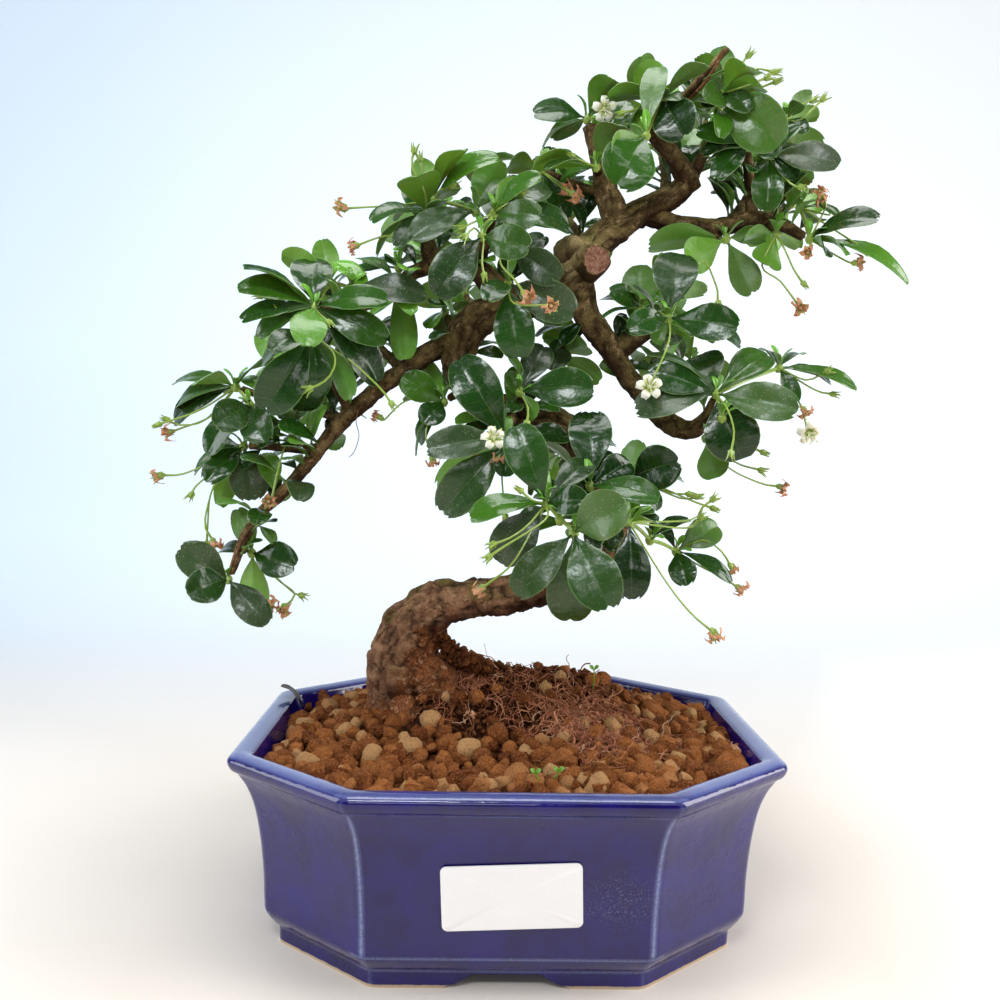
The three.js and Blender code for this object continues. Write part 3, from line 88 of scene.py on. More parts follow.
FORWARD = np.array([math.sin(YAW) * math.cos(PITCH), math.cos(YAW) * math.cos(PITCH), -math.sin(PITCH)])
LEVEL_RIGHT = np.array([math.cos(YAW), -math.sin(YAW), 0.0])
LEVEL_UP = np.cross(LEVEL_RIGHT, FORWARD)
RIGHT = LEVEL_RIGHT * math.cos(ROLL) + LEVEL_UP * math.sin(ROLL)
UP = LEVEL_UP * math.cos(ROLL) - LEVEL_RIGHT * math.sin(ROLL)


def sight(px, py):
    """The direction from the eye through a place in the front view."""
    return FORWARD + RIGHT * (px - VIEW_MIDDLE) / FOCAL + UP * (VIEW_MIDDLE - py) / FOCAL


def at(px, py, back):
    """The point seen at (px, py) that lies `back` mm behind the pot's middle plane."""
    direction = sight(px, py)
    return EYE + direction * (back - EYE[1]) / direction[1]


def unit(v):
    """v at length one; works on one vector or on rows of them."""
    v = np.asarray(v, float)
    return v / np.maximum(np.linalg.norm(v, axis=-1, keepdims=True), 1e-12)


def draw(i, j):
    """A number from 0 to 1 that looks like chance: the fraction of a big multiple of a sine."""
    value = np.sin(np.asarray(i) * 12.9898 + np.asarray(j) * 78.233) * 43758.5453
    return value - np.floor(value)


def turned(v, axis, angle):
    """v turned about a unit axis: v cos + (axis x v) sin + axis (axis . v)(1 - cos)."""
    return (v * math.cos(angle) + np.cross(axis, v) * math.sin(angle)
            + axis * np.dot(axis, v) * (1 - math.cos(angle)))


# %% [markdown]
# ## Meshes from arrays
#
# A surface is kept as a dict: its points, its faces of four and of three corners, and one number
# per point for each property that a finish reads, such as how mossy the bark is there. Joining
# surfaces means stacking their arrays, with the corner numbers moved along.

# %% Arrays into meshes
MADE = {}


def part(points, quads=None, tris=None, **fields):
    """A surface as a dict of arrays. A field is one number a point, or a pair for `uv`."""
    points = np.asarray(points, float).reshape(-1, 3)
    quads = np.zeros((0, 4), int) if quads is None else np.asarray(quads, int).reshape(-1, 4)
    tris = np.zeros((0, 3), int) if tris is None else np.asarray(tris, int).reshape(-1, 3)
    full = {}
    for key, value in fields.items():
        value = np.asarray(value, float)
        full[key] = np.full(len(points), float(value)) if value.ndim == 0 else value
    return {"points": points, "quads": quads, "tris": tris, "fields": full}


def joined(parts):
    """All the parts as one, with their corner numbers moved along."""
    start = 0
    points, quads, tris = [], [], []
    keys = sorted({key for p in parts for key in p["fields"]})
    fields = {key: [] for key in keys}
    for p in parts:
        count = len(p["points"])
        points.append(p["points"])
        quads.append(p["quads"] + start)
        tris.append(p["tris"] + start)
        for key in keys:
            empty = np.zeros((count, 2)) if key == "uv" else np.zeros(count)
            fields[key].append(p["fields"].get(key, empty))
        start += count
    full = {key: np.concatenate(value) for key, value in fields.items()}
    return part(np.concatenate(points), np.concatenate(quads), np.concatenate(tris), **full)


def grid_faces(rows, columns, wrap=False):
    """The quads of a grid of points, row by row; wrap closes each row on itself."""
    across = columns if wrap else columns - 1
    i, j = np.meshgrid(np.arange(rows - 1), np.arange(across), indexing="ij")
    k = (j + 1) % columns
    a = i * columns + j
    b = i * columns + k
    return np.stack([a, b, b + columns, a + columns], axis=-1).reshape(-1, 4)


def end_fans(rows, count):
    """The triangles that close the first and last ring of a grid whose two poles follow its points."""
    j = np.arange(count)
    k = (j + 1) % count
    last = (rows - 1) * count
    return np.vstack([np.stack([np.full(count, rows * count), k, j], -1),
                      np.stack([np.full(count, rows * count + 1), last + j, last + k], -1)])


def triangles(surface):
    """How many triangles a surface has."""
    return 2 * len(surface["quads"]) + len(surface["tris"])


def make_mesh(name, surface, sharp=40.0):
    """A mesh with the surface's points, faces and fields; edges bent past `sharp` degrees stay crisp."""
    points, quads, tris = surface["points"], surface["quads"], surface["tris"]
    mesh = bpy.data.meshes.new(name)
    corners = np.concatenate([quads.ravel(), tris.ravel()]).astype(np.int32)
    starts = np.concatenate([np.arange(len(quads)) * 4, len(quads) * 4 + np.arange(len(tris)) * 3])
    mesh.vertices.add(len(points))
    mesh.vertices.foreach_set("co", ((points + POT_MIDDLE) * MM).astype(np.float32).ravel())
    mesh.loops.add(len(corners))
    mesh.loops.foreach_set("vertex_index", corners)
    mesh.polygons.add(len(starts))
    mesh.polygons.foreach_set("loop_start", starts.astype(np.int32))
    mesh.update(calc_edges=True)
    mesh.polygons.foreach_set("use_smooth", np.ones(len(starts), bool))
    for key, value in surface["fields"].items():
        if key == "uv":
            layer = mesh.uv_layers.new(name="UVMap")
            layer.data.foreach_set("uv", value[corners].astype(np.float32).ravel())
        else:
            layer = mesh.attributes.new(key, "FLOAT", "POINT")
            layer.data.foreach_set("value", value.astype(np.float32))
    mesh.set_sharp_from_angle(angle=math.radians(sharp))
    mesh.update()
    return mesh


def make_piece(name, surface, material, nodes=(), sharp=40.0):
    """A shown object that rides on the root and hides the CAD nodes named, in whose place it stands."""
    obj = bpy.data.objects.new(name, make_mesh(name, surface, sharp))
    obj.data.materials.append(material)
    bpy.context.scene.collection.objects.link(obj)
    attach(obj, "root")
    if nodes:
        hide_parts(*nodes)
    MADE[name] = triangles(surface)


# %% [markdown]
# ## The tree's plan
#
# The tree is written down as a list of limbs, each a row of [view x, view y, depth behind the
# pot's middle, thickness], and of shoots. A shoot has buds, leaves read one by one from the
# view, leaves set round an axis by the golden angle, and stalks. Reading each leaf is slow work,
# but no growth rule would give this one tree its own outline.

# %% The plan
# A limb or a twig is a row of places: [view x, view y, depth, thickness].
LIMBS = {
  "trunk": [[404, 742, 20, 31], [403, 705, 18, 30], [402, 668, 15, 28.5], [408, 642, 11, 27],
    [418, 622, 7, 21.5], [440, 606, 3, 18.5], [475, 599, -1, 15.4], [532, 589, -5, 16],
    [575, 579, -7, 15.5], [603, 561, -5, 15], [613, 530, -1, 14.5], [606, 495, 3, 14.5],
    [590, 458, 6, 14.5], [563, 430, 6, 14.5], [528, 418, 4, 14], [492, 408, 2, 14], [468, 385, 1, 14],
    [459, 356, 0, 14.5], [470, 328, -2, 15], [503, 309, -4, 15], [545, 294, -5, 14], [577, 274, -6, 14],
    [590, 250, -4, 13], [612, 231, -1, 11.8], [641, 213, 2, 11], [670, 198, 3, 9.8], [694, 178, 2, 8.5]],
  "root_right": [[402, 672, 12, 22], [430, 676, 8, 17], [452, 700, 6, 13], [470, 735, 6, 9]],
  "root_front": [[402, 692, 14, 19], [409, 714, 3, 14], [415, 745, -3, 10]],
  "root_left": [[399, 697, 18, 17], [384, 718, 15, 13], [372, 742, 12, 10]],
  "crown_left": [[690, 182, 2, 8], [675, 161, -2, 7], [655, 131, -7, 6.6], [655, 116, -8.6, 5],
    [660.5, 106, -9.7, 3.4]],
  "right_upper": [[645, 212, 3, 8], [672, 224, 3, 7.6], [697, 227, 2, 7.6], [728, 225, 1, 7.4],
    [756, 219, 0, 7.4], [783, 225, -3, 5.4], [803.5, 236.5, -5.6, 3.6]],
  "sawn_limb": [[577, 268, -2, 13], [588, 263, -10, 12.2], [597, 260, -20, 11]],
  "knee": [[585, 262, -2, 12], [572, 253, -6, 12.5], [567, 244, -9, 10.5]],
  "dark_leader": [[618, 224, 0, 9.5], [606, 190, 1, 9.4], [601, 165, 1, 8], [594, 142, 1, 6.2],
    [589, 125.8, 0, 5.4]],
  "right_lower": [[577, 284, -5, 10.5], [584, 308, -4, 10.5], [597, 332, -2, 10], [615, 357, 0, 9.2],
    [633, 384, 2, 8.6], [650, 406, 1, 8.6], [668, 423, -2, 8.8], [692, 430, -8, 7.6], [706, 416, -14, 5],
    [714, 400, -19, 3.4]],
  "left_long": [[456, 342, 1, 9.5], [432, 352, -1, 8], [398, 374, -3, 7.6], [365, 400, -6, 7],
    [338, 425, -8, 6.6], [312, 459, -10, 5.6], [286, 489, -12, 5], [263, 510, -13, 4.6],
    [249, 530, -14, 4.2], [240, 549, -15, 4], [231.2, 573.3, -15, 3]],
  "upper_left": [[500, 292, -4, 9], [472, 268, -4, 8.4], [440, 266, -5, 7.6], [410, 273, -6, 5.6]],
}

TWIGS = {
  "low_left_side": [[240, 548, -15, 3.4], [248, 551, -14, 2.6]],
  "side_left": [[320, 449, -9, 3.8], [296, 449, -8, 3.6], [270, 446, -7, 3.4], [248, 446, -6, 3]],
  "left_upright": [[297, 449, -8, 3.2], [293, 432, -6, 2.8]],
  "mid_left": [[340, 421, -8, 3.6], [305, 406, -4, 3.4], [272, 399, -5, 3.2], [240, 389, -8, 3]],
  "shelf_low": [[350, 412, -7, 4], [338, 390, -12, 3.8], [320, 350, -19, 3.4], [315, 338, -22, 3]],
  "shelf": [[412, 273, -6, 5], [385, 296, -10, 4.2], [350, 312, -15, 3.6], [318, 310, -20, 3]],
  "leaning_leader": [[434, 267, -5, 6.8], [429, 250, -7, 6.6], [428, 234, -8, 5.4], [428, 217, -10, 3.4]],
  "upper_centre": [[476, 268, -4, 6], [484, 245, -12, 5], [490, 226, -17, 4], [493, 216, -20, 3]],
  "centre_back": [[608, 196, 1, 4], [575, 184, 5, 3.6], [543, 174, 6, 3]],
  "leader_side": [[604, 180, 1, 4], [597, 168, -4, 3]],
  "dead_twig": [[655, 126, -7, 4], [684, 97, -12, 3.2], [727, 49, -14, 2.6]],
  "crown_mid": [[690, 178, 2, 5], [702, 158, -1, 4.6], [714, 134, -4, 4], [718, 112, -8, 3]],
  "crown_right": [[752, 220, 0, 5], [750, 190, -2, 4.6], [748, 166, -4, 4.4], [748, 150, -6, 3.2]],
  "crown_far": [[750, 192, -2, 4], [770, 160, 6, 3.4], [784, 126, 8, 3]],
  "under_branch": [[700, 227, 2, 5], [712, 235, 0, 4.4], [724, 238, -2, 3]],
  "under_branch_right": [[764, 221, -1, 4], [773, 232, -3, 3]],
  "middle_right": [[619, 352, 1, 6.6], [640, 338, -4, 5], [657, 328, -9, 4], [667, 320, -14, 3]],
  "centre": [[526, 417, 3, 6], [522, 405, -8, 4.6], [519, 394, -16, 3]],
  "centre_low": [[508, 414, 2, 6], [508, 428, -12, 4.6], [508, 438, -22, 3]],
  "trunk_left": [[470, 388, 1, 5], [455, 395, 1, 3.8], [446, 401, 0, 3]],
  "trunk_left_up": [[463, 340, -2, 5], [452, 326, 2, 3.8], [446, 316, 4, 3]],
  "trunk_right": [[590, 312, -3, 5], [573, 338, 6, 4], [562, 352, 9, 3]],
  "front_low": [[606, 508, 2, 6.4], [590, 514, -18, 5], [575, 524, -38, 4]],
  "front_high": [[590, 512, -18, 4.4], [568, 509, -34, 3.8], [548, 505, -44, 3]],
  "front_mid": [[604, 500, 2, 5], [597, 492, -18, 4], [591, 487, -31, 3]],
  "front_right": [[608, 512, 0, 5], [618, 518, -22, 4], [627, 522, -40, 3]],
  "right_mid_front": [[606, 492, 3, 4.6], [620, 484, -12, 3.6], [629, 478, -24, 3]],
  "back_crown_a": [[668, 196, 4, 5], [662, 150, 24, 4], [650, 112, 36, 3]],
  "back_crown_b": [[690, 180, 4, 5], [700, 150, 24, 4], [706, 118, 38, 3]],
  "back_crown_c": [[730, 224, 2, 5], [752, 190, 26, 4], [765, 150, 38, 3]],
  "back_right": [[768, 220, -1, 4.4], [778, 214, 20, 4], [790, 205, 36, 3]],
  "back_upper_left": [[440, 266, -4, 5], [428, 240, 18, 4], [420, 214, 32, 3]],
  "back_upper_mid": [[505, 296, -2, 6], [510, 250, 22, 4.4], [512, 212, 38, 3]],
  "back_upper_right": [[590, 250, 0, 5], [570, 222, 26, 4], [560, 196, 42, 3]],
  "back_shelf_a": [[404, 370, -2, 4.4], [372, 342, 14, 4], [345, 322, 28, 3]],
  "back_shelf_b": [[340, 421, -7, 4], [310, 390, 14, 3.6], [288, 368, 24, 3]],
  "back_middle": [[466, 360, 4, 5], [470, 330, 26, 4], [466, 296, 40, 3]],
  "back_centre_b": [[575, 442, 9, 5], [572, 450, 30, 4], [565, 456, 46, 3]],
  "back_right_low": [[640, 394, 4, 5], [662, 376, 24, 4], [690, 366, 38, 3]],
  "back_right_mid": [[612, 348, 3, 5], [640, 320, 24, 4], [672, 300, 40, 3]],
}

# A shoot has
#   hubs: its buds, [view x, view y, depth], with the bud that a stem comes from where it isn't the last;
#   turns: [bud, count, axis], leaves set round an axis by the golden angle;
#   stalks: [bud, place, place, ...], one for each flower of its own;
#   leaves: [bud, tip x, tip y, length, facing, width share], with the length below zero where the
#   tip lies on the far side of the bud.
SHOOTS = {
  "low_left": {"hubs": [[228, 579, -15]],
    "leaves": [[0, 181, 549, 23, 0.95, 0.64], [0, 190, 592, 19, 0.9, 0.74], [0, 266, 622, 24, 0.95, 0.52]]},
  "low_left_side": {"hubs": [[252, 553, -13]], "turns": [[0, 1, 0.2, 0.9, -0.2]],
    "stalks": [[0, [277, 579, -13], [295, 594, -14], [282, 612, -17]]],
    "leaves": [[0, 294, 566, 20, 0.9, 0.72], [0, 238, 509, -20, -0.7, 0.5], [0, 219, 548, -17, 0.4, 0.5]]},
  "side_left": {"hubs": [[244, 446, -6]],
    "stalks": [[0, [226, 470, -8], [211, 493, -10], [208, 520, -11], [205, 550, -13]],
      [0, [214, 461, -5], [183, 474, -7], [154, 477, -8]]],
    "leaves": [[0, 252, 500, 22, 0.95, 0.7], [0, 206, 480, 23, 0.7, 0.46], [0, 206, 448, -22, 0.7, 0.5],
      [0, 191, 470, -24, 0.4, 0.3], [0, 220, 504, -26, -0.7, 0.36]]},
  "left_upright": {"hubs": [[292, 429, -5]],
    "stalks": [[0, [285, 446, -13], [278, 470, -18], [268, 502, -20]]],
    "leaves": [[0, 279, 409, 17, -0.3, 0.5], [0, 272, 423, 17, 0.2, 0.4], [0, 303, 409, -16, 0.3, 0.4]]},
  "mid_left": {"hubs": [[236, 387, -9], [250, 405, -12]],
    "leaves": [[0, 194, 381, 20, -0.45, 0.56], [0, 173, 378, -26, 0.25, 0.4], [0, 272, 360, -22, -0.4, 0.5],
      [1, 217, 424, 19, 0.85, 0.72], [1, 264, 440, 20, 0.75, 0.66], [0, 172, 420, -30, 0.5, 0.42],
      [1, 206, 452, -24, 0.7, 0.48], [0, 174, 402, -28, 0.15, 0.34]]},
  "shelf_low": {"hubs": [[313, 334, -24]],
    "leaves": [[0, 264, 411, 31, 0.95, 0.56], [0, 261, 362, -24, 0.4, 0.5], [0, 317, 398, 23, 0.7, 0.52],
      [0, 272, 348, 22, 0.5, 0.5], [0, 303, 413, -30, 0.5, 0.5], [0, 352, 398, -26, -0.5, 0.4]]},
  "shelf": {"hubs": [[314, 308, -21], [330, 284, -14], [350, 288, -13]],
    "leaves": [[0, 310, 257, -22, 0.85, 0.74], [1, 283, 254, -22, -0.6, 0.52],
      [0, 245, 264, 29, 0.15, 0.46], [0, 240, 284, 28, 0.45, 0.44], [0, 269, 283, -20, -0.35, 0.5],
      [0, 241, 318, 28, 0.4, 0.34], [0, 257, 335, 24, 0.35, 0.4], [0, 306, 343, 23, 0.8, 0.6],
      [0, 387, 338, 29, 0.8, 0.44], [0, 386, 297, 28, 0.55, 0.42], [0, 380, 381, 30, 0.85, 0.5],
      [1, 322, 241, -19, -0.7, 0.56], [2, 425, 293, 29, 0.6, 0.44]]},
  "branch_left": {"hubs": [[399, 268, -3]],
    "leaves": [[0, 334, 282, -30, 0.3, 0.38], [0, 366, 261, -22, 0.1, 0.4], [0, 405, 361, 38, -0.5, 0.3]]},
  "leaning_leader": {"hubs": [[428, 213, -11], [434, 200, -11], [476, 212, -14]],
    "stalks": [[1, [401, 205, -14], [370, 207, -17], [338, 206, -18]]],
    "leaves": [[0, 416, 172, 21, -0.9, 0.8], [1, 417, 161, -18, -0.7, 0.6], [1, 462, 145, 27, 0.1, 0.36],
      [1, 494, 153, 30, 0.45, 0.4], [2, 499, 162, -22, -0.8, 0.6], [2, 412, 235, 29, 0.6, 0.42],
      [2, 424, 237, 24, -0.5, 0.4], [0, 371, 216, 23, 0.3, 0.5], [0, 397, 245, 23, 0.35, 0.4],
      [0, 373, 251, -25, -0.2, 0.4], [1, 456, 190, -17, -0.6, 0.6]]},
  "upper_centre": {"hubs": [[494, 213, -21], [482, 236, -24], [510, 247, -20], [508, 284, -19]],
    "stalks": [[3, [514, 303, -32], [552, 306, -36]]],
    "leaves": [[0, 538, 214, 21, 0.85, 0.56], [1, 528, 246, 21, 0.9, 0.64], [0, 538, 174, 23, 0.5, 0.42],
      [0, 549, 184, -25, 0.6, 0.5], [0, 571, 225, -30, 0.7, 0.44], [1, 437, 294, 29, 0.85, 0.56],
      [2, 559, 279, 23, 0.9, 0.56], [3, 574, 312, 27, 0.9, 0.58], [3, 519, 357, 28, 0.9, 0.56],
      [3, 488, 297, 18, 0.5, 0.6]]},
  "centre_back": {"hubs": [[541, 171, 6]],
    "leaves": [[0, 507, 163, 18, -0.7, 0.6], [0, 484, 158, -25, -0.2, 0.36], [0, 567, 218, 22, 0.5, 0.46]]},
  "leader_side": {"hubs": [[596, 167, -5]],
    "leaves": [[0, 531, 164, 27, -0.5, 0.44], [0, 619, 122, 22, -0.6, 0.6], [0, 560, 180, -18, 0.3, 0.4]]},
  "stub_top": {"hubs": [[587, 119, 0]], "stalks": [[0, [600, 116, -6], [605, 109, -13.3]]],
    "leaves": [[0, 534, 112, 22, 0.6, 0.5], [0, 613, 76, 21, -0.65, 0.62], [0, 541, 143, -22, 0.3, 0.4]]},
  "crown_left": {"hubs": [[662, 100, -11], [646, 136, -18, 0]],
    "leaves": [[0, 606, 94, 22, -0.5, 0.44], [0, 641, 65, -16, -0.75, 0.8], [0, 707, 62, 23, -0.4, 0.36],
      [0, 684, 134, 20, 0.95, 0.86], [1, 608, 149, 19, -0.7, 0.5], [1, 632, 117, -14, -0.7, 0.7],
      [1, 618, 184, 25, 0.95, 0.84], [1, 659, 63, -34, 0.2, 0.3]]},
  "crown_mid": {"hubs": [[718, 109, -9], [722, 94, -12]],
    "leaves": [[1, 779, 143, 30, 0.95, 0.66], [1, 748, 108, 16, 0.6, 0.6], [1, 748, 63, 21, -0.7, 0.56],
      [1, 719, 51, -22, -0.75, 0.6], [1, 766, 85, 20, -0.7, 0.5], [0, 702, 55, -22, -0.4, 0.5],
      [1, 708, 97, 16, 0.85, 0.66], [1, 761, 68, -22, 0.4, 0.5]]},
  "crown_right": {"hubs": [[748, 147, -7], [769, 156, -10]],
    "leaves": [[0, 703, 151, 20, 0.4, 0.44], [0, 716, 177, 23, 0.5, 0.46], [0, 777, 153, 17, 0.6, 0.6],
      [1, 768, 210, 22, 0.9, 0.56], [1, 797, 203, -22, -0.4, 0.36], [1, 838, 162, 27, 0.65, 0.46],
      [1, 811, 182, -20, -0.6, 0.5], [0, 698, 130, -20, 0.4, 0.5]]},
  "crown_far": {"hubs": [[786, 120, 8]], "turns": [[0, 1, 0.2, 0.8, 0.5]],
    "leaves": [[0, 810, 93, -16, -0.6, 0.5], [0, 806, 131, 12, 0.6, 0.6], [0, 818, 116, -14, -0.5, 0.7]]},
  "right_end": {"hubs": [[810, 239, -7], [800, 208, -1]],
    "leaves": [[0, 877, 215, 27, 0.5, 0.42], [0, 911, 279, 38, 0.25, 0.3], [0, 848, 252, 18, -0.5, 0.6]]},
  "under_branch": {"hubs": [[726, 239, -3]],
    "leaves": [[0, 753, 294, 24, -0.85, 0.52], [0, 688, 262, 20, -0.9, 0.76],
      [0, 648, 245, -30, -0.8, 0.44], [0, 766, 238, -18, -0.6, 0.5]]},
  "under_branch_right": {"hubs": [[776, 234, -4]],
    "stalks": [[0, [762, 266, -9], [780, 281, -11], [801, 309, -14]]],
    "leaves": [[0, 767, 268, 17, -0.9, 0.8], [0, 798, 246, -14, -0.6, 0.6], [0, 742, 238, 17, -0.6, 0.5]]},
  "middle_right": {"hubs": [[669, 318, -16], [640, 309, -6, 0]],
    "stalks": [[0, [670, 335, -23], [664, 355, -28], [650, 386, -29.5]]],
    "leaves": [[0, 679, 251, -27, 0.85, 0.66], [0, 737, 326, 27, 0.8, 0.54], [0, 631, 327, 20, 0.75, 0.54],
      [0, 716, 338, -22, -0.4, 0.46], [0, 744, 341, -32, 0.3, 0.3], [1, 612, 290, 16, 0.6, 0.6],
      [1, 640, 267, -20, -0.8, 0.76]]},
  "right_low": {"hubs": [[716, 394, -21], [779, 368, -4, 0], [722, 418, -26, 0], [706, 438, -14, 2]],
    "stalks": [[1, [800, 404, -8], [810, 434, -12]]],
    "leaves": [[0, 636, 408, 31, 0.8, 0.5], [0, 647, 373, 28, 0.7, 0.48], [0, 697, 353, -22, 0.75, 0.8],
      [0, 770, 352, -28, 0.6, 0.5], [0, 797, 408, 31, 0.8, 0.48], [0, 742, 458, 26, 0.95, 0.8],
      [0, 651, 350, -29, 0.3, 0.34], [1, 832, 381, -22, 0.3, 0.4], [1, 858, 386, -32, 0.3, 0.3],
      [3, 714, 479, 16, -0.6, 0.8]]},
  "centre": {"hubs": [[520, 392, -17]],
    "leaves": [[0, 545, 345, -22, 0.75, 0.56], [0, 593, 388, 28, 0.85, 0.56],
      [0, 512, 356, -15, -0.4, 0.5]]},
  "centre_low": {"hubs": [[508, 441, -23]], "stalks": [[0, [503, 446, -31], [494, 437, -38]]],
    "leaves": [[0, 459, 358, 32, 0.85, 0.56], [0, 427, 448, 31, 0.75, 0.42], [0, 441, 512, 34, 0.85, 0.5],
      [0, 569, 435, -25, 0.55, 0.4], [0, 569, 456, -27, -0.25, 0.4], [0, 440, 488, -34, -0.85, 0.46],
      [0, 532, 494, 22, -0.3, 0.5]]},
  "trunk_left": {"hubs": [[444, 402, 0]],
    "leaves": [[0, 402, 378, 19, 0.6, 0.66], [0, 424, 422, 14, 0.7, 0.8], [0, 417, 443, -20, 0.4, 0.4],
      [0, 420, 360, -19, -0.6, 0.5]]},
  "trunk_left_up": {"hubs": [[445, 312, 5]],
    "leaves": [[0, 430, 326, 14, -0.4, 0.7], [0, 441, 337, 13, -0.7, 0.6], [0, 432, 302, 13, 0.4, 0.6]]},
  "trunk_right": {"hubs": [[558, 355, 9]],
    "leaves": [[0, 590, 345, 16, -0.8, 0.6], [0, 560, 316, -18, -0.85, 0.8],
      [0, 600, 380, -20, -0.8, 0.5]]},
  "front_high": {"hubs": [[546, 504, -45], [574, 533, -52, 2], [560, 520, -49, 0]],
    "leaves": [[0, 516, 425, -29, 0.95, 0.54], [0, 470, 514, 27, 0.4, 0.42], [0, 497, 561, 26, 0.95, 0.62],
      [0, 585, 500, 18, 0.8, 0.62], [0, 591, 459, -26, 0.5, 0.4], [2, 600, 502, 15, 0.9, 0.5],
      [1, 624, 503, 24, 0.85, 0.72], [1, 515, 593, 29, 0.85, 0.46], [1, 609, 606, 29, 0.95, 0.62],
      [1, 570, 622, -31, 0.6, 0.56]]},
  "front_mid": {"hubs": [[590, 486, -33]],
    "leaves": [[0, 589, 410, -30, 0.85, 0.56], [0, 606, 449, -17, 0.7, 0.6], [0, 631, 462, -18, 0.8, 0.66],
      [0, 658, 496, 26, 0.65, 0.4]]},
  "right_mid_front": {"hubs": [[631, 477, -25]],
    "leaves": [[0, 677, 462, 21, 0.95, 0.82], [0, 638, 441, -16, -0.7, 0.6], [0, 684, 478, -24, 0.4, 0.3]]},
  "front_right": {"hubs": [[629, 522, -42], [650, 540, -26], [676, 551, -9]],
    "stalks": [[0, [665, 580, -42], [690, 612, -43], [716, 639, -44]]],
    "leaves": [[0, 632, 599, 27, 0.8, 0.52], [2, 719, 525, -20, 0.75, 0.66], [2, 687, 584, 16, 0.8, 0.7],
      [2, 733, 580, 24, 0.4, 0.3]]},
  "back_crown_a": {"hubs": [[650, 109, 37]], "turns": [[0, 4, -0.4, 0.5, 0.8]]},
  "back_crown_b": {"hubs": [[706, 115, 39]], "turns": [[0, 4, 0, 0.5, 0.9]]},
  "back_crown_c": {"hubs": [[765, 147, 39]], "turns": [[0, 4, 0.4, 0.5, 0.8]]},
  "back_right": {"hubs": [[792, 204, 37]], "turns": [[0, 4, -0.2, 0.9, 0.1]]},
  "back_upper_left": {"hubs": [[419, 211, 33]], "turns": [[0, 4, 0.4, 0.9, 0]]},
  "back_upper_mid": {"hubs": [[512, 209, 39]], "turns": [[0, 4, 0, 0.6, 0.8]]},
  "back_upper_right": {"hubs": [[559, 193, 43]], "turns": [[0, 4, 0.2, 0.7, 0.7]]},
  "back_shelf_a": {"hubs": [[344, 320, 29]], "turns": [[0, 4, -0.3, 0.6, 0.7]]},
  "back_shelf_b": {"hubs": [[286, 366, 25]], "turns": [[0, 4, 0.1, 0.9, -0.1]]},
  "back_middle": {"hubs": [[466, 293, 41]], "turns": [[0, 4, -0.1, 0.8, 0.5]]},
  "back_centre_b": {"hubs": [[564, 458, 47]], "turns": [[0, 4, 0, 0.9, 0.3]]},
  "back_right_low": {"hubs": [[692, 364, 39]], "turns": [[0, 4, 0.2, 0.8, 0.4]]},
  "back_right_mid": {"hubs": [[673, 297, 41]], "turns": [[0, 4, 0.1, 0.7, 0.6]]},
}

# Single flowers: [name, shoot, the way it opens, radius].
BLOOMS = [
  ["bloom_white_1", "stub_top", 0.1, -0.9, -0.3, 4.4],
  ["bloom_white_2", "middle_right", 0, -1, 0.2, 4.6],
  ["bloom_white_3", "right_low", 0, -0.9, -0.4, 4.4],
  ["bloom_white_4", "centre_low", 0.2, -0.9, 0.3, 4.2],
  ["bloom_spent_1", "side_left", 0, -0.7, -0.7, 4.0],
  ["bloom_spent_2", "low_left_side", -0.2, -0.8, -0.6, 4.0],
  ["bloom_spent_3", "left_upright", -0.2, -1, -0.1, 4.0],
  ["bloom_spent_4", "upper_centre", 0.3, -0.9, -0.2, 3.8],
  ["bloom_spent_5", "under_branch_right", 0, -0.8, -0.5, 3.9],
  ["bloom_spent_6", "front_right", 0.3, -0.5, -0.8, 4.0],
  ["bloom_spent_7", "side_left", -0.7, -0.6, -0.2, 3.8],
  ["bloom_spent_8", "leaning_leader", -0.7, -0.6, 0.1, 3.8],
]

# The soil's mounds: [middle x, middle y, spread x, spread y, height].
MOUNDS = [
  [8, 12, 46, 30, 20.5], [-28, 16, 20, 20, 9], [-17, 20, 17, 13, 6], [33, 14, 20, 14, 5.5],
  [35, -14, 19, 16, 3],
]

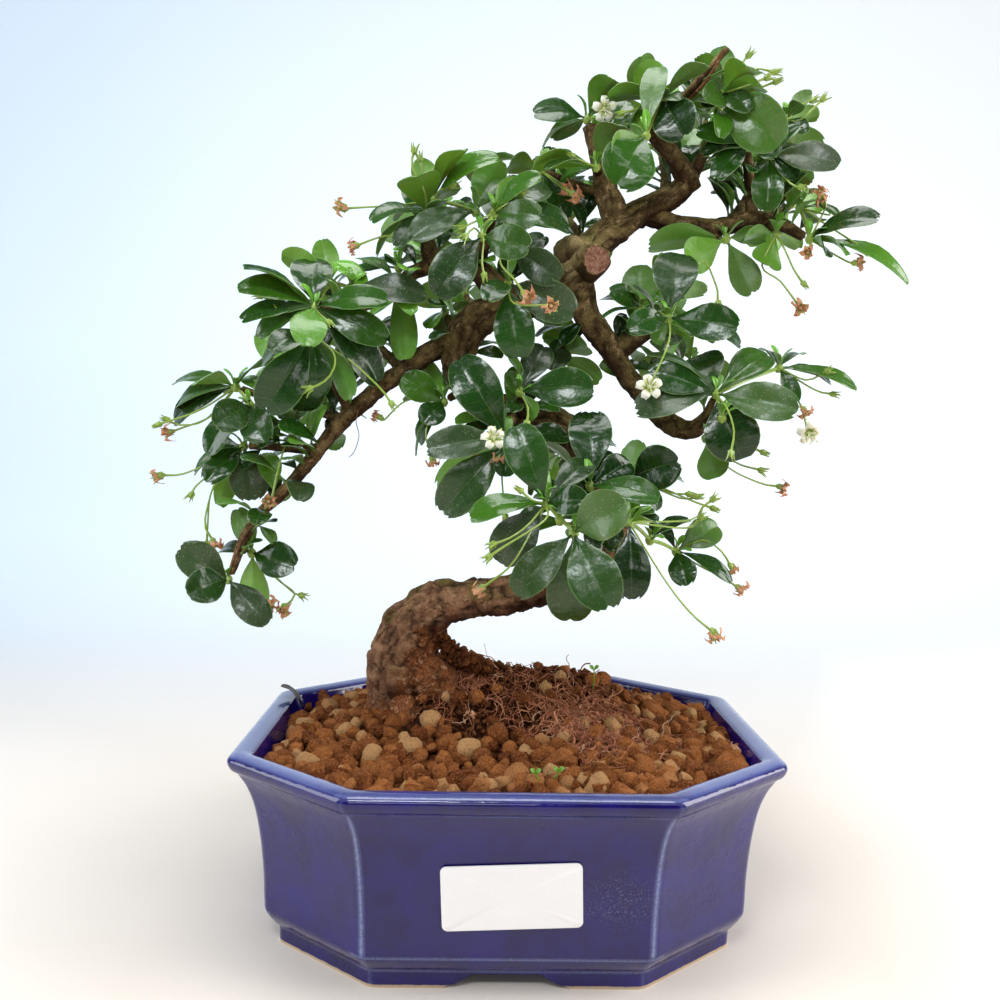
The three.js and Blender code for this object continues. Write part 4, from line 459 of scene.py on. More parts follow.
# Small leaves, written as the leaves above, set after all the others.
SMALL_LEAVES = {
  "shelf": [[0, 283, 309, 14, 0.6, 0.5]],
  "branch_left": [[0, 419, 254, -16, -0.6, 0.4], [0, 389, 257, -15, 0.4, 0.5]],
  "leaning_leader": [[0, 395, 216, -20, 0.3, 0.4], [2, 455, 202, -14, 0.5, 0.6],
    [2, 511, 177, -22, 0.3, 0.34]],
  "upper_centre": [[0, 516, 179, -16, -0.6, 0.5]],
  "centre_back": [[0, 570, 153, -16, -0.4, 0.5], [0, 552, 146, -13, 0.3, 0.5]],
  "leader_side": [[0, 545, 166, 22, 0.1, 0.3]],
  "stub_top": [[0, 553, 137, -18, -0.3, 0.5], [0, 614, 107, -16, -0.4, 0.5]],
  "crown_left": [[0, 643, 89, 12, 0.4, 0.5], [0, 680, 98, 12, 0.5, 0.5], [0, 628, 121, 18, -0.35, 0.5]],
  "crown_mid": [[0, 684, 100, -15, -0.5, 0.5], [0, 705, 106, 12, 0.4, 0.6], [0, 722, 133, 12, -0.7, 0.7]],
  "crown_right": [[1, 796, 178, 15, 0.5, 0.56]],
  "crown_far": [[0, 753, 92, 18, 0.3, 0.36], [0, 801, 101, 11, -0.8, 0.6]],
  "right_end": [[0, 828, 254, 14, -0.5, 0.7], [1, 838, 213, 18, 0.2, 0.4]],
  "middle_right": [[0, 655, 344, -14, -0.5, 0.5], [1, 602, 316, 16, 0.1, 0.3], [1, 601, 296, -18, 0.3, 0.4],
    [1, 660, 296, -14, 0.4, 0.5]],
  "right_low": [[1, 797, 400, 16, 0.5, 0.44], [1, 762, 348, -16, -0.3, 0.4],
    [1, 804, 352, -18, -0.2, 0.36]],
  "centre": [[0, 536, 419, 13, -0.6, 0.5]],
  "centre_low": [[0, 505, 476, 14, 0.4, 0.7]],
  "trunk_left": [[0, 413, 454, -24, -0.4, 0.26], [0, 404, 398, -17, -0.3, 0.5]],
  "trunk_left_up": [[0, 470, 305, -12, -0.5, 0.5]],
  "trunk_right": [[0, 545, 335, 12, 0.5, 0.5]],
  "front_mid": [[0, 625, 492, 13, -0.4, 0.4]],
  "right_mid_front": [[0, 661, 508, -14, 0.4, 0.5]],
  "front_right": [[0, 657, 523, 13, -0.4, 0.46], [1, 658, 520, -12, 0.3, 0.4],
    [2, 660, 524, -15, 0.3, 0.36], [1, 689, 517, -20, 0.2, 0.36]],
}

# More flower stalks, as the stalks above; the last number is 1 for a dried flower and 0 for a bud.
MORE_STALKS = {
  "low_left_side": [[0, [277, 578, -12], [294, 593, -13], [301, 595, -13], 0]],
  "side_left": [[0, [220, 466, -6], [196, 486, -8], [192, 494, -9], 0],
    [0, [220, 470, -8], [205, 520, -12], [214, 545, -14], 1]],
  "mid_left": [[0, [213, 415, -10], [182, 428, -8], [166, 433, -8], 1],
    [0, [205, 420, -9], [180, 425, -10], [168, 420, -11], 0], [1, [243, 401, -13], [239, 410, -14], 1],
    [0, [200, 410, -12], [160, 424, -12], 0]],
  "shelf_low": [[0, [333, 352, -26], [334, 368, -28], [325, 381, -29], [311, 388, -30], 0],
    [0, [334, 350, -24], [352, 362, -25], [380, 388, -26], [391, 403, -27], 0]],
  "shelf": [[0, [290, 311, -26], [278, 311, -29], 0], [0, [322, 316, -28], [329, 322, -31], 0],
    [0, [300, 300, -24], [272, 300, -28], [262, 296, -29], 0]],
  "leaning_leader": [[0, [424, 180, -20], [420, 160, -21], 0],
    [0, [405, 232, -16], [380, 237, -18], [352, 247, -18], 1],
    [0, [424, 190, -20], [412, 166, -22], [414, 152, -22], 0], [1, [440, 190, -16], [452, 186, -18], 0]],
  "upper_centre": [[0, [470, 224, -27], [462, 228, -28], 0],
    [2, [500, 262, -30], [515, 280, -32], [527, 297, -33], 1],
    [1, [484, 240, -28], [482, 262, -30], [484, 274, -30], 0], [1, [474, 228, -30], [466, 236, -31], 0],
    [0, [505, 205, -28], [520, 196, -30], 0]],
  "centre_back": [[0, [560, 186, -6], [576, 196, -8], 1], [0, [556, 180, -2], [566, 188, -4], 1]],
  "leader_side": [[0, [580, 160, -12], [573, 156, -13], 0]],
  "crown_left": [[0, [640, 108, -14], [622, 113, -16], 0]],
  "crown_mid": [[1, [745, 86, -22], [766, 78, -23], 0], [1, [752, 70, -20], [774, 72, -21], 0],
    [0, [735, 100, -14], [760, 88, -18], [775, 82, -20], 0],
    [0, [730, 92, -10], [742, 64, -14], [748, 56, -15], 0]],
  "crown_right": [[1, [790, 183, -18], [800, 187, -19], 0]],
  "crown_far": [[0, [802, 104, 2], [812, 101, 2], 0], [0, [800, 120, 2], [822, 100, 0], 0]],
  "right_end": [[0, [830, 252, -13], [848, 262, -14], [860, 263, -15], 1],
    [0, [810, 246, -14], [808, 252, -16], 1], [0, [826, 206, -12], [820, 192, -14], 1],
    [1, [830, 215, -10], [822, 200, -12], 1], [1, [850, 240, -12], [862, 250, -13], 0]],
  "under_branch_right": [[0, [785, 250, -10], [794, 270, -11], [803, 283, -12], 0]],
  "middle_right": [[0, [700, 262, -8], [716, 285, -9], [718, 302, -10], 0]],
  "right_low": [[0, [728, 410, -33], [734, 432, -35], [731, 452, -36], 0],
    [3, [728, 467, -9], [760, 483, -8], [784, 488, -8], 1], [1, [815, 390, -6], [832, 394, -6], 0],
    [1, [800, 404, -8], [806, 413, -9], 1], [3, [735, 441, -12], [762, 452, -14], 0],
    [1, [806, 380, -8], [826, 372, -10], 0], [3, [735, 462, -14], [760, 470, -16], 0]],
  "centre": [[0, [528, 408, -27], [527, 422, -29], 0]],
  "centre_low": [[0, [502, 470, -26], [505, 515, -28], 0], [0, [500, 452, -26], [497, 461, -28], 1],
    [0, [492, 440, -26], [472, 447, -28], 1]],
  "trunk_left": [[0, [408, 400, -6], [384, 420, -6], [376, 416, -6], 1],
    [0, [426, 430, -7], [433, 463, -8], 1]],
  "front_high": [[0, [528, 525, -56], [510, 538, -58], [494, 544, -59], 0],
    [0, [532, 500, -55], [521, 491, -56], 0], [0, [545, 520, -57], [505, 546, -60], [490, 556, -61], 0],
    [0, [515, 560, -52], [493, 580, -50], [478, 591, -48], 1]],
  "right_mid_front": [[0, [665, 489, -27], [690, 500, -28], [712, 508, -29], 0],
    [0, [680, 498, -26], [696, 497, -27], 0], [0, [668, 492, -27], [688, 494, -28], 0]],
  "front_right": [[2, [703, 540, -11], [722, 552, -12], [733, 570, -12], 1],
    [2, [700, 566, -12], [722, 577, -13], [742, 590, -14], 1],
    [0, [690, 520, -30], [702, 508, -32], [712, 500, -33], 0], [0, [686, 528, -30], [700, 518, -32], 0]],
  "low_left": [[0, [250, 598, -18], [272, 604, -19], 1]],
}

print(f"{len(LIMBS)} limbs, {len(TWIGS)} twigs and {len(SHOOTS)} shoots are planned")

# %% [markdown]
# ## Where each leaf sits
#
# On the tree a leaf joins its twig at a bud and turns its face to the light, and no two leaves
# grow through each other. The same rule that set the faceted leaves is used here: a leaf's tip
# lies on the sight line through its place in the view, a leaf's length from its bud, and if it
# would touch wood or another leaf it is pushed along that line or rolled about its own midrib.
# Working the tips out by hand would be quicker to write but would leave crossings.

# %% The blade's frame
BLADE_ARCH = 0.09
BLADE_FOLD = 0.22
BLADE_ROOT = 1.4
BLADE_CLEARANCE = 1.35
KNOB_RADIUS = 2.0
STEM_RADIUS = 0.85
STALK_CLEARANCE = 0.9
WOOD_CLEARANCE = 0.95
GAP = 0.35
# What a gap is called where nothing is near.
FAR_APART = 99.0
CALYX_LENGTH = 2.1
BLOOM_SEAT = CALYX_LENGTH + GAP + 0.5
FAN = np.array([[0, 1, 5], [1, 6, 5], [1, 2, 6], [2, 3, 6], [3, 4, 6], [4, 5, 6]])
EDGES = np.array([[k, (k + 1) % 6] for k in range(6)] + [[k, 6] for k in range(6)])


def place(entry):
    """The point of a plan entry [view x, view y, depth, ...]."""
    return at(entry[0], entry[1], entry[2])


def tip_point(bud, px, py, length, shift):
    """Where the sight line leaves a sphere of the leaf's length about the bud; a leaf of
    negative length takes the far side, and shift moves the tip along the line."""
    direction = unit(sight(px, py))
    reach = bud - EYE
    middle = direction @ reach
    rest = length * length - (reach @ reach - middle * middle)
    step = math.sqrt(rest) if rest > 0 else 0.0
    return EYE + direction * (middle - math.copysign(1, length) * step + shift)


def blade_frame(bud, tip, facing, roll):
    """The blade's axes: along to the tip, and a face turned between the eye and the sky."""
    length = float(np.linalg.norm(tip - bud))
    along = (tip - bud) / length
    face = unit(EYE - bud) * facing + unit([0, -0.25, 1]) * (1 - abs(facing))
    face = face - along * (face @ along)
    if np.linalg.norm(face) < 0.12:
        face = np.array([0.2, -1.0, 0.1])
        face = face - along * (face @ along)
    face = turned(unit(face), along, math.radians(roll))
    return {"bud": bud, "along": along, "face": face, "across": np.cross(along, face), "length": length}


def blade_outline(leaf, width):
    """Seven points of the blade: root, widest, tooth, notch, tooth, widest and midrib."""
    length = leaf["length"]
    spots = np.array([[0.67, 1, 1], [0.97, 0.48, 1], [0.93, 0, 0],
                      [0.97, 0.48, -1], [0.67, 1, -1], [0.73, 0, 0]])
    s, share, side = spots.T
    reach = share * width / 2
    points = (leaf["bud"] + np.outer(s * length, leaf["along"]) + np.outer(reach * side, leaf["across"])
              + np.outer(BLADE_ARCH * length * 4 * s * (1 - s) + BLADE_FOLD * reach, leaf["face"]))
    return np.vstack([leaf["bud"] + leaf["along"] * BLADE_ROOT, points])


# %% [markdown]
# Two tests keep leaves apart: how near a point lies to a triangle, and whether an edge goes
# through one. Both are written for whole stacks of points and triangles at once, because numpy
# compares thousands of pairs in the time that a loop would take for one.

# %% How far blades keep apart
def point_to_triangle(p, a, b, c):
    """The distance from p to triangle abc: to its plane where p's foot falls inside,
    otherwise to the nearest of its three sides."""
    def side(p, a, b):
        run = b - a
        t = np.clip(np.sum((p - a) * run, -1) / np.maximum(np.sum(run * run, -1), 1e-12), 0, 1)
        return np.linalg.norm(p - a - run * t[..., None], axis=-1)
    normal = np.cross(b - a, c - a)
    normal = normal / np.maximum(np.linalg.norm(normal, axis=-1, keepdims=True), 1e-12)
    height = np.sum((p - a) * normal, -1)
    foot = p - normal * height[..., None]
    inside = np.ones(height.shape, bool)
    for u, v in ((a, b), (b, c), (c, a)):
        inside &= np.sum(np.cross(v - u, foot - u) * normal, -1) >= 0
    near = np.minimum(np.minimum(side(p, a, b), side(p, b, c)), side(p, c, a))
    return np.where(inside, np.abs(height), near)


def crosses(p, q, a, b, c):
    """True where the segment pq goes through triangle abc: the plane is met between p and q,
    at a place whose shares of the triangle's two sides are positive and add up to one at most."""
    way = q - p
    e1, e2 = b - a, c - a
    h = np.cross(way, e2)
    det = np.sum(e1 * h, -1)
    safe = np.where(np.abs(det) < 1e-12, 1.0, det)
    s = p - a
    u = np.sum(s * h, -1) / safe
    k = np.cross(s, e1)
    v = np.sum(way * k, -1) / safe
    t = np.sum(e2 * k, -1) / safe
    return (np.abs(det) > 1e-12) & (u >= 0) & (v >= 0) & (u + v <= 1) & (t >= 0) & (t <= 1)


def blade_shadow(points):
    """What stands for a blade in the tests: its outline, its probe points and its reach."""
    edge = points[EDGES].mean(1)
    centre = points[6]
    return {"points": points, "probe": np.vstack([points[1:], edge]), "centre": centre,
            "reach": float(np.linalg.norm(points - centre, axis=1).max())}


def rod_gap(blade, rods):
    """The least distance from a blade to the rods (a, b, radius), or -1 if one pierces it."""
    a, b, radius = rods
    middle = (a + b) / 2
    reach = np.linalg.norm(b - a, axis=1) / 2 + radius
    near = np.linalg.norm(middle - blade["centre"], axis=1) <= blade["reach"] + reach + 3
    if not near.any():
        return FAR_APART
    a, b, radius = a[near], b[near], radius[near]
    run = b - a
    p = blade["probe"][:, None]
    t = np.clip(np.sum((p - a) * run, -1) / np.sum(run * run, -1), 0, 1)
    gap = (np.linalg.norm(p - a - run * t[..., None], axis=-1) - radius).min()
    corners = blade["points"][FAN]
    hit = crosses(a[:, None], b[:, None], corners[:, 0], corners[:, 1], corners[:, 2])
    return -1.0 if hit.any() else float(min(gap, FAR_APART))


def blade_gap(one, many, crossing_only):
    """The least distance between one blade and many, or -1 where an edge crosses a blade."""
    centres = np.array([m["centre"] for m in many])
    reaches = np.array([m["reach"] for m in many])
    near = np.linalg.norm(centres - one["centre"], axis=1) <= one["reach"] + reaches + 3
    if not near.any():
        return FAR_APART
    close = [m for m, is_near in zip(many, near) if is_near]
    points = np.array([m["points"] for m in close])
    probes = np.array([m["probe"] for m in close])
    mine, theirs = one["points"][FAN], points[:, FAN]
    ends, their_ends = one["points"][EDGES], points[:, EDGES]
    hit = crosses(ends[None, :, None, 0], ends[None, :, None, 1],
                  theirs[:, None, :, 0], theirs[:, None, :, 1], theirs[:, None, :, 2]).any()
    hit |= crosses(their_ends[:, :, None, 0], their_ends[:, :, None, 1],
                   mine[None, None, :, 0], mine[None, None, :, 1], mine[None, None, :, 2]).any()
    if hit:
        return -1.0
    if crossing_only:
        return FAR_APART
    out = point_to_triangle(one["probe"][None, :, None], theirs[:, None, :, 0],
                            theirs[:, None, :, 1], theirs[:, None, :, 2]).min()
    back = point_to_triangle(probes[:, :, None], mine[None, None, :, 0],
                             mine[None, None, :, 1], mine[None, None, :, 2]).min()
    return float(min(out, back, FAR_APART))


# %% Wood lines, stalks and shoots
def wood_lines():
    """Every limb and twig as a middle line with its thickness; a twig stops short of its bud."""
    made = []
    for name, entries in list(LIMBS.items()) + list(TWIGS.items()):
        path = np.array([place(e) for e in entries])
        if name in TWIGS and name in SHOOTS:
            bud = place(SHOOTS[name]["hubs"][0])
            path[-1] = bud + unit(path[-2] - bud) * (KNOB_RADIUS + GAP)
        made.append({"name": name, "path": path, "thickness": np.array([e[3] for e in entries], float)})
    return made


def rod_arrays(rods):
    """The rods' starts, ends and radii, each as one array."""
    return tuple(np.array([rod[k] for rod in rods]) for k in range(3))


def bloom_facing(bloom):
    """The way a bloom opens."""
    return unit(bloom[2:5])


WOOD = wood_lines()
rods_made = []
for wood_line in WOOD:
    for i in range(len(wood_line["path"]) - 1):
        radius = max(wood_line["thickness"][i], wood_line["thickness"][i + 1]) / 2
        rods_made.append((wood_line["path"][i], wood_line["path"][i + 1], radius, "wood"))
TREE = {}
for order, (name, plan) in enumerate(SHOOTS.items()):
    hubs = [place(h) for h in plan["hubs"]]
    stems = [(hubs[i], hubs[h[3] if len(h) > 3 else i - 1]) for i, h in enumerate(plan["hubs"]) if i > 0]
    blooms = [b for b in BLOOMS if b[1] == name]
    stalks = []
    for stalk, bloom in zip(plan.get("stalks", []), blooms):
        path = [hubs[stalk[0]]] + [place(p) for p in stalk[1:]]
        path[-1] = path[-1] - bloom_facing(bloom) * BLOOM_SEAT
        stalks.append(np.array(path))
    for a, b in stems:
        rods_made.append((a, b, STEM_RADIUS, name))
    for path in stalks:
        rods_made += [(path[i], path[i + 1], STALK_CLEARANCE, name) for i in range(len(path) - 1)]
    for hub in hubs:
        rods_made.append((hub, hub + [0, 0, 0.1], KNOB_RADIUS, name))
    TREE[name] = {"name": name, "order": order, "hubs": hubs, "stems": stems, "stalks": stalks,
                  "blooms": blooms, "blades": []}
RODS = {name: rod_arrays([r for r in rods_made if r[3] != name]) for name in TREE}
print(f"{len(WOOD)} wood lines, {len(rods_made)} rods to keep clear of")

# %% Setting the leaves
DEPTH_SHIFTS = [0, -3, 3, -6, 6, -10, 10, -14, 14, -18, 18, -23, 23]
ROLLS = [0, 22, -22]
TURNED_TRIES = 18
GOLDEN_ANGLE = 137.508
SET_BLADES = []
LEFT_OUT = []


def try_out(shoot, choices):
    """Keeps the first choice that is clear of wood, of other shoots and of its own leaves;
    failing that, the first that only crosses a leaf of its own shoot."""
    best = None
    others = [s for owner, s in SET_BLADES if owner != shoot["name"]]
    own_shadows = [s for owner, s in SET_BLADES if owner == shoot["name"]]
    for leaf, width in choices:
        shadow = blade_shadow(blade_outline(leaf, width))
        if rod_gap(shadow, RODS[shoot["name"]]) < WOOD_CLEARANCE:
            continue
        if others and blade_gap(shadow, others, False) < BLADE_CLEARANCE:
            continue
        own = blade_gap(shadow, own_shadows, True) if own_shadows else FAR_APART
        if best is None or own > best[0]:
            best = (own, shadow, leaf, width)
        if own >= 0:
            break
    if best is None:
        LEFT_OUT.append(shoot["name"])
        return
    SET_BLADES.append((shoot["name"], best[1]))
    shoot["blades"].append({**best[2], "width": best[3],
                            "seed": shoot["order"] * 17 + len(shoot["blades"])})


def read_leaves(table):
    """Sets the leaves that the plan lists one by one."""
    for name, entries in table.items():
        shoot = TREE[name]
        for hub, px, py, length, facing, share in entries:
            bud = shoot["hubs"][hub]
            choices = [(blade_frame(bud, tip_point(bud, px, py, length, shift), facing, roll),
                        share * abs(length)) for shift in DEPTH_SHIFTS for roll in ROLLS]
            try_out(shoot, choices)


def turned_leaves():
    """Sets leaves round an axis, each a golden angle on from the last and leaning out from it."""
    for name, shoot in TREE.items():
        for t, (hub, count, ax, ay, az) in enumerate(SHOOTS[name].get("turns", [])):
            axis = unit([ax, ay, az])
            first = np.array([0.3, 0.2, -1.0])
            first = unit(first - axis * (first @ axis))
            for i in range(count):
                seed = shoot["order"] * 31 + t * 7 + i
                choices = []
                for k in range(TURNED_TRIES):
                    turn = GOLDEN_ANGLE * i + 40 * draw(seed, 1) + 19 * k
                    lean = math.radians(46 + 34 * draw(seed, 2) - 3 * (k % 5))
                    length = 19 + 8 * draw(seed, 3) - 0.35 * k
                    out = turned(first, axis, math.radians(turn))
                    along = axis * math.cos(lean) + out * math.sin(lean)
                    bud = shoot["hubs"][hub]
                    leaf = blade_frame(bud, bud + along * length, 0, 0)
                    leaf["face"] = unit(axis - leaf["along"] * (axis @ leaf["along"]))
                    leaf["across"] = np.cross(leaf["along"], leaf["face"])
                    choices.append((leaf, length * (0.5 + 0.12 * draw(seed, 4))))
                try_out(shoot, choices)


read_leaves({name: plan.get("leaves", []) for name, plan in SHOOTS.items()})
turned_leaves()
planned = len(SET_BLADES)
read_leaves(SMALL_LEAVES)
print(f"{planned} leaves as in the frame, {len(SET_BLADES) - planned} small ones, left out: {LEFT_OUT}")


# %% [markdown]
# ## Leaves that fill the crown
#
# Between the large leaves grow many more, on short spurs along the twigs. They are set by the
# plant's own rule: a spur every few millimetres, each leaf a golden angle on from the last and
# lifted to the light. One is kept only where it touches nothing and where the view shows
# foliage, so the gaps that let the light through stay open.

# %% Spurs along the twigs
SPUR_STEP = 3.2
SPUR_TRIES = 9
SPUR_THICKEST = 6.5
SPUR_LENGTHS = (11.0, 20.0)
SPUR_CLEARANCE = 0.55
SPUR_WOOD_CLEARANCE = 0.35
# Where the view shows foliage: middle x, middle y, half width, half height.
FOLIAGE = np.array([
    [722, 128, 102, 66], [800, 168, 45, 42], [612, 150, 62, 58], [555, 165, 45, 45],
    [470, 222, 82, 56], [316, 308, 82, 62], [405, 318, 62, 58], [238, 428, 66, 62],
    [505, 365, 82, 62], [690, 300, 62, 48], [705, 398, 62, 55], [585, 510, 92, 76],
    [470, 455, 52, 62], [365, 410, 52, 52], [850, 240, 62, 40], [792, 372, 56, 46],
    [640, 350, 42, 42], [690, 515, 42, 46], [262, 505, 46, 42], [560, 245, 62, 40]])


def seen(points):
    """Where points lie in the front view: their shares to the right and up over their distance."""
    reach = np.atleast_2d(points) - EYE
    far = reach @ FORWARD
    return np.column_stack([VIEW_MIDDLE + FOCAL * (reach @ RIGHT) / far,
                            VIEW_MIDDLE - FOCAL * (reach @ UP) / far])


def in_foliage(points):
    """True where every point falls inside one of the foliage ovals."""
    spots = seen(points)
    off = (spots[:, None] - FOLIAGE[:, :2]) / FOLIAGE[:, 2:]
    return bool(((off ** 2).sum(-1) < 1).any(1).all())


def spur_spots():
    """Places along the thin wood, with the run of the wood there and its radius."""
    made = []
    for wood_line in WOOD:
        path, thickness = wood_line["path"], wood_line["thickness"]
        run = np.linalg.norm(np.diff(path, axis=0), axis=1)
        total = np.concatenate([[0], np.cumsum(run)])
        steps = np.arange(SPUR_STEP, total[-1] - 1, SPUR_STEP)
        spots = np.column_stack([np.interp(steps, total, path[:, k]) for k in range(3)])
        thick = np.interp(steps, total, thickness)
        which = np.clip(np.searchsorted(total, steps) - 1, 0, len(run) - 1)
        along = np.diff(path, axis=0)[which] / run[which][:, None]
        made += [(p, t, w / 2) for p, t, w in zip(spots, along, thick) if w < SPUR_THICKEST]
    return made


ALL_RODS = rod_arrays(rods_made)
FILL = []
shadows = [shadow for _, shadow in SET_BLADES]
for number, (spot, run, radius) in enumerate(spur_spots()):
    flat = unit(np.cross(run, [0.1, 0.2, 1.0]))
    for k in range(SPUR_TRIES):
        out = turned(flat, run, math.radians(GOLDEN_ANGLE * number + 40 * k))
        along = unit(out + 0.5 * run * math.copysign(1, draw(number, 2) - 0.3) + [0, 0, 0.45])
        low, high = SPUR_LENGTHS
        length = low + (high - low) * draw(number, 5 + k)
        bud = spot + out * radius * 0.7
        leaf = blade_frame(bud, bud + along * length, 0.25, 50 * (draw(number, 30 + k) - 0.5))
        width = length * (0.46 + 0.12 * draw(number, 4))
        if not in_foliage(np.array([bud + along * length, bud + along * length * 0.6])):
            continue
        shadow = blade_shadow(blade_outline(leaf, width))
        if rod_gap(shadow, ALL_RODS) < SPUR_WOOD_CLEARANCE:
            continue
        if blade_gap(shadow, shadows, False) < SPUR_CLEARANCE:
            continue
        shadows.append(shadow)
        FILL.append({**leaf, "width": width, "seed": 3000 + number})
        break
print(f"{len(FILL)} leaves on {len(spur_spots())} spurs")

# %% [markdown]
# ## Roughness in space
#
# Bark, soil and leaf margins are never smooth. Value noise gives each a gentle, repeatable
# unevenness: numbers are drawn at the corners of a lattice and blended smoothly in between.

# %% Value noise
def noise(points, size, seed=0):
    """A smooth number from -1 to 1 at each point: draws on a lattice of `size` mm, blended by
    the smooth step of where the point lies in its cell."""
    p = np.asarray(points, float) / size + 97.3
    cell = np.floor(p)
    f = p - cell
    f = f * f * (3 - 2 * f)
    total = 0.0
    for dx in (0, 1):
        for dy in (0, 1):
            for dz in (0, 1):
                corner = cell + [dx, dy, dz]
                value = draw(corner[..., 0] * 1.7 + corner[..., 1] * 7.31 + seed,
                             corner[..., 2] * 3.17 + corner[..., 1] * 0.71 + corner[..., 0] * 5.3)
                weight = ((f[..., 0] if dx else 1 - f[..., 0]) * (f[..., 1] if dy else 1 - f[..., 1])
                          * (f[..., 2] if dz else 1 - f[..., 2]))
                total = total + value * weight
    return 2 * total - 1


# %% [markdown]
# ## The leaf
#
# A Fukien tea leaf is a small spoon: narrow at its stalk, widest at two thirds, with two or
# three teeth at its rounded end. It folds a little along its midrib and arches towards the tip.
# The blade is a grid with one coordinate across and one along, so its outline, fold, rib and
# teeth are each one formula. A flat picture of a leaf would be lighter but has no edge or back.

# %% The blade's grid
ACROSS = np.array([-1, -0.93, -0.7, -0.42, -0.16, 0, 0.16, 0.42, 0.7, 0.93, 1])
ALONG = np.array([0, 0.05, 0.12, 0.22, 0.34, 0.47, 0.6, 0.71, 0.81, 0.89, 0.95, 0.985, 1])
ACROSS_SMALL = np.array([-1, -0.7, -0.3, 0, 0.3, 0.7, 1])
ALONG_SMALL = np.array([0, 0.08, 0.2, 0.38, 0.56, 0.74, 0.9, 1])
# Leaves shorter than this have the smaller grid.
SMALL_LEAF = 10
PETIOLE_HALF = 0.5
BLADE_SLIM = 0.96
BLADE_HALF_THICKNESS = 0.2


def thin_shell(middle, normal, thick, uv, **fields):
    """A closed shell about a grid of points: the grid moved out and in along the normal by
    half the thickness, and a rim of faces that joins the two round the border."""
    rows, columns = middle.shape[:2]
    count = rows * columns
    up = (middle + normal * thick[0][..., None]).reshape(-1, 3)
    down = (middle - normal * thick[1][..., None]).reshape(-1, 3)
    faces = grid_faces(rows, columns)
    ring = np.concatenate([np.arange(columns), np.arange(1, rows) * columns + columns - 1,
                           (rows - 1) * columns + np.arange(columns - 2, -1, -1),
                           np.arange(rows - 2, 0, -1) * columns])
    after = np.roll(ring, -1)
    rim = np.stack([ring, ring + count, after + count, after], axis=-1)
    return part(np.vstack([up, down]), np.vstack([faces, faces[:, ::-1] + count, rim]),
                uv=np.vstack([uv, uv]), under=np.repeat([0.0, 1.0], count), **fields)


def half_width(s):
    """The blade's half width, as a share of its widest: a wedge up to two thirds, then a round."""
    wedge = np.clip((s - 0.05) / 0.6, 0, 1)
    rise = np.sin(wedge * math.pi / 2) ** 1.35
    fall = np.sqrt(np.clip(1 - (np.clip(s - 0.65, 0, None) / 0.372) ** 2.3, 0, 1))
    return rise * fall


def leaf_surface(leaf):
    """One leaf as a closed thin shell. Across the blade a point rises by the fold, which is
    rounded at the midrib, bends down near the margin and ripples; along it, it follows the arch.
    The end is cut by the teeth."""
    seed, length, width = leaf["seed"], leaf["length"], leaf["width"] * BLADE_SLIM
    small = length < SMALL_LEAF
    u, t = np.meshgrid(ACROSS_SMALL if small else ACROSS, ALONG_SMALL if small else ALONG)
    notch = 0.05 * draw(seed, 11) ** 2
    side_notch = 0.05 * draw(seed, 12) ** 2
    lop = 0.02 * (draw(seed, 10) - 0.5)
    end = (1 - notch * np.exp(-(u / 0.2) ** 2) + lop * u
           - side_notch * np.exp(-((np.abs(u) - 0.75) / 0.14) ** 2))
    s = t * end
    half = half_width(s) * width / 2
    half = np.maximum(half, PETIOLE_HALF * (1 - 0.4 * np.clip(s / 0.15, 0, 1)) * min(1, length / 14))
    lean = 0.06 * width * (draw(seed, 13) - 0.5) * 4 * s * (1 - s)
    x = u * half + lean
    ripple = 0.03 * width * np.sin(s * (8 + 4 * draw(seed, 14)) + 6.28 * draw(seed, 15) + 1.5 * np.sign(u))
    fold = BLADE_FOLD * (0.6 + 0.5 * draw(seed, 16))
    bent = np.sqrt(u * u + 0.03) - 0.173 - 0.35 * np.abs(u) ** 3
    height = (BLADE_ARCH * length * 4 * s * (1 - s) + 1.6 * fold * bent * half + ripple * u * u
              - (0.05 + 0.07 * draw(seed, 17)) * length * np.clip(s - 0.55, 0, 1) ** 2 * 4)
    rib = np.exp(-(u / 0.07) ** 2)
    stalk = np.clip(1 - s / 0.12, 0, 1)
    thick = BLADE_HALF_THICKNESS * (1 - 0.5 * np.abs(u) ** 4) + 0.3 * stalk
    vein = np.sin((s * 8.5 - np.abs(u) * 0.62) * 2 * math.pi)
    quilt = 0.05 * vein * np.abs(u) * (1 - np.abs(u)) * 4 * np.clip(s * 3, 0, 1)
    blister = 0.017 * length * noise(np.stack([u * 2.2, s * 4.5, np.full_like(u, seed)], -1), 1.0, 5)
    height = height + quilt + blister * np.clip(s * 4, 0, 1)
    middle = (leaf["bud"] + (s * length)[..., None] * leaf["along"] + x[..., None] * leaf["across"]
              + height[..., None] * leaf["face"])
    above = thick - 0.1 * rib * (1 - stalk)
    below = thick + 0.3 * rib * (1 - 0.8 * s)
    uv = np.stack([u.ravel() * 0.5 + 0.5, s.ravel()], axis=-1)
    # Some leaves are greyed: dust, and a painted sheen of grey reflection.
    return thin_shell(middle, leaf["face"], (above, below), uv, tint=float(draw(seed, 18)),
                      young=leaf.get("young", 0.0), dust=float(draw(seed, 19)) ** 2)


sample = leaf_surface(TREE["low_left"]["blades"][0])
print(f"a leaf has {triangles(sample)} triangles")

# %% [markdown]
# ## Rods that bend: stalks, stems, roots and limbs
#
# Everything long and round is a ring of points carried along a path. The path is made smooth
# first, because a plan entry is a corner and a branch has none.

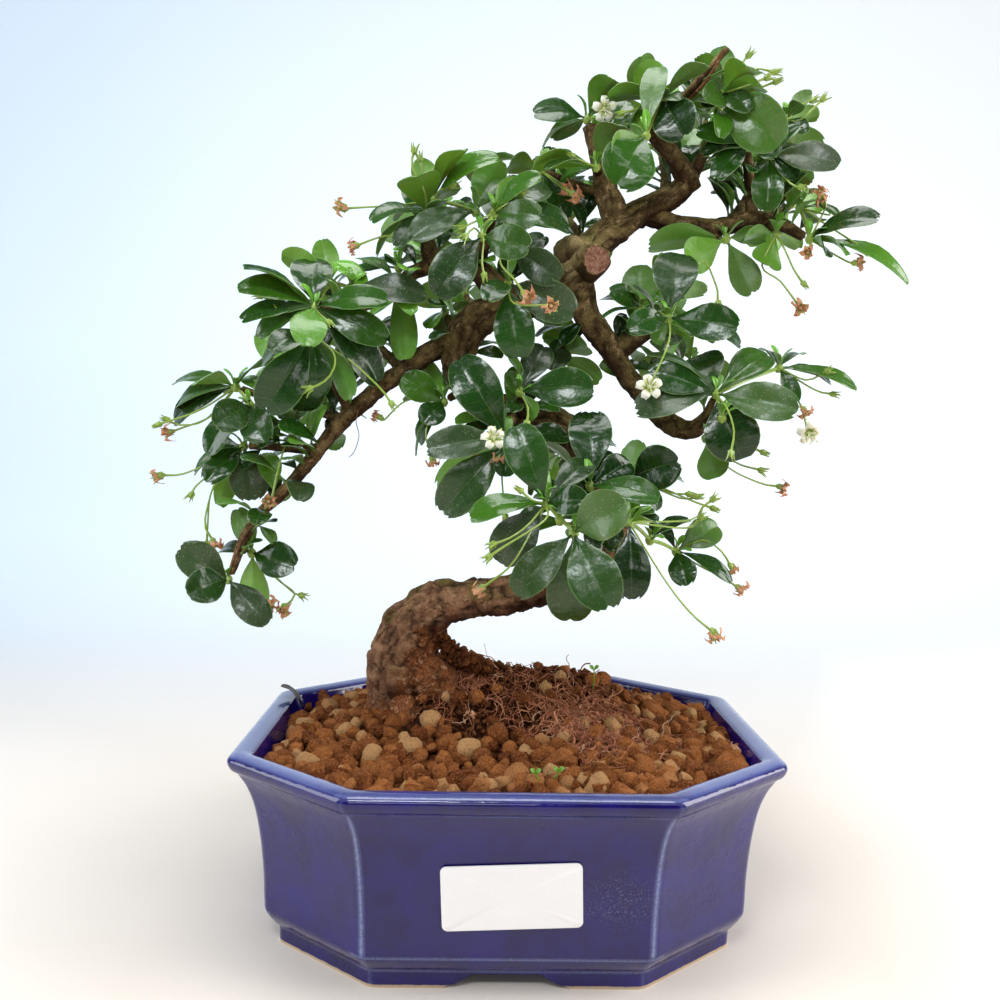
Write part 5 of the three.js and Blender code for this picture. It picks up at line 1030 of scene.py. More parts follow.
# %% Rings along a path
def smooth_path(path, step):
    """Points about `step` mm apart on the cubic curve through the path's points, whose slope at
    each is half the way from the one before to the one after, with the place
    of each point counted in path entries."""
    path = np.asarray(path, float)
    padded = np.vstack([2 * path[0] - path[1], path, 2 * path[-1] - path[-2]])
    spots, places = [], []
    for i in range(len(path) - 1):
        a, b, c, d = padded[i:i + 4]
        count = max(2, int(round(np.linalg.norm(c - b) / step)))
        t = (np.arange(count) / count)[:, None]
        spots.append(0.5 * (2 * b + (c - a) * t + (2 * a - 5 * b + 4 * c - d) * t ** 2
                            + (3 * b - a - 3 * c + d) * t ** 3))
        places.append(i + t[:, 0])
    spots.append(path[-1:])
    places.append(np.array([len(path) - 1.0]))
    return np.vstack(spots), np.concatenate(places)


def frames_along(path):
    """A tangent and two cross directions at each point, carried along without twist."""
    tangent = unit(np.gradient(path, axis=0))
    first = np.empty_like(path)
    across = np.array([0.31, 0.95, 0.07])
    for i, along in enumerate(tangent):
        across = unit(across - along * (across @ along))
        first[i] = across
    return tangent, first, np.cross(tangent, first)


def tube(path, radius, sides, round_end=True, **fields):
    """A closed tube: circles of `radius` about the path, with a pole at each end."""
    path = np.asarray(path, float)
    tangent, first, second = frames_along(path)
    radius = np.broadcast_to(radius, len(path)).astype(float)
    if round_end:
        path = np.vstack([path, path[-1] + tangent[-1] * radius[-1] * 0.6])
        first, second = np.vstack([first, first[-1:]]), np.vstack([second, second[-1:]])
        radius = np.append(radius, radius[-1] * 0.6)
    turn = 2 * math.pi * np.arange(sides) / sides
    ring = (np.cos(turn)[None, :, None] * first[:, None] + np.sin(turn)[None, :, None] * second[:, None])
    points = (path[:, None] + ring * radius[:, None, None]).reshape(-1, 3)
    rows = len(path)
    points = np.vstack([points, path[0], path[-1] + tangent[-1] * radius[-1] * 0.3])
    return part(points, grid_faces(rows, sides, wrap=True), end_fans(rows, sides), **fields)


# %% [markdown]
# ## The trunk and its branches
#
# The wood grew as one piece: a stout base, a long low run, a bend, and limbs that taper to
# twigs. Each limb is a tube on a smooth path. Its radius swells where it leaves its parent, and
# is broken by cracks, knots and crumbly bark. A crack follows the places where stretched noise
# passes zero, which gives thin lines that join and part again as real fissures do.

# %% The wood
TRUNK_SIDES = 72
LIMB_SIDES = 32
TWIG_SIDES = 14
# How far apart the rings stand along each.
TRUNK_STEP = 0.95
LIMB_STEP = 1.1
TWIG_STEP = 1.4
CRACK_WIDTH = 0.13
SAWN_ENDS = ("sawn_limb",)
SOIL_TOUCH = 70.0
# The pale burl behind the sawn stub.
BURL = [572, 256, -6]
BURL_SPREAD = 11.0
# Knots: [view x, view y, depth behind the middle, spread, height].
KNOTS = [
    [440, 585, -8, 3.2, 1.8], [468, 583, -6, 2.2, 1.5], [404, 690, -6, 4.5, 1.6], [383, 655, 2, 4, 1.3],
    [430, 583, 4, 3.6, 2.4], [447, 580, 3, 3, 1.9], [389, 612, 9, 5, 2.4], [372, 650, 12, 6, 1.6],
    [414, 592, 5, 3, 1.4], [474, 576, 2, 3, 1.3], [520, 582, -10, 2.4, 1.0], [610, 540, -10, 4, 1.6],
    [600, 500, -6, 4, 1.8], [575, 440, -2, 5, 2],
    [520, 412, -4, 4, 1.6], [460, 372, -7, 4.5, 2.0], [466, 335, -9, 4, 1.6], [520, 300, -12, 4, 1.4],
    [562, 264, -12, 5, 1.8], [566, 240, -14, 5, 1.8], [590, 282, -12, 4, 1.6], [625, 225, -4, 4, 1.6],
    [610, 226, -3, 3.5, 1.8], [660, 206, -4, 3.5, 1.4], [700, 228, -3, 3, 1.4], [730, 222, -3, 3, 1.0],
    [598, 165, -3, 2.6, 1.2], [640, 390, -3, 3.4, 1.4], [586, 330, -7, 3.2, 1.6], [604, 345, -6, 3, 1.4],
    [672, 425, -6, 3.4, 1.4], [365, 400, -10, 2.4, 1],
    [430, 352, -4, 3, 1.2], [300, 470, -13, 1.8, 0.8], [425, 250, -10, 2.4, 1.0], [590, 445, -2, 4, 1.4],
]


def limb_surface(wood_line, order):
    """A limb: at each point the radius grows by a collar near its parent, by knots that are bells
    round their centres, and by crumbs of fine noise, and shrinks in cracks near the zero lines
    of noise drawn out along the limb. A sawn end closes flat, any other with a low point."""
    name = wood_line["name"]
    is_trunk = name == "trunk"
    is_limb = name in LIMBS
    step = TRUNK_STEP if is_trunk else LIMB_STEP if is_limb else TWIG_STEP
    sides = TRUNK_SIDES if is_trunk else LIMB_SIDES if is_limb else TWIG_SIDES
    path, places = smooth_path(wood_line["path"], step)
    thickness = np.interp(places, np.arange(len(wood_line["thickness"])), wood_line["thickness"])
    run = np.concatenate([[0], np.cumsum(np.linalg.norm(np.diff(path, axis=0), axis=1))])
    wander = np.stack([noise(path, 9, 3 + order), noise(path, 9, 5 + order), noise(path, 9, 8 + order)], -1)
    fade = np.clip(run / 6, 0, 1) * np.clip((run[-1] - run) / 6, 0, 1)
    path = path + wander * (0.5 * fade * np.minimum(thickness / 8, 1))[:, None]
    tangent, first, second = frames_along(path)
    collar = 0.0 if is_trunk else 0.3 * np.exp(-run / (0.9 * thickness[0]))
    turn = 2 * math.pi * np.arange(sides) / sides
    ring = np.cos(turn)[None, :, None] * first[:, None] + np.sin(turn)[None, :, None] * second[:, None]
    radius = (thickness / 2 * (1 + collar))[:, None]
    spot = path[:, None] + ring * radius[..., None]
    girth = thickness.mean() / 2
    shape = spot.shape[:2]
    grain = np.stack([np.broadcast_to(run[:, None] / 6.5, shape),
                      np.broadcast_to(np.cos(turn) * girth / 2.6, shape),
                      np.broadcast_to(np.sin(turn) * girth / 2.6, shape)], -1)
    grain = grain + 0.3 * noise(spot, 3, 12 + order)[..., None]
    lines = noise(grain, 1.0, 11 + order)
    crack = np.exp(-(lines / CRACK_WIDTH) ** 2)
    depth = np.clip(thickness / 14, 0.22, 1.3)[:, None]
    under = np.clip(-ring[..., 2], 0, 1)
    relief = depth * (0.55 * noise(spot, 7, 23) + 0.4 * lines + 0.3 * noise(spot, 2.6, 21)
                      + (0.18 + 0.4 * under) * noise(spot, 1.2, 25) - 0.75 * crack - 0.25)
    for px, py, back, spread, height in KNOTS:
        away = np.linalg.norm(spot - at(px, py, back), axis=-1)
        relief = relief + height * np.exp(-(away / spread) ** 2) * np.clip(thickness / 9, 0.2, 1)[:, None]
    points = spot + ring * relief[..., None]
    rings = [points]
    cut = [np.zeros(len(path))]
    if name in SAWN_ENDS:
        centre = path[-1] + tangent[-1] * 0.2
        for share, value in ((0.9, 0.5), (0.86, 1.0), (0.5, 1.0)):
            rings.append((centre + (points[-1] - path[-1]) * share)[None])
            cut.append(np.array([value]))
        tip = centre + tangent[-1] * 0.05
    else:
        tip = path[-1] + tangent[-1] * thickness[-1] * 0.22
    extra = sum(len(r) for r in rings) - len(path)
    points = np.concatenate(rings).reshape(-1, 3)
    rows = len(path) + extra
    points = np.vstack([points, path[0], tip])
    pad = extra * sides
    up = np.concatenate([ring[..., 2].ravel(), np.zeros(pad + 2)])
    # The crack lines are kept to be painted dark: painted shade in the fissures.
    painted_crack_shade = np.concatenate([crack.ravel(), np.zeros(pad + 2)])
    cut = np.append(np.repeat(np.concatenate(cut), sides), [0, 1.0 if extra else 0.0])
    level = np.clip((points[:, 2] - 150) / 60, 0, 1)
    moss = np.clip(up * 0.9 + noise(points, 6, 31) * 0.9 - 0.3 - 0.12 * level, 0, 1)
    # Painted shade: the undersides of the wood are darkened as in their own shadow.
    dark = np.clip(-up * 1.3 + noise(points, 9, 33) * 0.5 - 0.05, 0, 1)
    patchy = noise(points, 5, 35) * 9
    soil_side = np.maximum(14 + 30 * np.clip((points[:, 0] + 47) / 12, -1, 1), 9) + patchy
    earth = np.clip((SOIL_TOUCH + soil_side - points[:, 2]) / 8, 0, 1)
    pale = np.exp(-(np.linalg.norm(points - at(*BURL), axis=-1) / BURL_SPREAD) ** 4)
    return part(points, grid_faces(rows, sides, wrap=True), end_fans(rows, sides),
                moss=moss * (1 - earth), dark=dark, groove=painted_crack_shade, cut=cut, earth=earth, pale=pale)


def bare_strand(entries):
    """A thin dead strand through plan entries [view x, view y, depth, thickness]."""
    path = np.array([place(e) for e in entries])
    smooth, places = smooth_path(path, 1.3)
    radius = np.interp(places, np.arange(len(entries)), [e[3] / 2 for e in entries])
    return tube(smooth, radius, 7, moss=0.0, dark=0.3, groove=0.2, cut=0.0, earth=0.7, pale=0.0)


# The split half of the dead twig, and a dry hair that hangs from the long left branch.
STRANDS = [
    [[689, 99, -12, 1.6], [704, 84, -14, 1.5], [717, 64, -15, 1.2], [723, 50, -16, 0.8]],
    [[361, 404, -9, 0.5], [356, 420, -10, 0.35], [359, 436, -10, 0.3], [354, 452, -11, 0.3],
     [349, 457, -11, 0.3]],
]
wood = joined([limb_surface(line, i) for i, line in enumerate(WOOD)] + [bare_strand(s) for s in STRANDS])
print(f"the wood has {triangles(wood)} triangles")

# %% [markdown]
# ## The pot
#
# A stoneware pot of this kind is pressed in an eight-sided mould: short slanted corners, a rolled
# rim, a wall that flares in a hollow curve, and a foot cut away in the middle of each side so
# that water can run out. Here one outline, drawn as inset and height, is carried round the eight
# sides, with each corner rounded, and the cut-outs and drain holes are taken out of the solid.

# %% The pot's outline
RIM_HALF_LENGTH = 100.0
RIM_HALF_DEPTH = 80.0
FRONT_FACE_HALF = 54.0
SIDE_FACE_HALF = 43.0
FRONT_CORNER_SHIFT = 0.45
SIDE_CORNER_SHIFT = 0.48
POT_OUTSIDE = [
    [17.3, 0], [16.9, 6], [15.4, 8], [12.5, 12.6], [12, 17], [11.8, 25], [11.3, 33], [10.5, 41],
    [9.4, 48.5], [8, 54.6], [6, 60], [4.1, 63.4], [2.9, 65.2], [1, 66.8], [0, 69.4], [0.9, 71.3],
    [3.4, 72.2], [6.2, 72], [8.2, 71], [8.9, 69.2],
]
PROFILE_STEP = 0.6
POT_INSIDE = [[8.9, 69.2], [13, 60], [17, 40], [20.5, 17], [24, 10]]
FOOT_RECESS_INSETS = [25.4, 24.8]
FOOT_RECESS = 5.0
CORNER_ROUNDING = 2.6
CORNER_POINTS = 7
GATE_OUTLINE = [[-21.5, -1], [21.5, -1], [21.5, 0.4], [17.1, 1.8], [13.5, 3.9], [11.3, 5.2],
                [-11.3, 5.2], [-13.5, 3.9], [-17.1, 1.8], [-21.5, 0.4]]
DRAIN_HOLE_RADIUS = 7.0
DRAIN_HOLE_X = 42.0
DRAIN_HOLE_RUN = (-3, 20)
GATE_REACH = 120
HOLLOW_TOP = 80


def octagon(inset):
    """The eight corners `inset` mm inside the rim."""
    length, depth = RIM_HALF_LENGTH - inset, RIM_HALF_DEPTH - inset
    front = FRONT_FACE_HALF - FRONT_CORNER_SHIFT * inset
    side = SIDE_FACE_HALF - SIDE_CORNER_SHIFT * inset
    return np.array([[-front, -depth], [front, -depth], [length, -side], [length, side],
                     [front, depth], [-front, depth], [-length, side], [-length, -side]], float)


def rounded_octagon(inset, rounding):
    """The octagon with each corner replaced by a curve that starts `rounding` mm before it, and
    points spread along each flat side; also how near each point is to a corner, from 0 to 1."""
    corners = octagon(inset)
    before, after = np.roll(corners, 1, axis=0), np.roll(corners, -1, axis=0)
    start = corners + unit(before - corners) * rounding
    end = corners + unit(after - corners) * rounding
    t = np.linspace(0, 1, CORNER_POINTS)[None, :, None]
    arcs = (1 - t) ** 2 * start[:, None] + 2 * t * (1 - t) * corners[:, None] + t ** 2 * end[:, None]
    flats = np.array([0.03, 0.1, 0.25, 0.5, 0.75, 0.9, 0.97])[None, :, None]
    sides = end[:, None] * (1 - flats) + np.roll(start, -1, axis=0)[:, None] * flats
    ring = np.concatenate([arcs, sides], axis=1)
    near = np.concatenate([1 - np.abs(np.linspace(-1, 1, CORNER_POINTS)) ** 2 * 0.6,
                           [0.15, 0, 0, 0, 0, 0, 0.15]])
    return ring.reshape(-1, 2), np.tile(near, 8)


def ring_stack(profile, rounding):
    """A skin of rounded octagons, one for each (inset, height), closed at both ends."""
    rings, nears = [], []
    for inset, z in profile:
        ring, near = rounded_octagon(inset, rounding)
        rings.append(np.column_stack([ring, np.full(len(ring), z)]))
        nears.append(near)
    count = len(rings[0])
    rows = len(rings)
    points = np.vstack(rings + [[[0, 0, profile[0][1]]], [[0, 0, profile[-1][1]]]])
    return part(points, grid_faces(rows, count, wrap=True), end_fans(rows, count))


def soft_profile(profile, step):
    """Points on a smooth curve through the profile's corners."""
    points, _ = smooth_path([[d, 0, z] for d, z in profile], step)
    return points[:, [0, 2]]


def cutter(name, surface):
    """A hidden object that is taken out of the pot and then deleted."""
    obj = bpy.data.objects.new(name, make_mesh(name, surface))
    bpy.context.scene.collection.objects.link(obj)
    return obj


def bar(outline, length, turn):
    """The gate outline drawn out level through the pot, along y or, turned, along x."""
    outline = np.array(outline, float)
    count = len(outline)
    low = np.column_stack([outline[:, 0], np.full(count, -length), outline[:, 1]])
    high = low * [1, -1, 1]
    points = np.vstack([low, high])
    if turn:
        points = points[:, [1, 0, 2]] * [-1, 1, 1]
    j = np.arange(count)
    k = (j + 1) % count
    faces = np.stack([j, k, k + count, j + count], -1)[:, ::-1]
    fan = np.arange(1, count - 1)
    ends = np.vstack([np.stack([np.zeros(count - 2, int), fan, fan + 1], -1),
                      np.stack([np.full(count - 2, count), count + fan + 1, count + fan], -1)])
    return part(points, faces, ends)


outer = ring_stack(soft_profile(POT_OUTSIDE, PROFILE_STEP), CORNER_ROUNDING)
blank = cutter("pot_blank", outer)
hollow = ring_stack([*POT_INSIDE[::-1], [POT_INSIDE[0][0], HOLLOW_TOP]], CORNER_ROUNDING)
recess = ring_stack([[FOOT_RECESS_INSETS[0], -1], [FOOT_RECESS_INSETS[1], FOOT_RECESS]], CORNER_ROUNDING)
tools = [cutter("hollow", hollow), cutter("recess", recess),
         cutter("gate_y", bar(GATE_OUTLINE, GATE_REACH, False)),
         cutter("gate_x", bar(GATE_OUTLINE, GATE_REACH, True))]
for side in (-1, 1):
    hole_path = [[side * DRAIN_HOLE_X, 0, z] for z in DRAIN_HOLE_RUN]
    tools.append(cutter(f"drain_{side}", tube(hole_path, DRAIN_HOLE_RADIUS, 40, round_end=False)))
for tool in tools:
    cut = blank.modifiers.new(tool.name, "BOOLEAN")
    cut.operation = "DIFFERENCE"
    cut.solver = "EXACT"
    cut.object = tool
bpy.context.view_layer.update()
depsgraph = bpy.context.evaluated_depsgraph_get()
pot_mesh = bpy.data.meshes.new_from_object(blank.evaluated_get(depsgraph))
for tool in [blank, *tools]:
    bpy.data.objects.remove(tool)
print(f"the pot has {len(pot_mesh.polygons)} faces")

# %% [markdown]
# ## The soil
#
# Bonsai soil is fired clay in grains of three to eight millimetres, heaped over the root ball.
# A bed fills the pot and follows the mound, painted nearly black as shade between and under the
# grains, and grains lie on it in a loose layer. Each grain is a cube pushed part of the way to a
# ball, with its corners moved, so it has only a few dozen faces. A bump in a material would be
# quicker, but the grains stand up too far for it.

# %% The bed
SOIL_EDGE_LEVEL = 64.2
SOIL_EDGE_INSET = 11.6
SOIL_LEVEL = 66.5
# Where the root ball shows: [middle x, middle y, spread x, spread y].
ROOT_BALL = [6, 2, 44, 27]
# The bed's wall inside the pot, from its floor up: [inset, height].
BED_WALL = [[24.35, 10.35], [20.85, 17.35], [17.35, 40], [13.35, 60]]
BED_RINGS = 56
BED_SINK = 0.6
# How far from the eye a sight line is walked, in mm, and in how many places.
SIGHT_WALK = (240, 520, 2801)


def soil_height(x, y):
    """The bed's level plus a bell for each mound."""
    level = np.full(np.shape(x), SOIL_LEVEL)
    for cx, cy, sx, sy, height in MOUNDS:
        level = level + height * np.exp(-((x - cx) / sx) ** 2 - ((y - cy) / sy) ** 2)
    return level


def on_soil(px, py, lift):
    """The point `lift` mm over the bed on the sight line through a place in the view: the line
    is walked from the eye until it dips under that height."""
    points = EYE + sight(px, py) * np.linspace(*SIGHT_WALK)[:, None]
    over = points[:, 2] - soil_height(points[:, 0], points[:, 1]) - lift
    return points[np.argmax(over < 0)]


def root_share(x, y):
    """How much of the root ball shows at (x, y): a bell round its middle."""
    cx, cy, sx, sy = ROOT_BALL
    return np.exp(-((x - cx) / sx) ** 4 - ((y - cy) / sy) ** 4)


def bed_surface():
    """Rings that shrink from the pot's wall to the middle, lifted to the soil's height, with
    a wall and a floor below that keep inside the pot."""
    edge, _ = rounded_octagon(SOIL_EDGE_INSET, CORNER_ROUNDING)
    count = len(edge)
    rings = []
    for inset, z in BED_WALL:
        ring, _ = rounded_octagon(inset, CORNER_ROUNDING)
        rings.append(np.column_stack([ring, np.full(count, z)]))
    for r in range(BED_RINGS):
        share = 1 - r / BED_RINGS
        xy = edge * share
        wall = min(1.0, r / 6)
        spot = np.column_stack([xy, np.zeros(count)])
        lift = 0.9 * noise(spot, 4, 41) + 0.5 * noise(spot, 1.8, 43)
        rise = soil_height(xy[:, 0], xy[:, 1]) - SOIL_EDGE_LEVEL - BED_SINK
        z = SOIL_EDGE_LEVEL + rise * wall + lift * min(1, r)
        rings.append(np.column_stack([xy, z]))
    rows = len(rings)
    points = np.vstack(rings + [[[0, 0, BED_WALL[0][1]]], [[0, 0, float(soil_height(0.0, 0.0)) - BED_SINK]]])
    # The bed is darkened in full: a near-black sheet of painted shade under and between the grains.
    return part(points, grid_faces(rows, count, wrap=True), end_fans(rows, count), tint=0.15, bed=1.0)


# %% The grains
# The grains are painted paler to the right of this x, as painted light from that side.
PAINTED_LIGHT_RIGHT_OF = 15.0
LOWER_GRAINS = 1050
UPPER_GRAINS = 1000
CRUMBS = 7000
# Earth that clings to the trunk's inner side: [view x, view y, depth, spread] along its slope.
CLINGING = [[430, 612, 9, 2.0], [436, 628, 9, 3.2], [443, 643, 8, 4.0], [455, 654, 7, 4.0],
            [470, 662, 5, 3.5], [488, 666, 4, 3.0]]
CLINGING_CRUMBS = 420
# The large pale grains that catch the eye: [view x, view y, size].
STONES = [[467, 749, 10], [431, 722, 8], [409, 747, 8.5], [371, 756, 7.5], [564, 738, 6.5], [612, 726, 7],
          [651, 739, 7], [597, 786, 8.5], [551, 772, 6.5], [529, 752, 6], [345, 731, 6.5], [446, 697, 5.5],
          [679, 760, 6.5], [718, 742, 7], [545, 688, 5], [560, 676, 5.5], [690, 716, 6.5]]


def grain_form(cuts):
    """The surface points and faces of a cube whose sides are cut into cuts by cuts squares."""
    steps = range(cuts + 1)
    lattice = [(x, y, z) for x in steps for y in steps for z in steps]
    outer = [p for p in lattice if min(p) == 0 or max(p) == cuts]
    index = {p: i for i, p in enumerate(outer)}
    faces = []
    for axis in range(3):
        for side in (0, cuts):
            for a in range(cuts):
                for b in range(cuts):
                    quad = []
                    for da, db in ((0, 0), (1, 0), (1, 1), (0, 1)):
                        p = [a + da, b + db]
                        p = [p[(k - axis - 1) % 3] if k != axis else side for k in range(3)]
                        quad.append(index[tuple(p)])
                    faces.append(quad if side > 0 else quad[::-1])
    return np.array(outer) * 2.0 / cuts - 1, np.array(faces)


def grains(spots, sizes, seed, tints, shade_and_dark_earth=0.0, cuts=2):
    """Grains at the spots: each the cube's points pulled towards a ball, jogged by noise,
    stretched, turned about three axes and set down. A share darkens them: painted shade for
    grains that lie deep, and the darker earth of the root ball for crumbs."""
    form, faces = grain_form(cuts)
    n, m = len(spots), len(form)
    i = np.arange(n)
    ball = unit(form)
    mix = 0.5 + 0.35 * draw(i, seed)[:, None, None]
    shape = form * 0.74 * (1 - mix) + ball * mix
    own = form[None] + (i * 9.7)[:, None, None]
    jog = np.stack([noise(own, 0.9, seed + a) for a in (1, 2, 3)], -1)
    stretch = 0.75 + 0.5 * np.stack([draw(i, seed + a) for a in (4, 5, 6)], -1)
    shape = (shape + 0.26 * jog) * stretch[:, None]
    for axis, a in ((2, 7), (0, 8), (1, 9)):
        turn = 2 * math.pi * draw(i, seed + a)[:, None]
        u, v = (axis + 1) % 3, (axis + 2) % 3
        pu, pv = shape[..., u].copy(), shape[..., v].copy()
        shape[..., u] = pu * np.cos(turn) - pv * np.sin(turn)
        shape[..., v] = pu * np.sin(turn) + pv * np.cos(turn)
    points = spots[:, None] + shape * (sizes / 2)[:, None, None]
    quads = (faces[None] + (i * m)[:, None, None]).reshape(-1, 4)
    return part(points.reshape(-1, 3), quads, tint=np.repeat(tints, m), bed=shade_and_dark_earth)


def grain_spots(count, seed):
    """Spots spread evenly over the soil: steps of two irrational shares fill the rectangle, and
    those outside the pot's wall are dropped."""
    i = np.arange(count)
    x = ((0.5 + i * 0.7548776662) % 1 * 2 - 1) * (RIM_HALF_LENGTH - SOIL_EDGE_INSET)
    y = ((0.5 + i * 0.5698402910) % 1 * 2 - 1) * (RIM_HALF_DEPTH - SOIL_EDGE_INSET)
    x = x + (draw(i, seed) - 0.5) * 3
    y = y + (draw(i, seed + 1) - 0.5) * 3
    length, depth = RIM_HALF_LENGTH - SOIL_EDGE_INSET - 1.5, RIM_HALF_DEPTH - SOIL_EDGE_INSET - 1.5
    corner = (FRONT_FACE_HALF - 5) + (RIM_HALF_DEPTH - SOIL_EDGE_INSET)
    inside = (np.abs(x) < length) & (np.abs(y) < depth) & (np.abs(x) + np.abs(y) < corner + 4)
    return x[inside], y[inside]


def grain_layer(count, seed, small, large, lowest, highest):
    """Grains of small to large mm, with tints from lowest to highest, laid on the bed."""
    x, y = grain_spots(count, seed)
    i = np.arange(len(x))
    size = small + (large - small) * draw(i, seed + 3) ** 1.3
    foot = WOOD[0]["path"][1]
    level = soil_height(x, y)
    wall = np.minimum(RIM_HALF_LENGTH - SOIL_EDGE_INSET - np.abs(x),
                      RIM_HALF_DEPTH - SOIL_EDGE_INSET - np.abs(y))
    z = level - 2.0 * np.clip(1 - wall / 8, 0, 1) - 0.2 * size + 2.6 * draw(i, seed + 4)
    # Grains right of that x draw paler tints: painted light from the right.
    tints = lowest + (highest - lowest) * draw(i, seed + 5) ** np.where(x > PAINTED_LIGHT_RIGHT_OF, 0.8, 1.2)
    clear = np.hypot(x - foot[0], y - foot[1]) > 12
    return x, y, z, size, tints, i, clear


x, y, z, size, tints, i, clear = grain_layer(LOWER_GRAINS, 50, 3.6, 7.0, 0.0, 0.8)
keep = clear & (draw(i, 57) > 0.9 * root_share(x, y))
# The lower grains are darkened as painted shade for lying deep among the others.
lower = grains(np.column_stack([x, y, z - 2.2])[keep], size[keep], 60, tints[keep], 0.45)
x, y, z, size, tints, i, clear = grain_layer(UPPER_GRAINS, 150, 4.4, 8.8, 0.0, 1.0)
keep = clear & (draw(i, 157) > 0.9 * root_share(x, y))
upper = grains(np.column_stack([x, y, z + 0.9])[keep], size[keep], 160, tints[keep])
x, y, z, size, tints, i, clear = grain_layer(CRUMBS, 80, 0.9, 2.8, 0.0, 0.7)
keep = clear & (draw(i, 87) < root_share(x, y))
crumbs = grains(np.column_stack([x, y, z])[keep], size[keep], 90, tints[keep], 0.6)
i = np.arange(CLINGING_CRUMBS)
slope = np.array([at(px, py, depth) for px, py, depth, _ in CLINGING])
places = draw(i, 201) * (len(CLINGING) - 1)
middle = np.stack([np.interp(places, np.arange(len(CLINGING)), slope[:, k]) for k in range(3)], -1)
spread = np.interp(places, np.arange(len(CLINGING)), [entry[3] for entry in CLINGING])
away = unit(np.stack([draw(i, 202 + k) - 0.5 for k in range(3)], -1))
away = away * (spread * draw(i, 206) ** 0.5)[:, None]
clinging = grains(middle + away, 1.2 + 2.2 * draw(i, 207), 210, 0.6 * draw(i, 208), 0.55)
spots = np.array([on_soil(px, py, 2.0) for px, py, _ in STONES])
stones = grains(spots, np.array([size for *_, size in STONES]), 120, np.full(len(STONES), 0.97), cuts=5)
soil = joined([bed_surface(), lower, upper, crumbs, clinging, stones])
quads_each = len(grain_form(2)[1])
grain_count = (len(lower["quads"]) + len(upper["quads"])) // quads_each
print(f"{grain_count} grains and {len(crumbs['quads']) // quads_each} crumbs; "
      f"the soil has {triangles(soil)} triangles")

# %% [markdown]
# Over the root ball lies a mat of hair roots, laid bare when the soil was washed off. Each is a
# thin tube that wanders: its heading turns by noise as it goes, and its height follows the soil.

# %% The root mat
ROOT_COUNT = 1050
# Where hair roots gather: [middle x, middle y, spread x, spread y, share of them].
ROOT_SPOTS = [[35, -17, 20, 15, 0.76], [8, 0, 24, 12, 0.13], [-20, 4, 12, 10, 0.11]]
PALE_ROOT = 0.965
# Roots keep within these half widths, clear of the pot's wall.
ROOT_LIMITS = (84, 62)


def hair_roots():
    """Tubes of 0.2 to 0.4 mm that start near a root spot and wander over the soil; some rise."""
    made = []
    start = 0
    for cx, cy, sx, sy, share in ROOT_SPOTS:
        for n in range(int(ROOT_COUNT * share)):
            seed = 300 + start + n
            away = math.sqrt(-2 * math.log(max(draw(seed, 1), 1e-3))) * 0.6
            angle = 2 * math.pi * draw(seed, 2)
            spot = np.array([cx + sx * away * math.cos(angle), cy + sy * away * math.sin(angle)])
            steps = 6 + int(6 * draw(seed, 3))
            length = 5 + 13 * draw(seed, 4)
            bends = (draw(seed, 10 + np.arange(steps)) - 0.5) * 1.7
            heading = 2 * math.pi * draw(seed, 5) + np.cumsum(bends)
            x = spot[0] + np.concatenate([[0], np.cumsum(np.cos(heading))]) * length / steps
            y = spot[1] + np.concatenate([[0], np.cumsum(np.sin(heading))]) * length / steps
            t = np.linspace(0, 1, steps + 1)
            hop = 1.3 * np.sin(math.pi * t) * (0.2 + draw(seed, 6))
            loose = 6.0 * t ** 2 if draw(seed, 7) > 0.95 else 0.0
            z = soil_height(x, y) + 1.3 + hop + loose + 0.8 * draw(seed, 30 + np.arange(steps + 1))
            inside = (np.abs(x) < ROOT_LIMITS[0]) & (np.abs(y) < ROOT_LIMITS[1])
            path = np.column_stack([x, y, z])[inside]
            if len(path) < 4:
                continue
            tint = float(draw(seed, 9))
            thick = 0.13 if tint > PALE_ROOT else 0.1 + 0.2 * draw(seed, 8) ** 3
            made.append(tube(smooth_path(path, 2.6)[0], thick, 4, tint=tint, bed=0.0))
        start += int(ROOT_COUNT * share)
    return made


root_mat = joined(hair_roots())
print(f"the root mat has {triangles(root_mat)} triangles")

# %% [markdown]
# ## The bare card
#
# A small white card with round corners sits on the pot's front. It carries nothing. The real one
# is a thin stiff sheet on a wall that leans, so a box set upright would stand off it at the foot
# or sink in at the top. Here the wall's plane is worked out from the pot's outline, the card's
# four corners are found where their sight lines meet it, and four rings of one rounded outline
# give the card its thickness and its broken edges.

# %% The card
LABEL_THICKNESS = 0.7
LABEL_CORNERS = [[440.5, 866], [582, 863], [583.5, 926], [441.5, 931]]
LABEL_LOW = 24.5
LABEL_HIGH = 46.0
LABEL_ROUNDING = 2.0


def inset_at(height):
    """How far the pot's wall stands inside the rim at a height."""
    profile = np.array(POT_OUTSIDE[:14])
    return float(np.interp(height, profile[:, 1], profile[:, 0]))


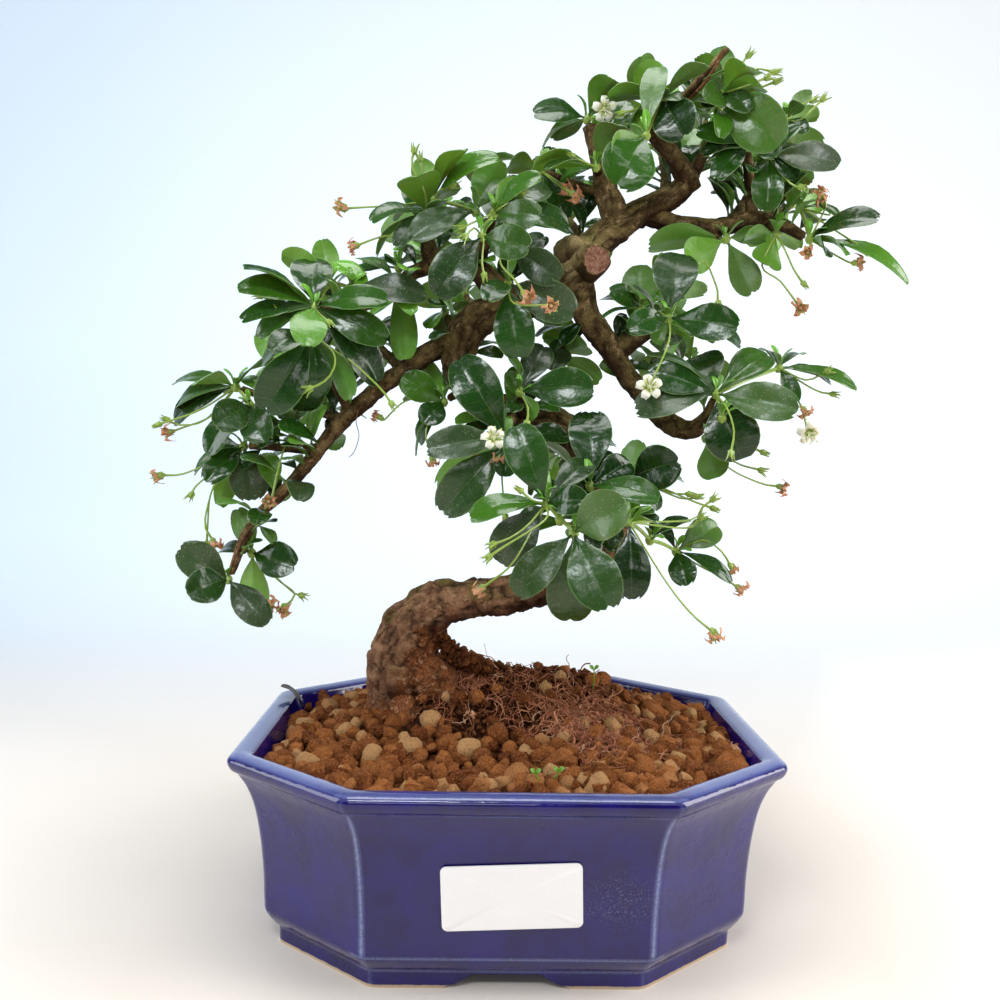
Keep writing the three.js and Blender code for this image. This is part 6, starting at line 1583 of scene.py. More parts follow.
def label_surface():
    """A rounded rectangle on the slanting front face, with its corners on the sight lines."""
    low_y = -(RIM_HALF_DEPTH - inset_at(LABEL_LOW)) - GAP
    high_y = -(RIM_HALF_DEPTH - inset_at(LABEL_HIGH)) - GAP
    slope = unit([0, high_y - low_y, LABEL_HIGH - LABEL_LOW])
    outward = np.array([0, -slope[2], slope[1]])
    foot = np.array([0, low_y, LABEL_LOW])
    spots = []
    for px, py in LABEL_CORNERS:
        direction = sight(px, py)
        spots.append(EYE + direction * (((foot - EYE) @ outward) / (direction @ outward)))
    spots = np.array(spots)
    middle = spots.mean(0)
    width = (np.linalg.norm(spots[1] - spots[0]) + np.linalg.norm(spots[3] - spots[2])) / 2
    height = (np.linalg.norm(spots[3] - spots[0]) + np.linalg.norm(spots[2] - spots[1])) / 2
    along = spots[1] - spots[0] + spots[2] - spots[3]
    along = unit(along - outward * (along @ outward))
    upward = np.cross(outward, along)
    turn = np.linspace(0, math.pi / 2, 9)
    arc = np.column_stack([np.cos(turn), np.sin(turn)]) * LABEL_ROUNDING
    w, h = width / 2 - LABEL_ROUNDING, height / 2 - LABEL_ROUNDING
    outline = np.vstack([arc + [w, h], arc[:, ::-1] * [-1, 1] + [-w, h],
                         arc * -1 + [-w, -h], arc[:, ::-1] * [1, -1] + [w, -h]])
    levels = [(0, 0.12), (0.12, 0), (LABEL_THICKNESS - 0.12, 0), (LABEL_THICKNESS, 0.12)]
    rings = []
    for lift, shrink in levels:
        share = outline * (1 - shrink / np.array([width / 2, height / 2]))
        rings.append(middle + np.outer(share[:, 0], along) + np.outer(share[:, 1], upward) + outward * lift)
    count = len(outline)
    points = np.vstack(rings + [[middle], [middle + outward * LABEL_THICKNESS]])
    rows = len(levels)
    print(f"the card is {width:.1f} by {height:.1f} mm")
    return part(points, grid_faces(rows, count, wrap=True), end_fans(rows, count))


# %% [markdown]
# ## Flowers
#
# A fresh flower has five narrow cream petals round a short tube, with five long stamens. As it
# dries it turns salmon-brown, and its petals twist and curl back. Both are five thin shells, and
# each petal's middle line starts along the way the flower faces and bends outwards.

# %% Flowers
PETAL_ACROSS = np.array([-1, -0.6, 0, 0.6, 1])
PETAL_ALONG = np.linspace(0, 1, 9)
PETAL_HALF_THICKNESS = 0.14
# Petals, stamens and sepals come in fives.
PETALS = 5
# The flower's tube, as [place along, radius] in shares of the flower's radius.
NECK = np.array([[-0.95, 0.14], [-0.7, 0.22], [-0.4, 0.24], [-0.2, 0.2]])
# The calyx's cup, as [place along, radius].
CUP = np.array([[-1.5, 0.42], [-0.8, 1.0], [0.3, 1.35], [1.3, 1.2], [1.9, 0.7]])
SEPAL_LENGTH = 4.2
SEPAL_RADIUS = 0.62
STALK_RADIUS = 0.34
STAMEN_RADIUS = 0.12


def axes_of(facing):
    """Two directions at right angles to facing and to each other."""
    first = unit(np.cross(facing, [0.2, 0.3, 1.0]))
    return first, np.cross(facing, first)


def around(facing, turn):
    """The direction at a turn round facing: first cos + second sin."""
    first, second = axes_of(facing)
    return first * math.cos(turn) + second * math.sin(turn)


def petal_surface(middle, facing, out, radius, seed, spent):
    """A petal: reach and rise along its middle line are powers and sines of the share s, its
    half width is a sine that is fuller towards the tip, and a dried one twists and wrinkles."""
    u, s = np.meshgrid(PETAL_ACROSS, PETAL_ALONG)
    side = np.cross(facing, out)
    if spent:
        curl = 0.5 + 1.1 * draw(seed, 1)
        reach = radius * (0.1 + 0.85 * s * (0.75 + 0.3 * draw(seed, 2)))
        rise = radius * (-0.75 + 1.0 * s + 0.3 * np.sin(s * 3) - curl * s ** 2.5 * 0.8)
        half = radius * (0.11 + 0.2 * np.sin(math.pi * s ** 0.8) ** 0.8) * (1 - 0.75 * s ** 4)
        twist = (draw(seed, 3) - 0.5) * 3.0 * s
        hollow = 0.5 * radius * 0.3 * u * u + 0.12 * radius * np.sin(7 * s + 6 * draw(seed, 4)) * u
    else:
        reach = radius * (0.1 + 0.95 * s)
        rise = radius * (-0.55 + 0.75 * np.sin(s * 1.7) - (0.25 + 0.3 * draw(seed, 1)) * s ** 3)
        half = radius * (0.1 + 0.27 * np.sin(math.pi * s ** 1.1 * 0.86) ** 0.9)
        twist = (draw(seed, 3) - 0.5) * 0.6 * s
        hollow = -0.16 * radius * u * u * s
    across = (np.cos(twist)[..., None] * side + np.sin(twist)[..., None] * facing)
    lift = (np.cos(twist)[..., None] * facing - np.sin(twist)[..., None] * side)
    points = (middle + reach[..., None] * out + rise[..., None] * facing
              + (u * half)[..., None] * across + hollow[..., None] * lift)
    normal = unit(lift - 0.4 * out * s[..., None])
    thick = np.full(u.shape, PETAL_HALF_THICKNESS)
    uv = np.stack([u.ravel() * 0.5 + 0.5, s.ravel()], -1)
    return thin_shell(points, normal, (thick, thick), uv, throat=np.tile(1 - s.ravel(), 2),
                      tint=float(draw(seed, 8)))


def flower_parts(middle, facing, radius, seed, spent):
    """Five petals and the short tube that holds them."""
    made = []
    for k in range(PETALS):
        turn = 2 * math.pi * (k + (0.35 if spent else 0.1) * draw(seed, k + 3)) / PETALS
        out = around(facing, turn)
        made.append(petal_surface(middle, facing, out, radius, seed * 7 + k, spent))
    neck = [middle + facing * radius * along for along in NECK[:, 0]]
    made.append(tube(neck, NECK[:, 1] * radius, 9, throat=0.9, tint=0.4))
    return made


def stamens(middle, facing, radius, seed):
    """Five thin threads that rise out of the throat, each with a small head."""
    made = []
    for k in range(PETALS):
        turn = 2 * math.pi * (k + 0.5 * draw(seed, k)) / PETALS
        out = around(facing, turn)
        t = np.linspace(0, 1, 5)[:, None]
        path = middle + facing * (radius * (1.15 * t - 0.3)) + out * (radius * 0.5 * t ** 1.5 + 0.2)
        made.append(tube(path, STAMEN_RADIUS, 5, throat=0.1, tint=0.5))
        head = np.vstack([path[-1] - out * 0.4, path[-1] + out * 0.4])
        made.append(tube(head, 0.26, 6, throat=0.95, tint=0.9))
    return made


def calyx_parts(end, facing, seed, size=1.0, spread=1.0):
    """A small cup and five narrow sepals that curve round it and stand off at their tips."""
    made = [tube([end + facing * along * size for along in CUP[:, 0]], CUP[:, 1] * size, 9)]
    for k in range(PETALS):
        turn = 2 * math.pi * (k + 0.4 * draw(seed, k + 20)) / PETALS
        out = around(facing, turn)
        t = np.linspace(0, 1, 6)
        open_by = spread * (0.5 + 0.9 * draw(seed, k + 30))
        path = (end + np.outer((t * SEPAL_LENGTH - 0.3) * size, facing)
                + np.outer((1.05 + open_by * t ** 2 * 1.5 - 0.5 * (1 - spread) * t) * size, out))
        made.append(tube(path, (SEPAL_RADIUS * (1 - 0.75 * t)) * size, 5))
    return made


def stalk_parts(path):
    """A thin stalk that thickens a little at both ends."""
    smooth, _ = smooth_path(path, 2.5)
    share = np.linspace(0, 1, len(smooth))
    radius = STALK_RADIUS + 0.2 * np.exp(-share * 8) + 0.2 * np.exp(-(1 - share) * 8)
    return [tube(smooth, radius, 7)]


# %% [markdown]
# ## Shoots and flowers put together
#
# Each shoot becomes one piece: its buds, stems, leaves, stalks and calyces hold together, as
# they do on the tree. The flowers are pieces of their own because their colour is another.

# %% Leaves, stalks and blooms
YOUNG_SHARE = 0.22
TUFT_LEAVES = 3
TUFT_LENGTHS = (4.5, 9.0)
TUFT_WIDTH_SHARE = 0.4
# A bud is a short tube with these radii from its foot to its tip, and leans a little.
BUD_RADII = np.array([0.9, 1.6, 1.9, 1.4, 0.5])
BUD_HALF_HEIGHT = 1.9
BUD_LEAN = np.array([0.1, -0.1, 1.0])
STEM_TUBE_RADIUS = 0.75
# Dried flowers sit this far over their calyx.
DRIED_SEAT = 3.0
# Below these heights the leaves on spurs count as the crown's low and its middle level.
LOW_CROWN = 180
MIDDLE_CROWN = 250
# Where the shoots are growing: [view x, view y, spread, how young].
GROWING = [
    [650, 80, 13, 0.95], [628, 97, 13, 0.6], [692, 84, 15, 0.6], [722, 57, 11, 0.6], [747, 62, 14, 0.85],
    # The place at 756, 112 paints a leaf's sheen as the pale green of young growth.
    [768, 74, 11, 0.95], [756, 112, 16, 0.4], [715, 125, 11, 0.35], [612, 140, 15, 0.4], [797, 97, 13, 0.7],
    [835, 106, 9, 0.6], [486, 170, 14, 0.7], [505, 190, 12, 0.45], [545, 160, 18, 0.35], [560, 178, 12, 0.3],
    [880, 258, 24, 0.5], [800, 245, 18, 0.4], [742, 270, 18, 0.3], [700, 250, 14, 0.3], [840, 372, 14, 0.6],
    [498, 500, 12, 0.45], [592, 498, 11, 0.55], [614, 512, 11, 0.75], [214, 378, 13, 0.55],
    [311, 326, 11, 0.65], [300, 250, 16, 0.3], [590, 352, 13, 0.7], [545, 335, 14, 0.3], [500, 128, 12, 0.4],
    [700, 535, 11, 0.4], [243, 522, 10, 0.35], [185, 465, 10, 0.3], [640, 300, 14, 0.25], [445, 490, 10, 0.6],
    [430, 165, 14, 0.3], [655, 240, 9, 0.4], [810, 350, 12, 0.35],
]


def as_green(surface, tint=0.5, young=2.0):
    """The fields that a green rod needs to take the leaf finish; a stalk's young is above 1."""
    count = len(surface["points"])
    surface["fields"] = {"uv": np.tile([0.2, 0.5], (count, 1)), "tint": np.full(count, tint),
                         "young": np.full(count, young), "under": np.full(count, 0.6),
                         "dust": np.zeros(count)}
    return surface


def growing(leaf):
    """How young a leaf is: a bell about each growing place, at the leaf's middle in the view."""
    middle = np.atleast_2d(leaf["bud"] + leaf["along"] * leaf["length"] * 0.6)
    spot = seen(middle)[0]
    bells = [share * math.exp(-((spot[0] - x) ** 2 + (spot[1] - y) ** 2) / spread ** 2)
             for x, y, spread, share in GROWING]
    return max(bells)


def tuft(hub, up, seed):
    """The small bright leaves that are still opening at a bud, close about its growing way."""
    made = []
    for k in range(TUFT_LEAVES):
        turn = math.radians(GOLDEN_ANGLE) * k + 6.28 * draw(seed, 1)
        out = around(up, turn)
        low, high = TUFT_LENGTHS
        length = low + (high - low) * draw(seed, k + 2)
        along = unit(up + out * (0.35 + 0.5 * draw(seed, k + 6)))
        leaf = blade_frame(hub + along, hub + along * (length + 1), 0.2, 0)
        made.append(leaf_surface({**leaf, "width": length * TUFT_WIDTH_SHARE, "seed": seed * 9 + k,
                                  "young": 1.0}))
    return made


shoot_parts = {}
dried_parts = []
for name, shoot in TREE.items():
    for leaf in shoot["blades"]:
        fresh = float(draw(leaf["seed"], 21) < YOUNG_SHARE) * draw(leaf["seed"], 22)
        leaf["young"] = fresh * float(np.clip((24 - leaf["length"]) / 12, 0.15, 1)) + growing(leaf)
    parts = [leaf_surface(leaf) for leaf in shoot["blades"]]
    rods_here = []
    for number, hub in enumerate(shoot["hubs"]):
        lift = np.linspace(-BUD_HALF_HEIGHT, BUD_HALF_HEIGHT, len(BUD_RADII))[:, None] * BUD_LEAN
        rods_here.append(tube(hub + lift, BUD_RADII, 8))
        seed = shoot["order"] * 3 + number
        way = unit([draw(seed, 8) - 0.5, -0.3 - 0.5 * draw(seed, 9), 0.9])
        parts += tuft(hub, way, seed)
    for a, b in shoot["stems"]:
        bend = np.array([a, (a + b) / 2 + [0, 0, 0.6], b])
        rods_here.append(tube(smooth_path(bend, 2.5)[0], STEM_TUBE_RADIUS, 8))
    for path, bloom in zip(shoot["stalks"], shoot["blooms"]):
        rods_here += stalk_parts(path)
        rods_here += calyx_parts(path[-1], bloom_facing(bloom), shoot["order"])
    for number, entry in enumerate(MORE_STALKS.get(name, [])):
        seed = shoot["order"] * 5 + number + 200
        path = np.array([shoot["hubs"][entry[0]]] + [place(p) for p in entry[1:-1]])
        dried = entry[-1] == 1
        facing = unit(path[-1] - path[-2] + np.array([0, -1.5, 0.4 - 1.2 * draw(seed, 3)]))
        if dried:
            path[-1] = path[-1] - facing * 2.2
            radius = 3.4 + draw(seed, 5)
            dried_parts += flower_parts(path[-1] + facing * DRIED_SEAT, facing, radius, seed, True)
        rods_here += stalk_parts(path)
        rods_here += calyx_parts(path[-1], facing, seed, 0.8, 0.6 if dried else 1.4 * draw(seed, 6))
    shoot_parts[name] = parts + [as_green(rod) for rod in rods_here]

fill_parts = {"low": [], "middle": [], "high": []}
for leaf in FILL:
    leaf["young"] = float(draw(leaf["seed"], 21) < 0.4) * draw(leaf["seed"], 22)
    height = leaf["bud"][2]
    level = "low" if height < LOW_CROWN else "middle" if height < MIDDLE_CROWN else "high"
    fill_parts[level].append(leaf_surface(leaf))

bloom_parts = {}
for number, bloom in enumerate(BLOOMS):
    facing = bloom_facing(bloom)
    shoot = TREE[bloom[1]]
    middle = shoot["stalks"][shoot["blooms"].index(bloom)][-1] + facing * BLOOM_SEAT
    spent = "spent" in bloom[0]
    made = flower_parts(middle, facing, bloom[5], number + 1, spent)
    if not spent:
        made += stamens(middle, facing, bloom[5], number + 1)
    bloom_parts[bloom[0]] = made
print(f"{len(shoot_parts)} shoots, {len(bloom_parts)} blooms and {len(dried_parts)} pieces of dried flowers")

# %% [markdown]
# ## What has fallen and what sprouts
#
# A curled dry leaf leans on the pot's inner wall, dried flowers lie on the soil, and two tiny
# seedlings stand in it. Each is set where its sight line meets the soil, so it lies on the
# grains however the heap is shaped, which a height written by hand would not.

# %% Litter
# Dried flowers on the soil: [view x, view y, radius].
FALLEN = [[468, 714, 3.4], [735, 748, 3.6], [650, 752, 3.4], [662, 745, 2.8], [574, 748, 2.4]]
CURLED_LEAF = {"bud": [303, 706], "tip": [285, 686], "length": 13.0, "width": 7.0}
# Seedlings: [view x, view y of the foot, height, lean to the right].
SEEDLINGS = [[592, 692, 9.0, 0.5], [541, 790, 5.5, -2.0], [551, 782, 3.5, 2.5]]

for number, (px, py, radius) in enumerate(FALLEN):
    spot = on_soil(px, py, 2.2)
    facing = unit([draw(number, 1) - 0.5, -0.5 * draw(number, 2) - 0.3, 0.9])
    dried_parts += flower_parts(spot, facing, radius, 700 + number, True)

bud = on_soil(*CURLED_LEAF["bud"], 1.5)
tip = bud + unit(at(*CURLED_LEAF["tip"], bud[1]) - bud) * CURLED_LEAF["length"]
curled = blade_frame(bud, tip, 0.5, 55)
dry_leaf = leaf_surface({**curled, "width": CURLED_LEAF["width"], "seed": 801})

seedling_parts = []
for number, (px, py, height, lean) in enumerate(SEEDLINGS):
    foot = on_soil(px, py, 0.3)
    head = foot + np.array([lean, -0.6, height])
    stem = np.array([foot, (foot + head) / 2 + [0.5, 0, 0.4], head])
    seedling_parts.append(as_green(tube(smooth_path(stem, 1.5)[0], 0.22, 6), 0.9, 1.0))
    for side in (-1, 1):
        tip = head + np.array([side * 1.6, -0.4, 2.2])
        leaf = blade_frame(head, tip, 0.6, 0)
        seedling_parts.append(leaf_surface({**leaf, "width": 1.5, "seed": 820 + 2 * number + side,
                                            "young": 1.0}))
print(f"{len(FALLEN)} fallen flowers and {len(SEEDLINGS)} seedlings")

# %% [markdown]
# ## Finishes
#
# Each finish is made of a few nodes: noise in the piece's own coordinates for what is uneven
# everywhere, and the numbers kept on its points for what follows the form, such as moss on
# upper sides, painted shade on undersides, pale veins on a blade, and thin glaze with a painted
# highlight on an edge.

# %% Finishes
class Finish:
    """A material and short ways to add its nodes."""

    def __init__(self, name):
        self.material = bpy.data.materials.new(name)
        self.material.use_nodes = True
        self.nodes = self.material.node_tree.nodes
        self.links = self.material.node_tree.links
        self.nodes.clear()
        out = self.nodes.new("ShaderNodeOutputMaterial")
        self.shader = self.nodes.new("ShaderNodeBsdfPrincipled")
        self.links.new(self.shader.outputs[0], out.inputs[0])
        self.place = self.nodes.new("ShaderNodeTexCoord").outputs["Object"]

    def link(self, source, socket):
        """Joins an output to a named input of the shader."""
        self.links.new(source, self.shader.inputs[socket])

    def set(self, **values):
        """Constants on the shader's own sockets; a name's underscores stand for spaces."""
        for key, value in values.items():
            self.shader.inputs[key.replace("_", " ")].default_value = value

    def field(self, name):
        """A number kept on the piece's points."""
        node = self.nodes.new("ShaderNodeAttribute")
        node.attribute_name = name
        return node.outputs["Fac"]

    def speckle(self, size, detail=4.0, rough=0.6, shift=0.0):
        """Noise whose features are about `size` mm across, from 0 to 1."""
        node = self.nodes.new("ShaderNodeTexNoise")
        node.inputs["Scale"].default_value = 1 / (size * MM)
        node.inputs["Detail"].default_value = detail
        node.inputs["Roughness"].default_value = rough
        move = self.nodes.new("ShaderNodeVectorMath")
        move.inputs[1].default_value = (shift, shift * 0.7, shift * 1.3)
        self.links.new(self.place, move.inputs[0])
        self.links.new(move.outputs[0], node.inputs["Vector"])
        return node.outputs["Fac"]

    def cells(self, size):
        """The distance to the nearest of a scatter of points `size` mm apart."""
        node = self.nodes.new("ShaderNodeTexVoronoi")
        node.inputs["Scale"].default_value = 1 / (size * MM)
        self.links.new(self.place, node.inputs["Vector"])
        return node.outputs["Distance"]

    def math(self, kind, a, b=None, clamp=False):
        """One sum on two numbers or outputs."""
        node = self.nodes.new("ShaderNodeMath")
        node.operation = kind
        node.use_clamp = clamp
        for socket, value in zip(node.inputs, (a, b)):
            if value is None:
                continue
            if isinstance(value, (int, float)):
                socket.default_value = value
            else:
                self.links.new(value, socket)
        return node.outputs[0]

    def times(self, a, b):
        """a multiplied by b."""
        return self.math("MULTIPLY", a, b)

    def plus(self, a, b, clamp=False):
        """a and b added up, kept from 0 to 1 where clamp says so."""
        return self.math("ADD", a, b, clamp)

    def minus(self, a, b, clamp=False):
        """b taken from a, kept from 0 to 1 where clamp says so."""
        return self.math("SUBTRACT", a, b, clamp)

    def split(self, vector):
        """The x, y and z of a vector."""
        node = self.nodes.new("ShaderNodeSeparateXYZ")
        self.links.new(vector, node.inputs[0])
        return node.outputs

    def between(self, value, low, high):
        """value spread so that low becomes 0 and high becomes 1, and kept within them."""
        node = self.nodes.new("ShaderNodeMapRange")
        node.inputs["From Min"].default_value = low
        node.inputs["From Max"].default_value = high
        self.links.new(value, node.inputs["Value"])
        return node.outputs["Result"]

    def blend(self, share, a, b):
        """Colour a turning into colour b as share goes from 0 to 1."""
        node = self.nodes.new("ShaderNodeMix")
        node.data_type = "RGBA"
        for socket, value in ((node.inputs[0], share), (node.inputs[6], a), (node.inputs[7], b)):
            if isinstance(value, (int, float)):
                socket.default_value = value
            elif isinstance(value, tuple):
                socket.default_value = (*value, 1.0)
            else:
                self.links.new(value, socket)
        return node.outputs[2]

    def bump(self, height, depth):
        """A relief of `depth` mm drawn by height."""
        node = self.nodes.new("ShaderNodeBump")
        node.inputs["Distance"].default_value = depth * MM
        self.links.new(height, node.inputs["Height"])
        self.link(node.outputs[0], "Normal")


def leaf_finish():
    """Glossy dark green above, yellow-green below and brighter there as painted light shining
    through, with a pale midrib, faint side veins, a light margin, the white specks that this plant
    has, and a grey of dust and painted sheen on some leaves."""
    f = Finish("fukien_tea_leaf")
    uv = f.nodes.new("ShaderNodeUVMap")
    uv.uv_map = "UVMap"
    across, s, _ = f.split(uv.outputs[0])
    u = f.math("ABSOLUTE", f.minus(across, 0.5))
    u = f.times(u, 2.0)
    patch = f.speckle(4, 4)
    tint = f.field("tint")
    tone = f.plus(f.times(patch, 0.4), f.times(tint, 0.7), clamp=True)
    top = f.blend(tone, (0.0015, 0.013, 0.001), (0.013, 0.066, 0.004))
    top = f.blend(f.math("MINIMUM", f.field("young"), 1.0), top, (0.13, 0.37, 0.02))
    # The underside is the leaf's own paler yellow-green, brightened further as painted light shining through
    # the blade.
    below = f.blend(tone, (0.05, 0.17, 0.013), (0.14, 0.33, 0.025))
    under = f.field("under")
    colour = f.blend(under, top, below)
    rib_width = f.minus(0.05, f.times(s, 0.04))
    rib = f.minus(1.0, f.math("DIVIDE", u, rib_width), clamp=True)
    vein_wave = f.math("SINE", f.times(f.minus(f.times(s, 8.5), f.times(u, 0.62)), 6.2832))
    vein = f.between(vein_wave, 0.93, 1.0)
    margin = f.between(u, 0.94, 1.0)
    colour = f.blend(f.times(vein, 0.12), colour, (0.1, 0.22, 0.05))
    colour = f.blend(f.times(rib, 0.3), colour, (0.16, 0.3, 0.06))
    colour = f.blend(f.times(margin, 0.6), colour, (0.2, 0.34, 0.12))
    # Dust, and a painted grey sheen, on some leaves.
    colour = f.blend(f.times(f.field("dust"), 0.35), colour, (0.075, 0.1, 0.05))
    specks = f.between(f.cells(0.85), 0.17, 0.11)
    speck_amount = f.plus(0.25, f.field("dust"))
    specks = f.times(specks, f.times(speck_amount, f.between(f.speckle(3, 2, 0.5, 3.0), 0.4, 0.56)))
    colour = f.blend(specks, colour, (0.4, 0.46, 0.36))
    colour = f.blend(f.between(f.field("young"), 1.4, 1.9), colour, (0.25, 0.36, 0.06))
    f.link(colour, "Base Color")
    gloss = f.plus(f.times(under, 0.15), f.times(patch, 0.2))
    f.link(f.plus(f.plus(gloss, 0.09), f.times(f.field("dust"), 0.15)), "Roughness")
    pucker = f.plus(f.times(f.speckle(0.7, 3), 0.2), f.speckle(2.4, 1))
    f.bump(f.plus(f.times(vein_wave, 0.08), pucker), 0.14)
    f.set(Specular_IOR_Level=0.5, Subsurface_Weight=0.04, Subsurface_Scale=0.003)
    return f.material


def bark_finish():
    """Brown bark with tan flakes and olive moss, painted shade in the cracks and on the undersides, rust
    where soil clings, and red-brown wood on a sawn face."""
    f = Finish("fukien_tea_bark")
    patch = f.speckle(5, 6, 0.65)
    fine = f.speckle(1.0, 6, 0.7)
    flake = f.speckle(2.4, 5, 0.75, 2.0)
    high = f.between(f.split(f.place)[2], 0.12, 0.2)
    low_colour = f.blend(f.between(patch, 0.38, 0.62), (0.13, 0.052, 0.027), (0.4, 0.21, 0.115))
    high_colour = f.blend(f.between(patch, 0.38, 0.62), (0.075, 0.046, 0.017), (0.23, 0.165, 0.06))
    colour = f.blend(high, low_colour, high_colour)
    colour = f.blend(f.between(flake, 0.55, 0.64), colour, (0.42, 0.27, 0.14))
    colour = f.blend(f.between(fine, 0.6, 0.72), colour, (0.5, 0.38, 0.24))
    colour = f.blend(f.times(f.field("pale"), 0.8), colour, (0.45, 0.35, 0.16))
    colour = f.blend(f.between(fine, 0.43, 0.32), colour, (0.03, 0.011, 0.005))
    moss = f.times(f.field("moss"), f.between(f.speckle(1.6, 5, 0.75, 1.0), 0.38, 0.56))
    colour = f.blend(moss, colour, (0.13, 0.13, 0.022))
    # Painted shade on the undersides.
    colour = f.blend(f.times(f.field("dark"), 0.85), colour, (0.03, 0.009, 0.004))
    rust = f.blend(f.between(fine, 0.4, 0.62), (0.1, 0.024, 0.006), (0.33, 0.115, 0.035))
    rust = f.blend(f.between(flake, 0.54, 0.64), rust, (0.5, 0.29, 0.17))
    colour = f.blend(f.times(f.field("earth"), 0.9), colour, rust)
    # Painted shade in the cracks; the dead strand is darkened a little all over.
    colour = f.blend(f.times(f.field("groove"), 0.8), colour, (0.018, 0.007, 0.003))
    face = f.blend(f.between(f.speckle(1.6, 5, 0.7), 0.4, 0.62), (0.17, 0.07, 0.045), (0.34, 0.18, 0.12))
    face = f.blend(f.between(f.speckle(0.7, 5, 0.7), 0.44, 0.36), face, (0.06, 0.02, 0.014))
    colour = f.blend(f.between(f.field("cut"), 0.6, 0.9), colour, face)
    f.link(colour, "Base Color")
    f.bump(f.plus(fine, f.plus(f.times(f.speckle(0.45, 4), 0.5), flake)), 1.0)
    f.set(Roughness=0.9, Specular_IOR_Level=0.14)
    return f.material


def glaze_finish():
    """Deep violet-navy glaze, thin and pale blue on edges where a painted highlight also runs, a
    painted reflection paler on the rim's top, with pin holes, a frosted patch and bare clay at the foot."""
    f = Finish("cobalt_glaze")
    edge = f.field("edge")
    patch = f.speckle(16, 4, 0.6)
    colour = f.blend(f.between(patch, 0.35, 0.68), (0.005, 0.002, 0.075), (0.008, 0.0035, 0.135))
    grainy = f.between(f.speckle(0.9, 4, 0.7), 0.3, 0.6)
    # Pale blue on edges: thin glaze, with painted highlight along the corners and level lines.
    thin_glaze_and_highlight = f.times(edge, f.plus(0.35, f.times(grainy, 0.65)))
    colour = f.blend(thin_glaze_and_highlight, colour, (0.3, 0.36, 0.62))
    # Painted reflection: the rim's top is paler, most on the sides.
    colour = f.blend(f.field("rim"), colour, (0.16, 0.2, 0.42))
    frost = f.times(f.field("frost"), f.between(f.speckle(0.55, 5, 0.8, 4.0), 0.54, 0.66))
    colour = f.blend(f.times(frost, 0.7), colour, (0.25, 0.26, 0.5))
    holes = f.times(f.between(f.cells(5.0), 0.055, 0.035), f.between(f.speckle(11, 2, 0.5, 6.0), 0.5, 0.55))
    colour = f.blend(holes, colour, (0.008, 0.006, 0.05))
    bare = f.between(f.plus(f.field("bare"), f.times(f.speckle(2.5, 4), 0.3)), 0.6, 0.8)
    colour = f.blend(bare, colour, (0.5, 0.37, 0.24))
    f.link(colour, "Base Color")
    gloss = f.plus(0.05, f.times(patch, 0.1))
    gloss = f.plus(gloss, f.times(frost, 0.3))
    f.link(f.plus(f.times(bare, 0.65), gloss), "Roughness")
    relief = f.plus(f.speckle(9, 2), f.times(f.speckle(1.2, 2), 0.08))
    f.bump(f.minus(relief, f.times(holes, 1.5)), 0.3)
    f.set(Specular_IOR_Level=0.56)
    return f.material


def soil_finish():
    """Fired clay in browns and tans with dark pits, with painted shade on the bed and the lower
    grains between and under the others, and the darker earth of the root ball."""
    f = Finish("granular_soil")
    tint = f.field("tint")
    colour = f.blend(f.between(tint, 0.0, 0.8), (0.125, 0.029, 0.006), (0.37, 0.128, 0.035))
    colour = f.blend(f.between(tint, 0.84, 0.94), colour, (0.52, 0.29, 0.125))
    fine = f.speckle(0.8, 5, 0.75)
    colour = f.blend(f.between(fine, 0.52, 0.74), colour, (0.56, 0.27, 0.11))
    colour = f.blend(f.between(fine, 0.45, 0.33), colour, (0.05, 0.012, 0.003))
    # Painted shade on the bed and the lower grains, and darker earth on the root ball's crumbs.
    colour = f.blend(f.times(f.field("bed"), 0.9), colour, (0.022, 0.006, 0.002))
    f.link(colour, "Base Color")
    f.bump(f.plus(fine, f.times(f.speckle(0.3, 4), 0.4)), 1.2)
    f.set(Roughness=0.95, Specular_IOR_Level=0.12)
    return f.material


def root_finish():
    """Dry hair roots, red-brown, with a few of pale straw."""
    f = Finish("hair_root")
    tint = f.field("tint")
    colour = f.blend(f.between(tint, 0.0, 0.95), (0.16, 0.042, 0.02), (0.5, 0.21, 0.11))
    colour = f.blend(f.between(tint, 0.96, 0.98), colour, (0.55, 0.42, 0.27))
    colour = f.blend(f.between(f.speckle(1.5, 3), 0.5, 0.7), colour, (0.14, 0.045, 0.02))
    f.link(colour, "Base Color")
    f.set(Roughness=0.85, Specular_IOR_Level=0.2)
    return f.material


def card_finish():
    """Bright smooth card with a faint mottle."""
    f = Finish("bare_card")
    f.link(f.blend(f.speckle(8, 3), (0.9, 0.89, 0.9), (0.95, 0.94, 0.95)), "Base Color")
    f.bump(f.speckle(0.8, 3), 0.05)
    f.set(Roughness=0.45)
    return f.material


def dry_leaf_finish():
    """A dead leaf, nearly black with brown patches."""
    f = Finish("dry_leaf")
    patch = f.between(f.speckle(3, 4), 0.4, 0.65)
    f.link(f.blend(patch, (0.012, 0.008, 0.007), (0.07, 0.03, 0.015)), "Base Color")
    f.set(Roughness=0.5)
    return f.material


def petal_finish(name, outer_colour, throat_colour, spot_colour):
    """Thin petals: one colour outwards, another in the throat, and darker spots."""
    f = Finish(name)
    colour = f.blend(f.between(f.field("throat"), 0.45, 0.95), outer_colour, throat_colour)
    colour = f.blend(f.between(f.speckle(1.6, 4, 0.7), 0.5, 0.75), colour, spot_colour)
    f.link(colour, "Base Color")
    f.bump(f.speckle(0.9, 3), 0.15)
    f.set(Roughness=0.6, Subsurface_Weight=0.15, Subsurface_Scale=0.002)
    return f.material


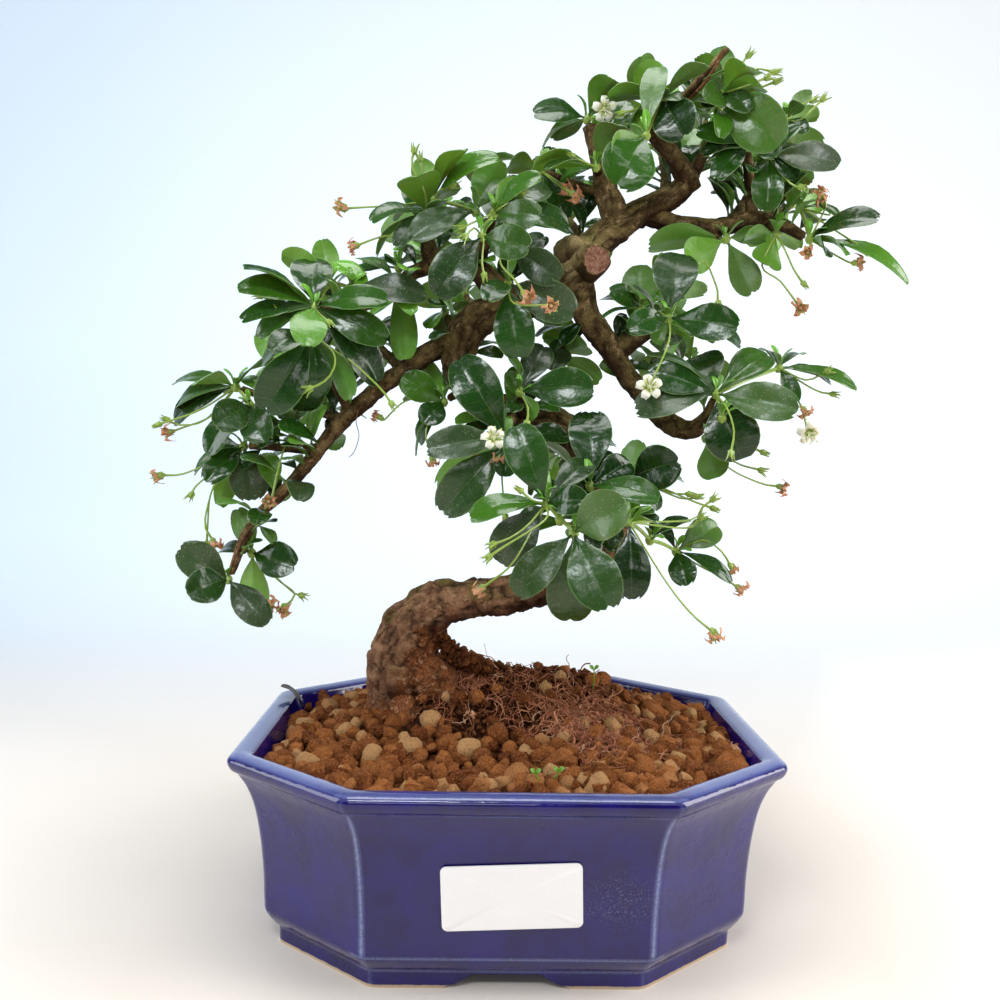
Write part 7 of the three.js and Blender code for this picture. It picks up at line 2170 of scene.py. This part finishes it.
LEAF = leaf_finish()
BARK = bark_finish()
GLAZE = glaze_finish()
SOIL = soil_finish()
ROOTS = root_finish()
CARD = card_finish()
WHITE = petal_finish("white_petal", (0.82, 0.78, 0.66), (0.5, 0.55, 0.18), (0.75, 0.68, 0.52))
DRY = dry_leaf_finish()
SALMON = petal_finish("spent_petal", (0.52, 0.24, 0.12), (0.5, 0.32, 0.16), (0.24, 0.09, 0.045))

# %% [markdown]
# ## Pieces into the scene
#
# On the bench the tree would be put together from the pot upwards. Here each surface made above
# becomes one shown object with its finish, and hides the shapes of the imported model that it
# stands for. One object for everything would be quicker to make, but then no shoot or flower
# could be picked out, recoloured or left off alone.

# %% The pieces
# Edges bent past these angles stay crisp; rough wood and grains are left softer than a leaf's rim.
BARK_SHARP = 75.0
SOIL_SHARP = 60.0

for name, parts in shoot_parts.items():
    make_piece(f"shoot_{name}", joined(parts), LEAF, [f"leaves_{name}"])
for name, parts in bloom_parts.items():
    white = "white" in name
    make_piece(f"flower_{name}", joined(parts), WHITE if white else SALMON,
               [name])
for level, parts in fill_parts.items():
    make_piece(f"spur_leaves_{level}", joined(parts), LEAF)
make_piece("dried_flowers", joined(dried_parts), SALMON)
make_piece("curled_dry_leaf", dry_leaf, DRY)
make_piece("seedlings", joined(seedling_parts), LEAF)
make_piece("bark", wood, BARK, ["trunk_and_branches"], BARK_SHARP)
make_piece("soil_and_grains", soil, SOIL, ["soil"], SOIL_SHARP)
make_piece("root_mat", root_mat, ROOTS)
make_piece("bare_white_card", label_surface(), CARD, ["label"])

# %% [markdown]
# The pot's mesh comes out of the cutting tools, so what its glaze needs is worked out from where
# each point lies. Glaze runs thin on the corners of the wall and, less, on its level edges, and
# pale lines there also stand as painted highlights; the rolled rim's top is painted paler on the
# sides as a painted reflection; and the foot is bare clay where the pot stood in the kiln. A
# painted picture could show the same, but formulas of place stay sharp from near.

# %% The glazed pot
# Level lines where the glaze is thin and a painted highlight runs: [height, share].
THIN_GLAZE_AND_HIGHLIGHT_LINES = [[12.8, 0.5], [6.2, 0.35], [65.4, 0.25], [71.6, 0.3]]
# The frosted patch: its middle as [view x, view y, depth], and its spread along x and upwards.
FROST_MIDDLE = at(620, 900, -68)
FROST_SPREAD = (13, 9)
# How far from a corner, and from a level line, the thin glaze and painted highlight spread.
CORNER_SPREAD = 0.75
LINE_SPREAD = 0.45

pot_mesh.name = "glazed_pot"
pot_points = np.zeros(len(pot_mesh.vertices) * 3, np.float32)
pot_mesh.vertices.foreach_get("co", pot_points)
pot_points = pot_points.reshape(-1, 3) / MM - POT_MIDDLE
level = pot_points[:, 2]
outline = np.array(POT_OUTSIDE)
inset = np.interp(level, outline[:16, 1], outline[:16, 0])
x, y = np.abs(pot_points[:, 0]), np.abs(pot_points[:, 1])
front = np.hypot(x - (FRONT_FACE_HALF - FRONT_CORNER_SHIFT * inset), y - (RIM_HALF_DEPTH - inset))
side = np.hypot(x - (RIM_HALF_LENGTH - inset), y - (SIDE_FACE_HALF - SIDE_CORNER_SHIFT * inset))
on_wall = np.clip((level - 12) / 3, 0.25, 1) * np.clip((68 - level) / 6, 0.15, 1)
# Corners and level lines turn pale: thin glaze there, and a painted highlight.
near = np.exp(-(np.minimum(front, side) / CORNER_SPREAD) ** 2) * on_wall
outer_side = np.minimum(RIM_HALF_DEPTH - inset - y, RIM_HALF_LENGTH - inset - x) < 2.5
for height, share in THIN_GLAZE_AND_HIGHLIGHT_LINES:
    near = np.maximum(near, share * np.exp(-((level - height) / LINE_SPREAD) ** 2) * outer_side)
frost = np.exp(-((pot_points[:, 0] - FROST_MIDDLE[0]) / FROST_SPREAD[0]) ** 2
               - ((level - FROST_MIDDLE[2]) / FROST_SPREAD[1]) ** 2)
frost = frost * (pot_points[:, 1] < -60)
# The rim's top, most on the sides, is painted paler as a painted reflection of the bright surroundings.
rim = np.clip((level - 70.9) / 0.8, 0, 1) * np.clip((x - 50) / 12, 0.3, 1) * 0.6
for key, value in (("edge", near), ("bare", np.clip(1 - level / 2.2, 0, 1)), ("frost", frost),
                   ("rim", rim)):
    layer = pot_mesh.attributes.new(key, "FLOAT", "POINT")
    layer.data.foreach_set("value", value.astype(np.float32))
pot_mesh.polygons.foreach_set("use_smooth", np.ones(len(pot_mesh.polygons), bool))
pot_mesh.set_sharp_from_angle(angle=math.radians(35))
pot_mesh.materials.clear()
pot_mesh.materials.append(GLAZE)
pot = bpy.data.objects.new("glazed_pot", pot_mesh)
bpy.context.scene.collection.objects.link(pot)
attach(pot, "root")
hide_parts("pot")
MADE["glazed_pot"] = sum(len(f.vertices) - 2 for f in pot_mesh.polygons)
largest = max(MADE, key=MADE.get)
print(f"{len(MADE)} pieces, {sum(MADE.values())} triangles; the largest: {largest} {MADE[largest]}")

# %% [markdown]
# ## Floor, light and camera
#
# The tree stands on a pale table that sweeps up behind it. Large soft lamps at both sides and
# above give the even light of a studio, and the camera stands where the measuring eye stood.

# %% Stage
# Lamps: [name, place, what they shine at, width, height, watts, colour].
LAMPS = [
    ["left_box", [-620, -150, 330], [0, 0, 120], 300, 560, 2.7, (0.93, 0.97, 1.0)],
    ["right_box", [620, -120, 330], [0, 0, 120], 300, 560, 4.4, (1.0, 0.98, 0.95)],
    ["top_box", [0, -60, 760], [0, 0, 100], 460, 320, 3.1, (1.0, 1.0, 1.0)],
    ["front_fill", [-80, -900, 420], [0, 0, 120], 300, 240, 0.8, (1.0, 0.99, 0.97)],
    ["key_box", [-120, -460, 590], [0, 0, 170], 200, 140, 1.4, (0.93, 0.97, 1.0)],
    ["rim_strip", [0, -620, 720], [0, -80, 70], 1300, 40, 1.3, (0.95, 0.98, 1.0)],
]
AIR_COLOUR = (0.86, 0.92, 1.0, 1.0)
AIR_STRENGTH = 0.12


def sweep_surface():
    """A floor that runs level, then turns up in a quarter circle and goes on as a wall."""
    back, radius, wall = 500.0, 300.0, 900.0
    turn = np.linspace(0, math.pi / 2, 24)
    line = [[-900.0, 0.0], [back, 0.0]]
    line += [[back + radius * math.sin(a), radius * (1 - math.cos(a))] for a in turn[1:]]
    line += [[back + radius, wall]]
    line = np.array(line)
    width = 2500.0
    left = np.column_stack([np.full(len(line), -width), line])
    points = np.concatenate([left, left * [-1, 1, 1]])
    n = len(line)
    i = np.arange(n - 1)
    return part(points, np.stack([i, i + n, i + n + 1, i + 1], -1))


def table_finish():
    """Warm white near, faintly blue far behind and glowing there as the backdrop; strips beside the pot glow
    as painted light, most on the right.
    """
    f = Finish("pale_table")
    x, y, _ = f.split(f.place)
    far = f.between(y, 0.1, 0.7)
    f.link(f.blend(far, (0.74, 0.67, 0.6), (0.5, 0.54, 0.58)), "Base Color")
    right_share = f.between(x, -0.5, 0.6)
    f.link(f.blend(right_share, (0.66, 0.82, 1.0), (0.95, 0.98, 1.0)), "Emission Color")
    # Painted light: the table glows beside the pot, most on the right, for the glaze's sides to reflect.
    painted_glow_beside = f.between(f.math("ABSOLUTE", x), 0.13, 0.3)
    painted_glow_beside = f.times(painted_glow_beside, f.plus(0.06, f.times(right_share, 0.5)))
    f.link(f.math("MAXIMUM", f.times(far, 0.68), painted_glow_beside), "Emission Strength")
    f.set(Roughness=0.7)
    return f.material


table = bpy.data.objects.new("table", make_mesh("table", sweep_surface()))
table.data.materials.append(table_finish())
bpy.context.scene.collection.objects.link(table)
table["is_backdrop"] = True


def soft_lamp(name, spot, target, width, height, watts, colour):
    """A rectangular lamp that shines from spot towards target, both in mm."""
    lamp = bpy.data.lights.new(name, "AREA")
    lamp.shape = "RECTANGLE"
    lamp.size, lamp.size_y = width * MM, height * MM
    lamp.energy = watts
    lamp.color = colour
    obj = bpy.data.objects.new(name, lamp)
    obj.location = (np.array(spot, float) + POT_MIDDLE) * MM
    obj.rotation_euler = Vector(np.array(target, float) - spot).to_track_quat("-Z", "Y").to_euler()
    bpy.context.scene.collection.objects.link(obj)


for entry in LAMPS:
    soft_lamp(*entry)

world = bpy.data.worlds.new("studio")
world.use_nodes = True
background = world.node_tree.nodes["Background"]
background.inputs[0].default_value = AIR_COLOUR
background.inputs[1].default_value = AIR_STRENGTH
bpy.context.scene.world = world
bpy.context.scene.view_settings.view_transform = "Standard"

# %% Camera
SENSOR = 36.0
camera_data = bpy.data.cameras.new("eye")
camera_data.sensor_width = SENSOR
camera_data.lens = SENSOR * FOCAL / VIEW_SIZE
camera = bpy.data.objects.new("eye", camera_data)
axes = Matrix(np.column_stack([RIGHT, UP, -FORWARD]).tolist()).to_4x4()
camera.matrix_world = Matrix.Translation(Vector((EYE + POT_MIDDLE) * MM)) @ axes
bpy.context.scene.collection.objects.link(camera)
bpy.context.scene.camera = camera

# %% [markdown]
# ## Measure and finish
#
# The dressed tree is measured against the imported model's box, and how far it grows beyond it is printed.
# The dressed tree has to stay within the imported model's box.

# %% Finish
NEW_LOW, NEW_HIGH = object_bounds()
grown = [(a - b) / MM for a, b in zip(list(OLD_LOW) + list(NEW_HIGH), list(NEW_LOW) + list(OLD_HIGH))]
print("grown beyond the frame by (mm):", [round(g, 1) for g in grown])
